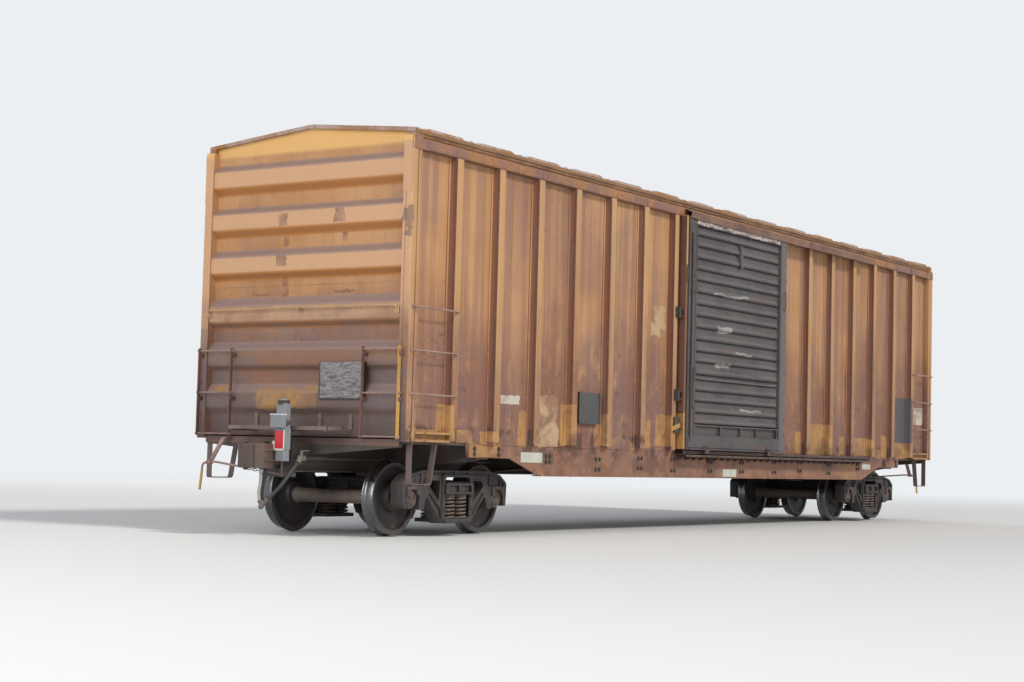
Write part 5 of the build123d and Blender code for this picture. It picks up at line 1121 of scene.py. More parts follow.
def make_roof():
    """The roof sheet with its raised panels, seams, turned-down eaves and end flanges."""
    shape = Shape()
    shape.skin([roof_ring(x) for x in steps_between(-ROOF_HALF_LENGTH, ROOF_HALF_LENGTH, 225)])
    for mirror in BOTH:
        for side in BOTH:
            rim = side * (ROOF_HALF_WIDTH - 0.004)
            shape.prism(
                [(rim, EAVE - 0.034), (0, PEAK - 0.034), (0, PEAK + 0.006), (rim, EAVE + 0.006)],
                "X", sorted((mirror * 7.792, mirror * 7.848)),
            )
            shape.box(
                (mirror * 7.70, side * 1.470, CHORD_TOP - 0.035),
                (mirror * 7.842, side * (ROOF_HALF_WIDTH + 0.006), EAVE + 0.004),
            )
    for side in BOTH:
        outline = [
            (side * (ROOF_HALF_WIDTH - 0.004), EAVE - 0.040),
            (side * (ROOF_HALF_WIDTH + 0.014), EAVE - 0.046),
            (side * (ROOF_HALF_WIDTH + 0.016), EAVE - 0.030),
            (side * (ROOF_HALF_WIDTH - 0.004), EAVE - 0.016),
        ]
        shape.prism(outline, "X", steps_between(-7.78, 7.78, 90), wavy_eave)
    shape.done("roof_sheet", "roof_metal", replaces="roof", smooth=34)


ROD = 0.010
STEP_WIDTH = 0.076


def grab(shape, start, end, out, stand):
    """A straight rod on two bent legs, each bolted down through a flat foot."""
    start, end, out = Vector(start), Vector(end), Vector(out)
    path = rounded([start, start + out * stand, end + out * stand, end], 0.034)
    shape.rod(path, ROD)
    inward = (end - start).normalized()
    for foot, way in ((start, -inward), (end, inward)):
        shape.bar(foot + way * 0.004, foot + way * 0.052, 0.040, 0.012, out)
        shape.bolt(foot + way * 0.034, out, 0.013, 0.018)
        shape.rod([foot, foot + out * 0.02], ROD * 1.4, 8)


def make_side_grab_irons():
    """Three grab irons on each side at both ends."""
    shape = Shape()
    for side in BOTH:
        for end in BOTH:
            for level in (1.607, 2.092, 2.578):
                start = (end * 7.790, side * HALF_WIDTH, level)
                stop = (end * 7.010, side * HALF_WIDTH, level)
                grab(shape, start, stop, (0, side, 0), 0.062)
    shape.done("grab_irons", "track_metal", "worn_rod", "side_grab_irons")


LADDER_FRONT = END_CREST + 0.100
RUNG_X = LADDER_FRONT - 0.022
RUNG_HEIGHTS = (1.124, 1.611, 2.104)
# Stiles of a ladder: their distance from the middle, and the wall that their brackets reach
INNER_STILE = (0.990, END_CREST)
OUTER_STILE = (1.500, HALF_LENGTH)


def make_end_ladders():
    """Ladders of two flat stiles and three rungs on each corner of both ends."""
    rungs, stiles, fresh = Shape(), Shape(), Shape()
    for end in BOTH:
        for side in BOTH:
            for edge, wall in (INNER_STILE, OUTER_STILE):
                y = side * edge
                stile = fresh if (edge, wall) == OUTER_STILE and end == side else stiles
                stile.box(
                    (end * (LADDER_FRONT - 0.045), y - 0.007, 1.100), (end * LADDER_FRONT, y + 0.007, 2.135)
                )
                for level in (1.540, 2.050):
                    stiles.box(
                        (end * wall, y - 0.012, level - 0.024),
                        (end * (LADDER_FRONT - 0.010), y - 0.004, level + 0.024),
                    )
                    stiles.bolt((end * RUNG_X, y - 0.013, level), (0, -1, 0), 0.011, 0.010)
            for level in RUNG_HEIGHTS:
                tips = [(end * RUNG_X, side * edge, level) for edge in (0.975, 1.515)]
                rungs.rod(tips, ROD)
                for tip in tips:
                    rungs.lathe([(-0.010, 0.017), (0.010, 0.017)], tip, (0, side, 0), 6)
    rungs.done("end_ladder_rungs", "track_metal", "worn_rod", "end_ladders")
    stiles.done("end_ladder_stiles", "track_metal", "worn_stile", bevel=0.0015)
    fresh.done("end_ladder_fresh_stiles", "track_metal", "yellow_paint", bevel=0.0015)


# Line of a handhold, as (distance from the wall, y, height), and its eye brackets, as (y, height)
HANDHOLD = (
    (0, -1.405, 2.545), (0.058, -1.405, 2.590), (0.062, -1.37, 2.595), (0.062, 1.39, 2.590),
    (0.058, 1.425, 2.585), (0, 1.425, 2.540),
)
HANDHOLD_EYES = ((-1.405, 2.548), (0.0, 2.580), (1.425, 2.543))


def make_end_handholds():
    """Long rods across the ends, on eye brackets."""
    shape = Shape()
    for end in BOTH:
        wall = end * END_CREST
        shape.rod(rounded([(wall + end * x, y, z) for x, y, z in HANDHOLD], 0.03, 3), ROD)
        for y, level in HANDHOLD_EYES:
            shape.box((wall, y - 0.026, level - 0.040), (wall + end * 0.016, y + 0.026, level + 0.030))
            shape.bolt((wall + end * 0.012, y, level - 0.020), (end, 0, 0), 0.014, 0.014)
        shape.box((wall, -0.008, 2.560), (wall + end * 0.066, 0.008, 2.606))
    shape.done("handhold_rods", "track_metal", "tan_rod", "end_handholds")


# Line of a sill step, as (x, height)
STEP_LINE = ((7.725, 1.072), (7.725, 0.601), (7.350, 0.601), (7.251, 1.072))


def make_sill_steps():
    """Bent strap steps under the corners; the inner leg leans and the tread is worn."""
    shape = Shape()
    for y in (-1.500, 1.500):
        for end in BOTH:
            line = rounded([(end * x, y, z) for x, z in STEP_LINE], 0.030)
            shape.strap(line, STEP_WIDTH / 2, 0.006)
            for x in (7.725, 7.256):
                shape.bolt((end * x, y, 1.045), (-end, 0, 0), 0.013, 0.012)
    shape.done("step_straps", "track_metal", "worn_step", "sill_steps", bevel=0.0015)


PLATFORM_TOP = 1.222
PLATFORM_NEAR = 7.970
PLATFORM_FAR = 8.248
PLATFORM_HALF = 0.750


def make_crossover_platforms():
    """Expanded-metal gratings in angle frames, on brackets and short hangers."""
    shape = Shape()
    top, near, far = PLATFORM_TOP, PLATFORM_NEAR, PLATFORM_FAR
    for end in BOTH:
        for x in (near, far - 0.006):
            shape.box((end * x, -PLATFORM_HALF, top - 0.042), (end * (x + 0.006), PLATFORM_HALF, top))
        for y in (-PLATFORM_HALF, PLATFORM_HALF - 0.006):
            shape.box((end * near, y, top - 0.042), (end * far, y + 0.006, top))
        for y in steps_between(-0.72, 0.72, 48):
            shape.box(
                (end * (near + 0.004), y - 0.002, top - 0.030), (end * (far - 0.004), y + 0.002, top - 0.004)
            )
        for x in steps_between(near + 0.035, far - 0.035, 6):
            shape.box((end * x - 0.002, -0.745, top - 0.026), (end * x + 0.002, 0.745, top - 0.006))
        for y in (-0.710, 0.0, 0.710):
            start, stop = (end * END_VALLEY, y, top - 0.050), (end * (far - 0.004), y, top - 0.050)
            shape.bar(start, stop, 0.020, 0.012, (0, 1, 0))
        for y in (-0.710, -0.260, 0.710):
            shape.box(
                (end * (END_VALLEY + 0.004), y - 0.024, 1.200),
                (end * (END_VALLEY + 0.016), y + 0.024, 1.452),
            )
            shape.bolt((end * (END_VALLEY + 0.014), y, 1.425), (end, 0, 0), 0.012, 0.010)
    shape.done("platform_gratings", "track_metal", "grating", "crossover_platforms")


# Board on an end: the y of its edges at end B, and its heights
BOARD_Y = (0.322, 0.978)
BOARD_HEIGHTS = (1.541, 1.963)
SIDE_PLATE_X = 3.935


def make_placard_boards():
    """A weathered board in an angle frame on each end and a dark plate on each side."""
    boards, frames = Shape(), Shape()
    low, high = BOARD_HEIGHTS
    for end in BOTH:
        wall, face = end * END_CREST, end * (END_CREST + 0.038)
        left, right = sorted((end * BOARD_Y[0], end * BOARD_Y[1]))
        boards.box((wall + end * 0.010, left, low), (wall + end * 0.032, right, high))
        frames.box((wall, left, low), (face, left + 0.014, high))
        frames.box((wall, right - 0.014, low), (face, right, high))
        frames.box((wall, left, low - 0.002), (face, right, low + 0.012))
    for side in BOTH:
        middle = side * SIDE_PLATE_X
        sheet, plate, rim = (side * (SHEET_Y + proud) for proud in (0.0, 0.046, 0.056))
        frames.box((middle - 0.258, sheet, 1.397), (middle + 0.258, plate, 1.783))
        for x in (-0.262, 0.240):
            frames.box((middle + x, sheet, 1.392), (middle + x + 0.022, rim, 1.788))
        frames.box((middle - 0.262, sheet, 1.386), (middle + 0.262, rim, 1.400))
        for x in (-0.225, 0.225):
            for level in (1.430, 1.750):
                frames.bolt((middle + x, plate, level), (0, side, 0), 0.008, 0.005)
    boards.done("placard_panels", "board_wood", replaces="placard_boards", bevel=0.002)
    frames.done("placard_frames", "track_metal", "dark_plate", bevel=0.0015)


PULLING_FACE = 8.650
# Coupler seen from above, as (x behind the pulling face, y): its head with the guard arm,
# then its knuckle
HEAD_OUTLINE = (
    (0.330, -0.080), (0.250, -0.150), (0.110, -0.172), (0.020, -0.178), (-0.058, -0.128),
    (-0.062, -0.085), (-0.030, -0.072), (0.050, -0.100), (0.105, -0.070), (0.110, 0.010),
    (0.105, 0.075), (0.075, 0.125), (0.090, 0.172), (0.190, 0.158), (0.330, 0.080),
)
KNUCKLE_OUTLINE = (
    (0.085, 0.060), (0.045, 0.040), (0.020, 0.030), (0.010, -0.010), (0.030, -0.042),
    (0.020, -0.058), (-0.020, -0.052), (-0.040, -0.005), (-0.058, 0.070), (-0.060, 0.130),
    (-0.040, 0.175), (0.020, 0.190), (0.080, 0.178), (0.102, 0.130), (0.085, 0.060),
)
KNUCKLE_PIN = ((-0.160, 0.021), (0.150, 0.021), (0.152, 0.034), (0.166, 0.030))
# Lock lift, its foot and two ribs: (x, x behind the pulling face, y, y, height, height over
# the coupler's middle line)
HEAD_BLOCKS = (
    (0.14, 0.25, -0.045, 0.045, 0.130, 0.163),
    (0.16, 0.23, -0.028, 0.028, -0.200, -0.130),
    (0.02, 0.24, -0.184, -0.150, -0.060, -0.038),
    (0.02, 0.24, -0.184, -0.150, 0.050, 0.072),
)
# Shank: (x behind the pulling face, half its width, half its height)
SHANK = ((0.300, 0.095, 0.120), (0.390, 0.065, 0.083), (0.825, 0.064, 0.082))


def make_couplers():
    """Heads with guard arm and knuckle, and their shanks."""
    face, level = -PULLING_FACE, COUPLER_HEIGHT
    head = rounded([(face + x, y) for x, y in HEAD_OUTLINE], 0.035, 3)
    knuckle = rounded([(face + x, y) for x, y in KNUCKLE_OUTLINE], 0.026, 3)[:-1]
    for letter, turned in ENDS:
        shape = Shape()
        shape.prism(head, "Z", (level - 0.140, level + 0.140))
        shape.prism(knuckle, "Z", (level - 0.134, level + 0.134))
        shape.lathe(KNUCKLE_PIN, (face + 0.052, 0.136, level), (0, 0, 1), 16)
        for near, far, right, left, low, high in HEAD_BLOCKS:
            shape.box((face + near, right, level + low), (face + far, left, level + high))
        rings = []
        for x, wide, tall in SHANK:
            corners = ((-wide, -tall), (wide, -tall), (wide, tall), (-wide, tall))
            rings.append([(face + x, y, level + z) for y, z in corners])
        shape.skin(rings)
        shape.done(
            f"coupler_{letter}_casting", "cast_steel", "coupler_steel", f"coupler_{letter}",
            bevel=0.006, smooth=50, turned=turned,
        )


# Lines of an uncoupling lever, its grip and its hanger, as (x, y, height) at end A
CUT_LEVER = (
    (-8.200, 1.196, 0.466), (-8.200, 1.162, 0.775), (-8.200, 0.967, 0.792), (-8.480, 0.200, 0.735),
)
CUT_LEVER_GRIP = ((-8.200, 1.196, 0.460), (-8.200, 1.168, 0.700))
CUT_LEVER_HANGER = (
    (-7.850, 1.060, 1.088), (-7.965, 1.060, 1.080), (-8.168, 1.060, 0.800), (-8.176, 1.060, 0.766),
)


def make_uncoupling_levers():
    """The levers with their hangers, painted grips and the chains to the couplers."""
    shape, grips = Shape(), Shape()
    for end in BOTH:
        lever, grip, hanger = (
            [(-end * x, -end * y, z) for x, y, z in line]
            for line in (CUT_LEVER, CUT_LEVER_GRIP, CUT_LEVER_HANGER)
        )
        shape.rod(rounded(lever, 0.05, 5), 0.013)
        grips.rod(grip, 0.0155)
        shape.strap(rounded(hanger, 0.03, 3), 0.032, 0.006)
        shape.lathe([(-0.03, 0.026), (0.03, 0.026)], (end * 8.200, -end * 1.060, 0.785), (0, 1, 0), 12)
        # Chain from the lever's eye to the lock lift; its links stand and lie in turn
        for link in range(4):
            x, y = end * (8.484 - link * 0.004), -end * (0.188 - link * 0.044)
            place = Vector((x, y, 0.728 - link * 0.006))
            ring = []
            for turn in turns(10, closed=True):
                along, aside = math.cos(turn) * 0.030, math.sin(turn) * 0.014
                ring.append(place + Vector((aside, along, 0) if link % 2 else (0, along, aside)))
            shape.rod(ring, 0.005, 6)
    shape.done("cut_lever_rods", "track_metal", "worn_rod", "uncoupling_levers")
    grips.done("cut_lever_grips", "track_metal", "yellow_paint")


HAND_BRAKE_Y = -0.600
HAND_BRAKE_HEIGHT = 1.850
HAND_WHEEL_RADIUS = 0.270
FIRST_SPOKE = 0.3
# Housing seen from the end, as (y, height) from its middle
BRAKE_CASE = (
    (0, -0.205), (-0.110, -0.205), (-0.185, -0.120), (-0.185, 0.080), (-0.110, 0.205),
    (0.110, 0.205), (0.185, 0.080), (0.185, -0.120), (0.110, -0.205), (0, -0.205),
)


def make_hand_brake():
    """Gear housing on end B and its spoked wheel."""
    case, wheel = Shape(), Shape()
    middle, level = HAND_BRAKE_Y, HAND_BRAKE_HEIGHT
    ahead = Vector((1, 0, 0))
    outline = rounded(BRAKE_CASE, 0.05)[:-1]
    for width, height, back, front in ((1.0, 1.0, 0.0, 0.105), (0.80, 0.82, 0.104, 0.130)):
        places = [(middle + y * width, level + z * height) for y, z in outline]
        case.prism(places, "X", (END_CREST + back, END_CREST + front))
    case.lathe([(0, 0.075), (0.030, 0.062)], (END_CREST + 0.118, middle, level), ahead, 24)
    for y, z in ((-0.15, -0.14), (0.15, -0.14), (-0.14, 0.12), (0.14, 0.12)):
        case.bolt((END_CREST + 0.104, middle + y, level + z), ahead, 0.014)
    case.done("hand_brake_case", "track_metal", "worn_casting", "hand_brake_housing", bevel=0.004)
    hub = Vector((END_CREST + 0.210, middle, level))
    rim = circle(hub, HAND_WHEEL_RADIUS, Vector((0, 1, 0)), Vector((0, 0, 1)), 48)
    wheel.rod(rim + rim[:1], 0.013)
    for turn in turns(5):
        way = Vector((0, math.cos(turn + FIRST_SPOKE), math.sin(turn + FIRST_SPOKE)))
        spoke = [
            hub + way * 0.028 - ahead * 0.025, hub + way * 0.11 - ahead * 0.025, hub + way * 0.19,
            hub + way * (HAND_WHEEL_RADIUS - 0.002),
        ]
        wheel.rod(rounded(spoke, 0.04, 3), 0.009, 8)
    wheel.lathe([(-0.060, 0.040), (0.0, 0.040), (0.010, 0.030), (0.060, 0.022)], hub, ahead, 20)
    wheel.done("hand_brake_rim", "track_metal", "worn_casting", "hand_brake_wheel")


# Air hoses of end A. The points are the route's own.
HOSE_POINTS = (
    (-8.2095, -0.300, 0.8105),
    (-8.295, -0.300, 0.725),
    (-8.400, -0.272, 0.590),
    (-8.480, -0.205, 0.465),
    (-8.535, -0.120, 0.365),
)
MARKER_HOSE_TOP = (-8.560, -0.070, 0.690)
MARKER_HOSE_POINTS = (
    MARKER_HOSE_TOP,
    (-8.560, -0.070, 0.590),
    (-8.574, -0.058, 0.490),
    (-8.578, -0.066, 0.405),
    (-8.570, -0.082, 0.345),
)
# (name, points, radius, length, CAD node, CAD node of its head, finish)
HOSES = (
    ("car_hose", HOSE_POINTS, 0.022, 0.597, "brake_hose_a", "glad_hands", "hose_rubber"),
    ("marker_air_hose", MARKER_HOSE_POINTS, 0.017, 0.349, "marker_hose", None, "pale_hose"),
)

# End-of-train marker beside the coupler head of end A. Blocks are rows of (how far before
# and behind its middle, how far to its right and left, heights over the rail).
MARKER_X = -8.400
MARKER_Y = -0.232
MARKER_BARREL = (
    (-0.055, -0.070), (0.055, -0.070), (0.058, 0.070), (-0.055, 0.070), (-0.055, -0.070),
)
MARKER_CASE = (
    (-0.050, 0.050, -0.062, 0.062, 0.822, 0.985),
    (-0.058, 0.056, -0.070, 0.070, 0.950, 1.190),
    (-0.120, -0.050, -0.088, 0.090, 1.195, 1.345),
)
MARKER_TRIM = (
    (-0.124, -0.046, -0.092, 0.094, 1.337, 1.350),
    (-0.072, 0.020, 0.060, 0.090, 0.935, 1.045),
    (-0.064, -0.056, -0.074, 0.074, 0.940, 0.962),
    (-0.064, -0.056, -0.074, -0.062, 0.945, 1.175),
)
MARKER_PANEL = ((-0.066, -0.054, -0.062, 0.060, 0.962, 1.162),)
MARKER_LAMP = (
    (0, 0.070), (0.018, 0.070), (0.022, 0.062), (0.034, 0.062), (0.038, 0.070), (0.050, 0.066),
    (0.056, 0.040),
)


def marker_blocks(table):
    """A shape with the marker's blocks of one table."""
    shape = Shape()
    for before, behind, right, left, low, high in table:
        shape.box((MARKER_X + before, MARKER_Y + right, low), (MARKER_X + behind, MARKER_Y + left, high))
    return shape


def make_end_marker():
    """The marker's parts, each with its own finish, on one clamp."""
    x, y, up = MARKER_X, MARKER_Y, (0, 0, 1)
    case = marker_blocks(MARKER_CASE)
    barrel = [(x + ahead, y + aside) for ahead, aside in MARKER_BARREL]
    case.prism(rounded(barrel, 0.03)[:-1], "Z", (1.180, 1.470))
    case.lathe([(0, 0.064), (0.05, 0.060), (0.075, 0.040)], (x, y, 1.445), up, 24)
    case.done("marker_case", "marker_shell", "marker_grey", "end_marker", bevel=0.006)
    marker_blocks(MARKER_TRIM).done("marker_trim", "marker_shell", "marker_white", bevel=0.002)
    marker_blocks(MARKER_PANEL).done("marker_panel", "marker_shell", "marker_red", bevel=0.002)
    clamp = Shape()
    clamp.lathe(MARKER_LAMP, (x, y, 1.455), up, 24)
    lens = (x - 0.02, y - 0.066, 1.255)
    clamp.lathe([(0, 0.034), (0.030, 0.034), (0.034, 0.028)], lens, (-0.4, -1, 0), 18)
    clamp.rod([(x, y, 0.652), (x, y, 0.825)], 0.017, 12)
    clamp.lathe([(-0.018, 0.022), (0.012, 0.022)], (x, y, 0.664), up, 12)
    clamp.rod([(x, y, 0.663), Vector(MARKER_HOSE_TOP) + Vector((0, 0, 0.021))], 0.013)
    low, high = COUPLER_HEIGHT - 0.034, COUPLER_HEIGHT + 0.034
    clamp.box((x - 0.046, y - 0.006, low), (x - 0.014, -0.1505, high))
    clamp.done("marker_clamp", "marker_shell", "dark_fitting", bevel=0.0015)
    top = Shape()
    top.lathe([(-0.002, 0.021), (0.010, 0.026), (0.036, 0.026), (0.042, 0.018)], MARKER_HOSE_TOP, up, 12)
    # Bright metal fitting; its bluish-white colour is a painted highlight
    top.done("marker_hose_fitting", "marker_shell", "fitting_painted_highlight")


def hose(name, points, radius, node, finish):
    """A round hose along a smooth curve that its points steer."""
    curve = bpy.data.curves.new(name, "CURVE")
    curve.dimensions = "3D"
    curve.resolution_u = 24
    curve.bevel_depth = radius
    curve.bevel_resolution = 6
    curve.use_fill_caps = True
    line = curve.splines.new("NURBS")
    line.points.add(len(points) - 1)
    for spot, point in zip(line.points, points):
        spot.co = (*point, 1)
    line.order_u = 3
    line.use_endpoint_u = True
    curve.materials.append(MATERIALS[finish])
    piece = bpy.data.objects.new(name, curve)
    bpy.context.scene.collection.objects.link(piece)
    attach(piece, "car_body")
    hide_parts(node)
    return piece


def coupling_head(name, points, radius, node):
    """The hose's end clamp and the coupling head on it."""
    shape = Shape()
    tip = Vector(points[-1])
    along = (tip - Vector(points[-2])).normalized()
    shape.lathe([
        (-0.040, radius + 0.002), (-0.036, radius + 0.007), (-0.014, radius + 0.007),
        (-0.010, radius + 0.002), (0.004, radius * 1.15), (0.020, radius * 1.35),
        (0.040, radius * 1.45), (0.056, radius * 1.15),
    ], tip, along, 20)
    side = along.cross(Vector((0, 0, 1))).normalized()
    shape.lathe([(-0.020, 0.028), (0.020, 0.028), (0.026, 0.020)], tip + along * 0.036, side, 18)
    return shape.done(name, "cast_steel", "coupling_iron", node, bevel=0.0015)


def make_hoses():
    """Both hoses, with the two coupling heads hooked into each other."""
    for name, points, radius, length, node, head_node, finish in HOSES:
        head = coupling_head(f"{name}_head", points, radius, head_node)
        lifted = [(x, y, over_rail(z)) for x, y, z in points]
        hose(name, lifted, radius, node, finish)


PIPE_END = 8.100
PIPE_Y = 0.300
PIPE_HEIGHT = 0.860
# Turned profiles of an angle cock, as (distance along, radius): body, hose end, key
COCK_BODY = (
    (-0.002, 0.030), (0.018, 0.036), (0.020, 0.030), (0.050, 0.034), (0.080, 0.036), (0.090, 0.026),
)
COCK_END = ((0, 0.026), (0.030, 0.028), (0.048, 0.028), (0.052, 0.032), (0.070, 0.032))
COCK_KEY = ((0, 0.017), (0.060, 0.015), (0.066, 0.020), (0.082, 0.018))


def make_angle_cocks():
    """An angle cock at each end of the brake pipe, with its handle."""
    shape = Shape()
    for end in BOTH:
        place = Vector((end * PIPE_END, end * PIPE_Y, PIPE_HEIGHT))
        ahead = Vector((end, 0, 0))
        key = place + ahead * 0.045
        shape.lathe(COCK_BODY, place, ahead, 18)
        shape.lathe(COCK_END, place + ahead * 0.060, (end, 0, -1), 18)
        shape.lathe(COCK_KEY, key, (0, 0, 1), 14)
        handle = [key + Vector((0, -end * 0.010, 0.080)), key + Vector((0, end * 0.104, 0.086))]
        shape.bar(*handle, 0.026, 0.010, (0, 0, 1))
    shape.done("angle_cock_castings", "cast_steel", "light_casting", "angle_cocks")


# Turned profiles of the gear under the floor, as (distance along, radius)
CYLINDER = (
    (0, 0.06), (0.015, 0.130), (0.05, 0.148), (0.05, 0.170), (0.075, 0.170), (0.075, 0.150),
    (0.36, 0.150), (0.37, 0.160), (0.39, 0.150), (0.415, 0.07), (0.47, 0.045),
)
TANK = (
    (0, 0.05), (0.02, 0.11), (0.06, 0.160), (0.12, 0.180), (0.495, 0.180), (0.495, 0.190),
    (0.505, 0.190), (0.505, 0.180), (0.88, 0.180), (0.94, 0.160), (0.98, 0.11), (1.0, 0.05),
)
HANGER_TOP = 1.055


def bolt_circle(shape, centre, radius, count, out, size, rise):
    """Bolts in a ring about a centre, on a face across X."""
    x, y, z = centre
    for turn in turns(count):
        place = (x, y + radius * math.cos(turn), z + radius * math.sin(turn))
        shape.bolt(place, (out, 0, 0), size, rise)


def brake_cylinder():
    """Brake cylinder with its flange, push rod and hanger."""
    y, z = 0.640, 0.880
    shape = Shape()
    shape.lathe(CYLINDER, (1.210, y, z), (-1, 0, 0), 36)
    shape.rod([(0.76, y, z), (0.74, y, z)], 0.018)
    bolt_circle(shape, (1.135, y, z), 0.158, 8, -1, 0.009, 0.014)
    shape.box((0.90, y - 0.10, 0.98), (1.10, y + 0.10, HANGER_TOP))
    shape.done("brake_cylinder_casting", "underframe", replaces="brake_cylinder", bevel=0.002)


def air_tank():
    """Air reservoir with its two straps and hangers."""
    y, z = 0.700, 0.850
    shape = Shape()
    shape.lathe(TANK, (-1.300, y, z), (1, 0, 0), 36)
    for x in (-1.050, -0.550):
        shape.lathe([(-0.025, 0.186), (0.025, 0.186)], (x, y, z), (1, 0, 0), 36)
        shape.box((x - 0.025, y - 0.10, 0.990), (x + 0.025, y + 0.10, HANGER_TOP))
    shape.done("air_tank", "underframe", replaces="air_reservoir", bevel=0.002)


def control_valve():
    """Control valve with its two bolted covers, its cap, its bracket and its pipe."""
    y, z = -0.700, 0.90
    shape = Shape()
    shape.box((-0.84, -0.78, 0.80), (-0.56, -0.62, 1.00))
    for x, out in ((-0.84, -1), (-0.56, 1)):
        shape.lathe([(0, 0.078), (0.012, 0.078), (0.012, 0.062), (0.030, 0.040)], (x, y, z), (out, 0, 0), 20)
        bolt_circle(shape, (x + out * 0.010, y, z), 0.066, 6, out, 0.008, 0.010)
    shape.lathe([(0, 0.060), (0.03, 0.060), (0.045, 0.03)], (-0.70, -0.78, z), (0, -1, 0), 20)
    shape.box((-0.80, -0.79, 1.00), (-0.60, -0.61, HANGER_TOP))
    shape.rod(rounded([(-0.70, -0.62, 0.87), (-0.70, -0.42, 0.87), (-0.70, -0.30, 0.862)], 0.05), 0.014)
    shape.done("control_valve_body", "underframe", replaces="control_valve", bevel=0.003)


def make_brake_gear():
    """The air brake gear that hangs under the floor."""
    brake_cylinder()
    air_tank()
    control_valve()


# Sliding doors
DOOR_HALF_WIDTH = 1.560
DOOR_BOTTOM = 1.100
DOOR_TOP = 4.372
DOOR_INNER_Y = 1.584
DOOR_OUTER_Y = 1.660
DOOR_STILE = 0.205
PANEL_HALF = DOOR_HALF_WIDTH - DOOR_STILE
PANEL_BOTTOM = 1.310
PANEL_TOP = 4.325
PANEL_Y = DOOR_INNER_Y + 0.034
# Heights of the corrugations' lower edges; the pair close together are the panels' joint
DOOR_CREASES = (
    1.457, 1.611, 1.772, 1.921, 2.083, 2.151, 2.326, 2.475, 2.637, 2.808, 2.975, 3.138,
    3.306, 3.476, 3.631, 3.788, 3.956, 4.114, 4.270,
)
# Shape of one corrugation, as (depth from the door's inner face, share of its height)
CORRUGATION = ((0.036, 0.0), (0.068, 0.10), (0.070, 0.30), (0.050, 0.66), (0.036, 0.92))
# Ribs that part the bottom band into pockets, by their x
POCKET_RIBS = (-PANEL_HALF + 0.03, -0.54, 0.10, 0.62, PANEL_HALF - 0.05)
# Frame bars, bands and brackets: (x, x, how far proud of the door's face, how far behind it,
# height, height)
DOOR_BANDS = (
    (-PANEL_HALF - 0.002, PANEL_HALF + 0.002, 0.0, DOOR_OUTER_Y - DOOR_INNER_Y, PANEL_TOP, DOOR_TOP),
    (-PANEL_HALF - 0.002, PANEL_HALF + 0.002, 0.0, DOOR_OUTER_Y - DOOR_INNER_Y, 1.102, PANEL_BOTTOM),
    (-DOOR_HALF_WIDTH + 0.02, DOOR_HALF_WIDTH - 0.02, 0.014, 0.004, 1.136, 1.290),
    (-DOOR_HALF_WIDTH + 0.05, 0.75, 0.022, 0.004, 1.102, 1.120),
    (-PANEL_HALF, PANEL_HALF, -0.002, 0.056, 1.438, 1.456),
    (-DOOR_HALF_WIDTH + 0.02, DOOR_HALF_WIDTH - 0.02, 0.006, 0.004, 4.262, 4.330),
    (-0.032, 0.008, 0.016, 0.030, 3.800, 4.110),
    (0.004, 0.062, 0.006, 0.030, 3.780, 4.000),
)


def door_panel(shape):
    """Corrugated panel: each corrugation swells out of a crease and folds back sharply."""
    line = [(-PANEL_Y, PANEL_BOTTOM), (-PANEL_Y, 1.440)]
    for crease, above in zip(DOOR_CREASES, DOOR_CREASES[1:]):
        for depth, share in CORRUGATION:
            line.append((-DOOR_INNER_Y - depth, crease + share * (above - crease)))
    line.append((-PANEL_Y, PANEL_TOP))
    soft = rounded(line, 0.016, 3)
    back = -DOOR_INNER_Y - 0.012
    rings = []
    for x in steps_between(-PANEL_HALF, PANEL_HALF, 60):
        share = min(1.0, max(0.0, (PANEL_HALF - abs(x) - 0.02) / 0.055))
        full = share * share * (3 - 2 * share)
        ring = []
        for depth, level in soft:
            swell = full * (depth + PANEL_Y + rough((x, 1.0, level), 0.5, 0.006))
            ring.append((x, swell - PANEL_Y, level))
        rings.append(ring + [(x, back, PANEL_TOP), (x, back, PANEL_BOTTOM)])
    shape.skin(rings)


def door_leaf(shape):
    """The right door, from outside: channel frame, corrugated panel, pockets and bands."""
    for mirror in BOTH:
        near, far = mirror * PANEL_HALF, mirror * DOOR_HALF_WIDTH
        back, face = -DOOR_INNER_Y, -DOOR_OUTER_Y
        outline = [(near, back), (near, face), (far, face), (far, back)]
        shape.prism(rounded(outline, 0.012, 3), "Z", (DOOR_BOTTOM + 0.002, DOOR_TOP))
        # Raised edge of the stile's flange
        shape.box(
            (mirror * (PANEL_HALF + 0.004), -DOOR_OUTER_Y - 0.005, PANEL_BOTTOM),
            (mirror * (PANEL_HALF + 0.028), -DOOR_OUTER_Y + 0.004, PANEL_TOP),
        )
    door_panel(shape)
    for x in POCKET_RIBS:
        shape.box(
            (x - 0.012, -DOOR_OUTER_Y + 0.004, PANEL_BOTTOM - 0.004),
            (x + 0.012, -DOOR_INNER_Y - 0.02, 1.455),
        )
    for start, stop, proud, deep, low, high in DOOR_BANDS:
        shape.box((start, -DOOR_OUTER_Y - proud, low), (stop, -DOOR_OUTER_Y + deep, high))


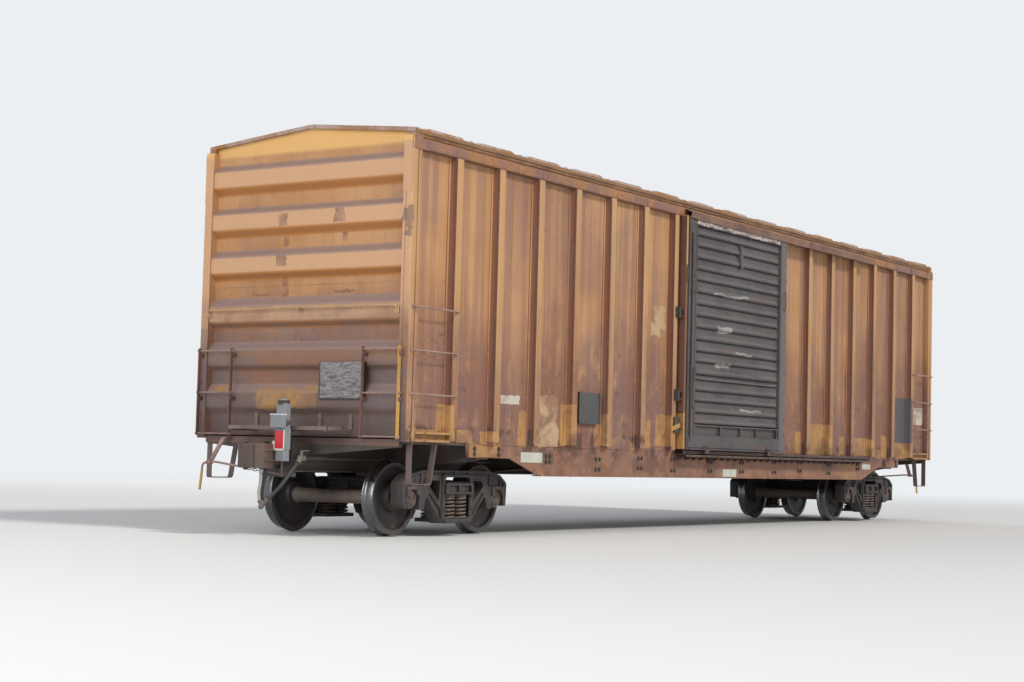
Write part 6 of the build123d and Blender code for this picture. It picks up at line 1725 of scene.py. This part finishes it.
def door_gear(shape):
    """Roller housings, lock bar with its handle, pull loops and rivets of the right door."""
    face, out = -DOOR_OUTER_Y, (0, -1, 0)
    for station in (-1.000, 1.000):
        shape.box(
            (station - 0.085, face - 0.030, DOOR_BOTTOM + 0.006),
            (station + 0.085, face, DOOR_BOTTOM + 0.066),
        )
        shape.box(
            (station - 0.060, face - 0.030, DOOR_BOTTOM - 0.046),
            (station + 0.060, face - 0.018, DOOR_BOTTOM + 0.010),
        )
        shape.bolt((station, face - 0.028, DOOR_BOTTOM + 0.036), out, 0.018, 0.014)
        for x in (-0.062, 0.062):
            shape.bolt((station + x, face - 0.028, DOOR_BOTTOM + 0.036), out, 0.009, 0.010)
    # Lock bar with its brackets, handle and latch block
    shape.rod([(-1.500, face - 0.016, 1.22), (-1.500, face - 0.016, 4.14)], 0.014)
    for level in (1.34, 1.95, 2.60, 3.30, 4.02):
        shape.box((-1.540, face - 0.012, level), (-1.460, face, level + 0.05))
        shape.box((-1.522, face - 0.030, level + 0.008), (-1.478, face - 0.010, level + 0.042))
    shape.bar((-1.490, face - 0.030, 1.72), (-1.420, face - 0.034, 2.26), 0.036, 0.012, out)
    shape.box((-1.470, face - 0.028, 1.680), (-1.400, face, 1.760))
    for x in (-1.44, 1.46):
        loop = [(x, face, 3.28), (x, face - 0.036, 3.31), (x, face - 0.036, 3.53), (x, face, 3.56)]
        shape.rod(rounded(loop, 0.02, 3), 0.008, 8)
    for mirror in BOTH:
        for level in steps_between(1.36, 4.22, 12):
            shape.bolt((mirror * (DOOR_HALF_WIDTH - 0.025), face, level), out, 0.009, 0.006)


def make_doors():
    """Both doors: the leaf and the gear of each."""
    for side, turned in SIDES:
        body = f"door_{side}"
        leaf, gear = Shape(), Shape()
        door_leaf(leaf)
        door_gear(gear)
        leaf.done(
            f"door_{side}_leaf", "door_paint", replaces=body, body=body, smooth=42, turned=turned
        )
        gear.done(
            f"door_{side}_gear", "door_paint", "dark_fitting", f"door_fittings_{side}", body,
            bevel=0.002, turned=turned,
        )


TRACK_START = -1.580
TRACK_END = 4.830
# Section of a gusset under the bottom rail, as (y, height)
RAIL_GUSSET = (
    (-SHEET_Y, 0.955), (-SHEET_Y - 0.020, 0.955), (-1.652, 1.024), (-1.652, 1.031), (-SHEET_Y, 1.031),
)
# Section of the hood over the door's top, and of a hanger in it, as (y, height)
HOOD = (
    (-1.568, 4.385), (-1.568, 4.462), (-1.582, 4.468), (-1.690, 4.426), (-1.692, 4.330),
    (-1.684, 4.330), (-1.682, 4.418), (-1.582, 4.456), (-1.578, 4.385),
)
HOOD_HANGER = ((-1.574, 4.440), (-1.676, 4.404), (-1.676, 4.380), (-1.574, 4.400))


def battered(spot):
    """Dents of the hood's lip, deepest at its start."""
    worn = max(0.0, 1.0 - (spot.x - TRACK_START) / 0.55) + 0.35
    if spot.y < -1.60:
        spot.y += worn * rough((spot.x, 3.0, spot.z), 0.10, 0.014) + 0.004
        spot.z += worn * rough((spot.x, 8.0, spot.z), 0.13, 0.016)
    return spot


def make_door_tracks():
    """Bottom rail on gussets, and the hood over the top with its battered start."""
    for side, turned in SIDES:
        rail = Shape()
        rail.box((TRACK_START, -1.668, 1.030), (TRACK_END, -SHEET_Y + 0.002, 1.046))
        rail.box((TRACK_START, -1.623, 1.046), (TRACK_END, -1.609, 1.086))
        rail.box((TRACK_START, -1.668, 1.000), (TRACK_END, -1.658, 1.046))
        for number in range(30):
            x = TRACK_START + 0.10 + number * 0.215
            rail.prism(RAIL_GUSSET, "X", (x - 0.006, x + 0.006))
        for number in range(16):
            rail.bolt((TRACK_START + 0.2 + number * 0.40, -1.668, 1.022), (0, -1, 0), 0.010, 0.008)
        rail.done(
            f"door_rail_{side}", "track_metal", "rusty_track", f"door_tracks_{side}", bevel=0.0015,
            turned=turned,
        )
        hood = Shape()
        hood.prism(HOOD, "X", steps_between(TRACK_START, TRACK_END, 150), battered)
        for number in range(11):
            x = TRACK_START + 0.25 + number * 0.60
            hood.prism(HOOD_HANGER, "X", (x - 0.004, x + 0.004))
        hood.done(f"door_hood_{side}", "track_metal", "rusty_hood", smooth=60, turned=turned)


def make_door_keepers():
    """Keepers and the lever latch on the door posts, beside the leading edge."""
    shape, levers, seals = Shape(), Shape(), Shape()
    face, proud = HALF_WIDTH, HALF_WIDTH + 0.050
    for side in BOTH:
        out = (0, side, 0)
        for level in (1.850, 3.000):
            low, high = level - 0.078, level + 0.078
            shape.box((side * 1.760, side * face, low), (side * 1.720, side * proud, high))
            for lift in (-0.060, 0.044):
                shape.box(
                    (side * 1.745, side * face, level + lift),
                    (side * 1.592, side * proud, level + lift + 0.016),
                )
            for lift in (-0.03, 0.03):
                shape.bolt((side * 1.780, side * face, level + lift), out, 0.012)
            shape.box(
                (side * 1.800, side * (face - 0.002), low), (side * 1.700, side * (face + 0.010), high)
            )
        # Box of the lever latch, low on the door post, and the latch strap higher up
        shape.box((side * 1.800, side * face, 1.330), (side * 1.665, side * (face + 0.030), 1.545))
        shape.bar(
            (side * 1.612, side * 1.645, 3.430), (side * 1.596, side * 1.648, 3.640), 0.040, 0.014, out
        )
        levers.bar(
            (side * 1.900, side * 1.600, 1.372), (side * 1.680, side * 1.612, 1.436), 0.060, 0.016, out
        )
        # Angle that closes the gap between the door post and the door's leading edge
        seals.box((side * 1.634, side * 1.500, 1.105), (side * 1.582, side * 1.640, 4.372))
    shape.done("keeper_brackets", "track_metal", "dark_fitting", "door_keepers", bevel=0.002)
    levers.done("latch_levers", "track_metal", "yellow_paint", bevel=0.003)
    seals.done("door_edge_angles", "body_paint", bevel=0.006)


# Centre sill: half its width over the webs and over the flanges, its plates, its heights
SILL_HALF_WIDTH = 0.165
SILL_FLANGE = 0.255
SILL_PLATE = 0.016
CENTER_SILL_BOTTOM = 0.705
CENTER_SILL_TOP = 1.055


def make_underframe():
    """Centre sill with its strikers and rivets, and the end floor beams."""
    sill = Shape()
    half, plate, bottom, top = SILL_HALF_WIDTH, SILL_PLATE, CENTER_SILL_BOTTOM, CENTER_SILL_TOP
    sill.prism([
        (-SILL_FLANGE, bottom), (-half + plate, bottom), (-half + plate, top - plate),
        (half - plate, top - plate), (half - plate, bottom), (SILL_FLANGE, bottom),
        (SILL_FLANGE, bottom + plate), (half, bottom + plate), (half, top), (-half, top),
        (-half, bottom + plate), (-SILL_FLANGE, bottom + plate),
    ], "X", (-8.19, 8.19))
    for end in BOTH:
        near, far = end * 8.150, end * 8.230
        sill.box((near, -0.230, 0.985), (far, 0.230, 1.045))
        sill.box((near, -0.230, 0.645), (far, 0.230, 0.735))
        for side in BOTH:
            sill.box((near, side * 0.100, 0.735), (far, side * 0.230, 0.985))
            for level in (0.68, 1.015):
                sill.bolt((far, side * 0.180, level), (end, 0, 0), 0.018, 0.016)
        for x in (7.95, 7.55, 7.15):
            for side in BOTH:
                for level in (0.76, 0.86, 0.96):
                    sill.bolt((end * x, side * half, level), (0, side, 0), 0.014, 0.012)
        # End floor beam and its hangers, between the striker and the end plate
        for side in BOTH:
            outline = [
                (side * half, 0.900), (side * 1.440, 1.010), (side * 1.440, 1.085), (side * half, 1.085),
            ]
            sill.prism(outline, "X", sorted((end * 7.770, end * 7.845)))
    sill.done("center_sill_beam", "underframe", replaces="center_sill", bevel=0.003)


# Trucks, drawn about their own centre. Outlines are tables of (distance from the middle,
# height over the rail, radius of the corner).
FRAME_INNER_Y = -0.915
FRAME_OUTER_Y = -1.092
COLUMN_Y = -1.112
RECESS = 0.022
FRAME_HALF = (
    (0.300, 0.132, 0.060), (0.568, 0.430, 0.012), (0.604, 0.430, 0.012), (0.645, 0.296, 0.014),
    (0.735, 0.296, 0.014), (0.735, 0.545, 0.014), (0.992, 0.545, 0.014), (0.992, 0.345, 0.014),
    (1.052, 0.345, 0.014), (1.064, 0.610, 0.050), (0.930, 0.706, 0.090), (0.660, 0.757, 0.160),
)
WINDOW = (
    (-0.250, 0.185, 0.020), (0.250, 0.185, 0.020), (0.250, 0.676, 0.050), (-0.250, 0.676, 0.050),
)
COLUMNS = (
    (-0.305, 0.150, 0.050), (0.305, 0.150, 0.050), (0.305, 0.711, 0.050), (-0.305, 0.711, 0.050),
)
LIGHTENER = (
    (0.338, 0.645, 0.024), (0.520, 0.645, 0.046), (0.560, 0.560, 0.030), (0.350, 0.378, 0.024),
)
TOP_RECESS = (
    (0.040, 0.702, 0.010), (0.040, 0.734, 0.010), (0.630, 0.734, 0.060), (0.890, 0.684, 0.060),
    (1.012, 0.600, 0.020), (1.012, 0.572, 0.012), (0.650, 0.572, 0.012), (0.596, 0.690, 0.030),
    (0.560, 0.702, 0.030),
)
ARM_RECESS = (
    (0.300, 0.170, 0.012), (0.548, 0.446, 0.014), (0.548, 0.500, 0.012), (0.318, 0.300, 0.012),
)
# Core-hole bosses, as (distance from the middle, height, radius)
FRAME_BOSSES = ((0.436, 0.718, 0.011), (0.790, 0.640, 0.014), (0.420, 0.262, 0.012))
# Ribs across the top member, as (distance from the middle, foot, top)
FRAME_RIBS = ((0.240, 0.700, 0.738), (0.700, 0.575, 0.730), (0.930, 0.575, 0.686))
SPRING_SEAT = [(-0.270, -1.134), (0.270, -1.134), (0.270, -0.680), (-0.270, -0.680)]


def side_frame(shape):
    """One cast side frame, at -Y: a core with a raised rim, proud columns and a seat."""
    outer, inner = FRAME_OUTER_Y, FRAME_INNER_Y
    outline = loop_of(FRAME_HALF + tuple((-x, z, r) for x, z, r in FRAME_HALF[::-1]))
    window = loop_of(WINDOW)
    core = [outline, window] + [loop_of(LIGHTENER, way) for way in BOTH]
    rim = core + [loop_of(table, way) for table in (TOP_RECESS, ARM_RECESS) for way in BOTH]
    shape.plate(core, "Y", outer + RECESS, inner - RECESS, 0.006)
    shape.plate(rim, "Y", outer, outer + RECESS + 0.006, 0.006)
    shape.plate(rim, "Y", inner - RECESS - 0.006, inner, 0.006)
    shape.plate([loop_of(COLUMNS), window], "Y", COLUMN_Y, -1.000, 0.007)
    for way in BOTH:
        # Raised lip round the lightening opening, wear plate bolts and core-hole bosses
        ring = [(x, outer - 0.001, z) for x, z in loop_of(LIGHTENER, way)]
        shape.rod(ring + ring[:1], 0.010, 8)
        for level in (0.300, 0.450, 0.590):
            shape.bolt((way * 0.278, COLUMN_Y, level), (0, -1, 0), 0.012, 0.012)
        for x, z, size in FRAME_BOSSES:
            shape.lathe(
                [(-0.004, size * 1.3), (0.012, size)], (way * x, outer + RECESS, z), (0, -1, 0), 12
            )
        for x, foot, top in FRAME_RIBS:
            shape.box(
                (way * (x - 0.007), outer + 0.003, foot), (way * (x + 0.007), outer + RECESS + 0.002, top)
            )
        # Block of the brake beam's guide inside, and the lug at the foot of the outer jaw
        shape.box((way * 0.300, inner - 0.004, 0.300), (way * 0.395, inner + 0.020, 0.400))
        shape.box((way * 0.988, outer - 0.008, 0.330), (way * 1.030, inner + 0.004, 0.352))
    # Spring seat: a shelf with a lip outside
    shape.plate([SPRING_SEAT], "Z", 0.141, 0.1855, 0.006)
    shape.box((-0.250, -1.112, 0.180), (0.250, -1.103, 0.208))


def adapter(shape, way):
    """The casting that sits on one bearing, in the jaw of the frame, with its raised lugs."""
    jaw, outer = way * WHEELBASE_HALF, FRAME_OUTER_Y
    block = [(jaw + 0.1275, 0.5455), (jaw - 0.1275, 0.5455)]
    block += arc((jaw, AXLE_HEIGHT), 0.115, 166, 14, 16)
    shape.plate([block], "Y", outer - 0.012, FRAME_INNER_Y + 0.012, 0.002)
    for reach in (-0.095, 0.095):
        shape.box((jaw + reach - 0.026, outer - 0.018, 0.478), (jaw + reach + 0.026, outer + 0.004, 0.562))
    shape.box((jaw - 0.060, outer - 0.016, 0.536), (jaw + 0.060, outer + 0.004, 0.572))


# The bolster seen along the car, as (distance from the middle line, height, radius)
BOLSTER_SIDE = (
    (-1.118, 0.470, 0.0), (-0.700, 0.470, 0.120), (-0.520, 0.420, 0.120), (0.520, 0.420, 0.120),
    (0.700, 0.470, 0.120), (1.118, 0.470, 0.0), (1.118, 0.618, 0.030), (0.820, 0.640, 0.060),
    (-0.820, 0.640, 0.060), (-1.118, 0.618, 0.030),
)
BOLSTER_OPENINGS = (
    ((0.150, 0.500, 0.030), (0.400, 0.500, 0.030), (0.400, 0.600, 0.030), (0.150, 0.600, 0.030)),
    ((0.500, 0.505, 0.030), (0.770, 0.520, 0.030), (0.770, 0.600, 0.030), (0.500, 0.600, 0.030)),
)
END_PLATE = (
    (-0.280, 0.477, 0.012), (0.280, 0.477, 0.012), (0.270, 0.603, 0.016), (-0.270, 0.603, 0.016),
)
END_POCKET = (
    (0.026, 0.500, 0.012), (0.238, 0.500, 0.016), (0.228, 0.580, 0.016), (0.026, 0.580, 0.016),
)
# Ring of the centre plate, as (height over its foot, radius)
CENTRE_PLATE = ((0, 0.180), (0.020, 0.180), (0.020, 0.166), (0.006, 0.160), (0.006, 0.03))


def bolster(shape):
    """A cast box bolster with openings in its webs, ribbed ends and its centre plate."""
    outline = loop_of(BOLSTER_SIDE)
    openings = [loop_of(table, way) for table in BOLSTER_OPENINGS for way in BOTH]
    pockets = [loop_of(END_POCKET, way) for way in BOTH]
    shape.plate([outline], "X", -0.196, 0.196, 0.004)
    shape.lathe(CENTRE_PLATE, (0, 0, 0.634), (0, 0, 1), 40)
    for side in BOTH:
        shape.plate([outline] + openings, "X", *sorted((side * 0.190, side * 0.220)), 0.006)
        shape.plate([loop_of(END_PLATE)] + pockets, "Y", *sorted((side * 1.118, side * 1.150)), 0.004)
        for x in (-0.080, 0.080):
            shape.box((x - 0.050, side * 0.580, 0.630), (x + 0.050, side * 0.700, 0.652))


SPRING_PLACES = ((-0.118, -1.018), (0.118, -1.018), (-0.118, -0.792), (0.118, -0.792))
SPRING_BOTTOM = 0.186
SPRING_TOP = 0.469
# The outer coil and the one inside it: (radius of the coil, radius of the wire, its turns)
COILS = ((0.0985, 0.0135, 7), (0.058, 0.010, 9))


def coil_spring(shape, place, radius, wire, coils):
    """A helical spring with flat closed ends, between the seat and the bolster."""
    low, high = SPRING_BOTTOM + wire, SPRING_TOP - wire
    points = []
    for share in steps_between(0.0, 1.0, coils * 20):
        rise = min(1.0, max(0.0, (share - 0.6 / coils) / (1.0 - 1.2 / coils)))
        turn = 2 * math.pi * coils * share
        points.append((
            place[0] + radius * math.cos(turn),
            place[1] + radius * math.sin(turn),
            low + (high - low) * rise,
        ))
    shape.rod(points, wire, 8)


BEAM_HEIGHT = 0.350
# Brake head and the shoe on it: (near radius, far radius, half its angle, half its width)
BRAKE_HEAD = ((0.4325, 0.470, 22, 0.039), (0.468, 0.486, 13, 0.032))
BRAKE_HEAD_Y = 0.760


def brake_beam(shape, way):
    """One beam with its tension rod, strut and lever, and a head with its shoe at each end."""
    x, z = way * 0.345, BEAM_HEIGHT
    shape.rod([(x, y, z) for y in (-0.913, -0.800, 0.800, 0.913)], 0.026, 14)
    tension = [(x, -0.745, z), (way * 0.279, -0.05, z), (way * 0.279, 0.05, z), (x, 0.745, z)]
    shape.rod(rounded(tension, 0.06), 0.014)
    shape.box((way * 0.262, -0.028, z - 0.044), (way * 0.360, 0.028, z + 0.044))
    shape.bar((way * 0.300, 0, z - 0.080), (way * 0.268, 0, z + 0.170), 0.060, 0.020, (0, 1, 0))
    axle = (way * WHEELBASE_HALF, AXLE_HEIGHT)
    facing = 189 if way > 0 else -9
    for y in (-BRAKE_HEAD_Y, BRAKE_HEAD_Y):
        for near, far, half, wide in BRAKE_HEAD:
            inside = arc(axle, near, facing - half, facing + half)
            outside = arc(axle, far, facing + half, facing - half)
            shape.plate([inside + outside], "Y", y - wide, y + wide, 0.003)
        shape.box((way * 0.325, y - 0.030, z - 0.045), (way * 0.400, y + 0.030, z + 0.045))


def both_frames(shape):
    """Two side frames, one the other turned round."""
    side_frame(shape)
    shape.half_turn()
    side_frame(shape)


def four_adapters(shape):
    """An adapter on each bearing: two at -Y, turned round, and then two more."""
    for _ in range(2):
        shape.half_turn()
        for way in BOTH:
            adapter(shape, way)


def spring_set(shape):
    """Two coils at each place of both spring groups."""
    for x, y in SPRING_PLACES:
        for side in BOTH:
            for radius, wire, coils in COILS:
                coil_spring(shape, (x, -side * y), radius, wire, coils)


def both_beams(shape):
    """The brake beams of both axles."""
    for way in BOTH:
        brake_beam(shape, way)


# Pieces of a truck: what draws it, name, finish, CAD node it stands for, smoothing angle
TRUCK_PIECES = (
    (both_frames, "side_frame_castings", None, "side_frames", 40),
    (four_adapters, "bearing_adapters", "greasy_casting", None, 40),
    (bolster, "bolster_casting", None, "truck_bolster", 40),
    (spring_set, "spring_set", "spring_steel", "springs", 80),
    (both_beams, "brake_beam_set", "worn_casting", "brake_beams", 40),
)


def make_trucks():
    """Side frames, bearing adapters, bolster, springs and brake beams of both trucks."""
    for letter, end in (("a", -1), ("b", 1)):
        for draw, name, finish, node, smooth in TRUCK_PIECES:
            shape = Shape()
            draw(shape)
            shape.shift((end * TRUCK_X, 0, 0))
            shape.done(
                f"{name}_{letter}", "cast_steel", finish, node and f"{node}_{letter}",
                f"truck_{letter}", smooth=smooth,
            )


# Turned profiles of (distance from the car's middle line, radius)
WHEEL_PROFILE = (
    (0.0, 0.078), (0.560, 0.084), (0.630, 0.100), (0.648, 0.112), (0.652, 0.150), (0.664, 0.156),
    (0.690, 0.165), (0.704, 0.210), (0.712, 0.290), (0.700, 0.345), (0.688, 0.362), (0.680, 0.370),
    (0.678, 0.374), (0.678, 0.432), (0.684, 0.441), (0.692, 0.4445), (0.701, 0.441), (0.709, 0.430),
    (0.722, 0.4205), (0.740, 0.4185), (0.815, 0.4145), (0.822, 0.409), (0.823, 0.374), (0.818, 0.366),
    (0.770, 0.352), (0.756, 0.300), (0.752, 0.220), (0.762, 0.168), (0.800, 0.158), (0.842, 0.150),
    (0.846, 0.110), (0.850, 0.098), (0.898, 0.092),
)
BEARING_PROFILE = (
    (0.880, 0.090), (0.886, 0.098), (0.896, 0.104), (0.904, 0.110), (0.926, 0.112), (0.930, 0.108),
    (0.940, 0.108), (0.944, 0.112), (1.044, 0.112), (1.050, 0.107), (1.060, 0.105), (1.064, 0.100),
    (1.070, 0.097), (1.074, 0.074), (1.078, 0.070), (1.080, 0.034),
)
# Cap screws of a bearing: radius of their circle and the angle of the first one
SCREW_CIRCLE = 0.052
SCREW_ANGLE = 0.5


def make_wheelsets():
    """Axle, two wheels with dished plates and tapered treads, and roller bearings."""
    stations = [end * TRUCK_X + way * WHEELBASE_HALF for end in BOTH for way in BOTH]
    profile = [(-y, radius) for y, radius in WHEEL_PROFILE[:0:-1]] + list(WHEEL_PROFILE)
    for number, x in enumerate(stations, start=1):
        body = f"wheelset_{number}"
        wheels = Shape()
        wheels.lathe(profile, (x, 0, AXLE_HEIGHT), (0, 1, 0), 96)
        wheels.done(f"wheels_and_axle_{number}", "wheel_steel", replaces=body, body=body, smooth=40)
        bearings = Shape()
        for side in BOTH:
            bearings.lathe(BEARING_PROFILE, (x, 0, AXLE_HEIGHT), (0, side, 0), 48)
            for turn in turns(3):
                across = SCREW_CIRCLE * math.cos(turn + SCREW_ANGLE)
                up = SCREW_CIRCLE * math.sin(turn + SCREW_ANGLE)
                bearings.bolt((x + across, side * 1.076, AXLE_HEIGHT + up), (0, side, 0), 0.016, 0.014)
        bearings.done(f"bearings_{number}", "wheel_steel", "greasy_casting", body=body, smooth=40)


BACKDROP = (0.84, 0.86, 0.88)
FLOOR_COLOUR = (0.80, 0.80, 0.79)
FLOOR_HALF = 150
# Distances from the origin between which the floor turns into the backdrop
FLOOR_FADE = (14.0, 42.0)


def make_floor():
    """A pale floor that turns into the backdrop far from the car, without a horizon."""
    g = Graph("stage_floor", FLOOR_COLOUR)
    g.finish(0.9)
    glow = g.node("ShaderNodeEmission", [(0, BACKDROP), (1, 1.0)])
    flat = g.node("ShaderNodeVectorMath", [(0, g.place)], operation="LENGTH")
    share = g.spread(flat.outputs["Value"], *FLOOR_FADE)
    values = [(0, share), (1, g.shader.outputs[0]), (2, glow.outputs[0])]
    g.put(g.output.inputs[0], g.node("ShaderNodeMixShader", values).outputs[0])
    mesh = bpy.data.meshes.new("floor")
    corners = [(x * FLOOR_HALF, y * FLOOR_HALF, 0) for x, y in ((-1, -1), (1, -1), (1, 1), (-1, 1))]
    mesh.from_pydata(corners, [], [(0, 1, 2, 3)])
    mesh.materials.append(g.material)
    ground = bpy.data.objects.new("floor_plane", mesh)
    bpy.context.scene.collection.objects.link(ground)


SKY_LIGHT = (0.84, 0.90, 1.0)
SKY_STRENGTH = 0.34


def make_world():
    """The backdrop as the camera sees it, and a softer, cooler light for the car."""
    world = bpy.data.worlds.new("world")
    bpy.context.scene.world = world
    world.use_nodes = True
    tree = world.node_tree
    tree.nodes.clear()
    rays = tree.nodes.new("ShaderNodeLightPath")
    seen = tree.nodes.new("ShaderNodeBackground")
    seen.inputs[0].default_value = (*BACKDROP, 1)
    lit = tree.nodes.new("ShaderNodeBackground")
    lit.inputs[0].default_value = (*SKY_LIGHT, 1)
    lit.inputs[1].default_value = SKY_STRENGTH
    # The backdrop shows to camera, glossy and transmission rays
    shown = rays.outputs["Is Camera Ray"]
    for kind in ("Is Glossy Ray", "Is Transmission Ray"):
        either = tree.nodes.new("ShaderNodeMath")
        either.operation = "MAXIMUM"
        tree.links.new(shown, either.inputs[0])
        tree.links.new(rays.outputs[kind], either.inputs[1])
        shown = either.outputs[0]
    blend = tree.nodes.new("ShaderNodeMixShader")
    output = tree.nodes.new("ShaderNodeOutputWorld")
    tree.links.new(shown, blend.inputs[0])
    tree.links.new(lit.outputs[0], blend.inputs[1])
    tree.links.new(seen.outputs[0], blend.inputs[2])
    tree.links.new(blend.outputs[0], output.inputs[0])


# Lamps: (name, place, size, power, colour)
AREA_LAMPS = (
    ("end_fill", (-34, -6, 12), 14, 4000, (1.0, 0.97, 0.93)),
    ("low_side", (-10, -30, 5), 16, 1500, (1.0, 0.97, 0.92)),
    ("back", (18, 26, 18), 18, 1900, (0.97, 0.98, 1.0)),
)
LAMP_AIM = Vector((0, 0, 1.5))
KEY_FROM = (3, -30, 27)
KEY_POWER = 1.75
KEY_ANGLE = 9.0
KEY_COLOUR = (1.0, 0.965, 0.91)


def make_lamps():
    """A soft sun and three area lamps, all aimed at the middle of the car."""
    sun = bpy.data.lights.new("key", "SUN")
    sun.energy = KEY_POWER
    sun.angle = math.radians(KEY_ANGLE)
    sun.color = KEY_COLOUR
    lamps = [(sun, KEY_FROM)]
    for name, place, size, power, colour in AREA_LAMPS:
        light = bpy.data.lights.new(name, "AREA")
        light.size = size
        light.energy = power
        light.color = colour
        lamps.append((light, place))
    for light, place in lamps:
        lamp = bpy.data.objects.new(light.name, light)
        bpy.context.scene.collection.objects.link(lamp)
        lamp.location = place
        lamp.rotation_euler = (LAMP_AIM - Vector(place)).to_track_quat("-Z", "Y").to_euler()


make_camera()
make_hoses()
make_side_walls()
make_side_sills()
make_end_walls()
make_top_chords()
make_roof()
make_doors()
make_door_tracks()
make_door_keepers()
make_side_grab_irons()
make_end_ladders()
make_end_handholds()
make_sill_steps()
make_crossover_platforms()
make_placard_boards()
make_couplers()
make_uncoupling_levers()
make_hand_brake()
make_end_marker()
make_angle_cocks()
make_brake_gear()
make_underframe()
make_trucks()
make_wheelsets()
make_floor()
make_world()
make_lamps()
bpy.context.scene.view_settings.view_transform = "Standard"
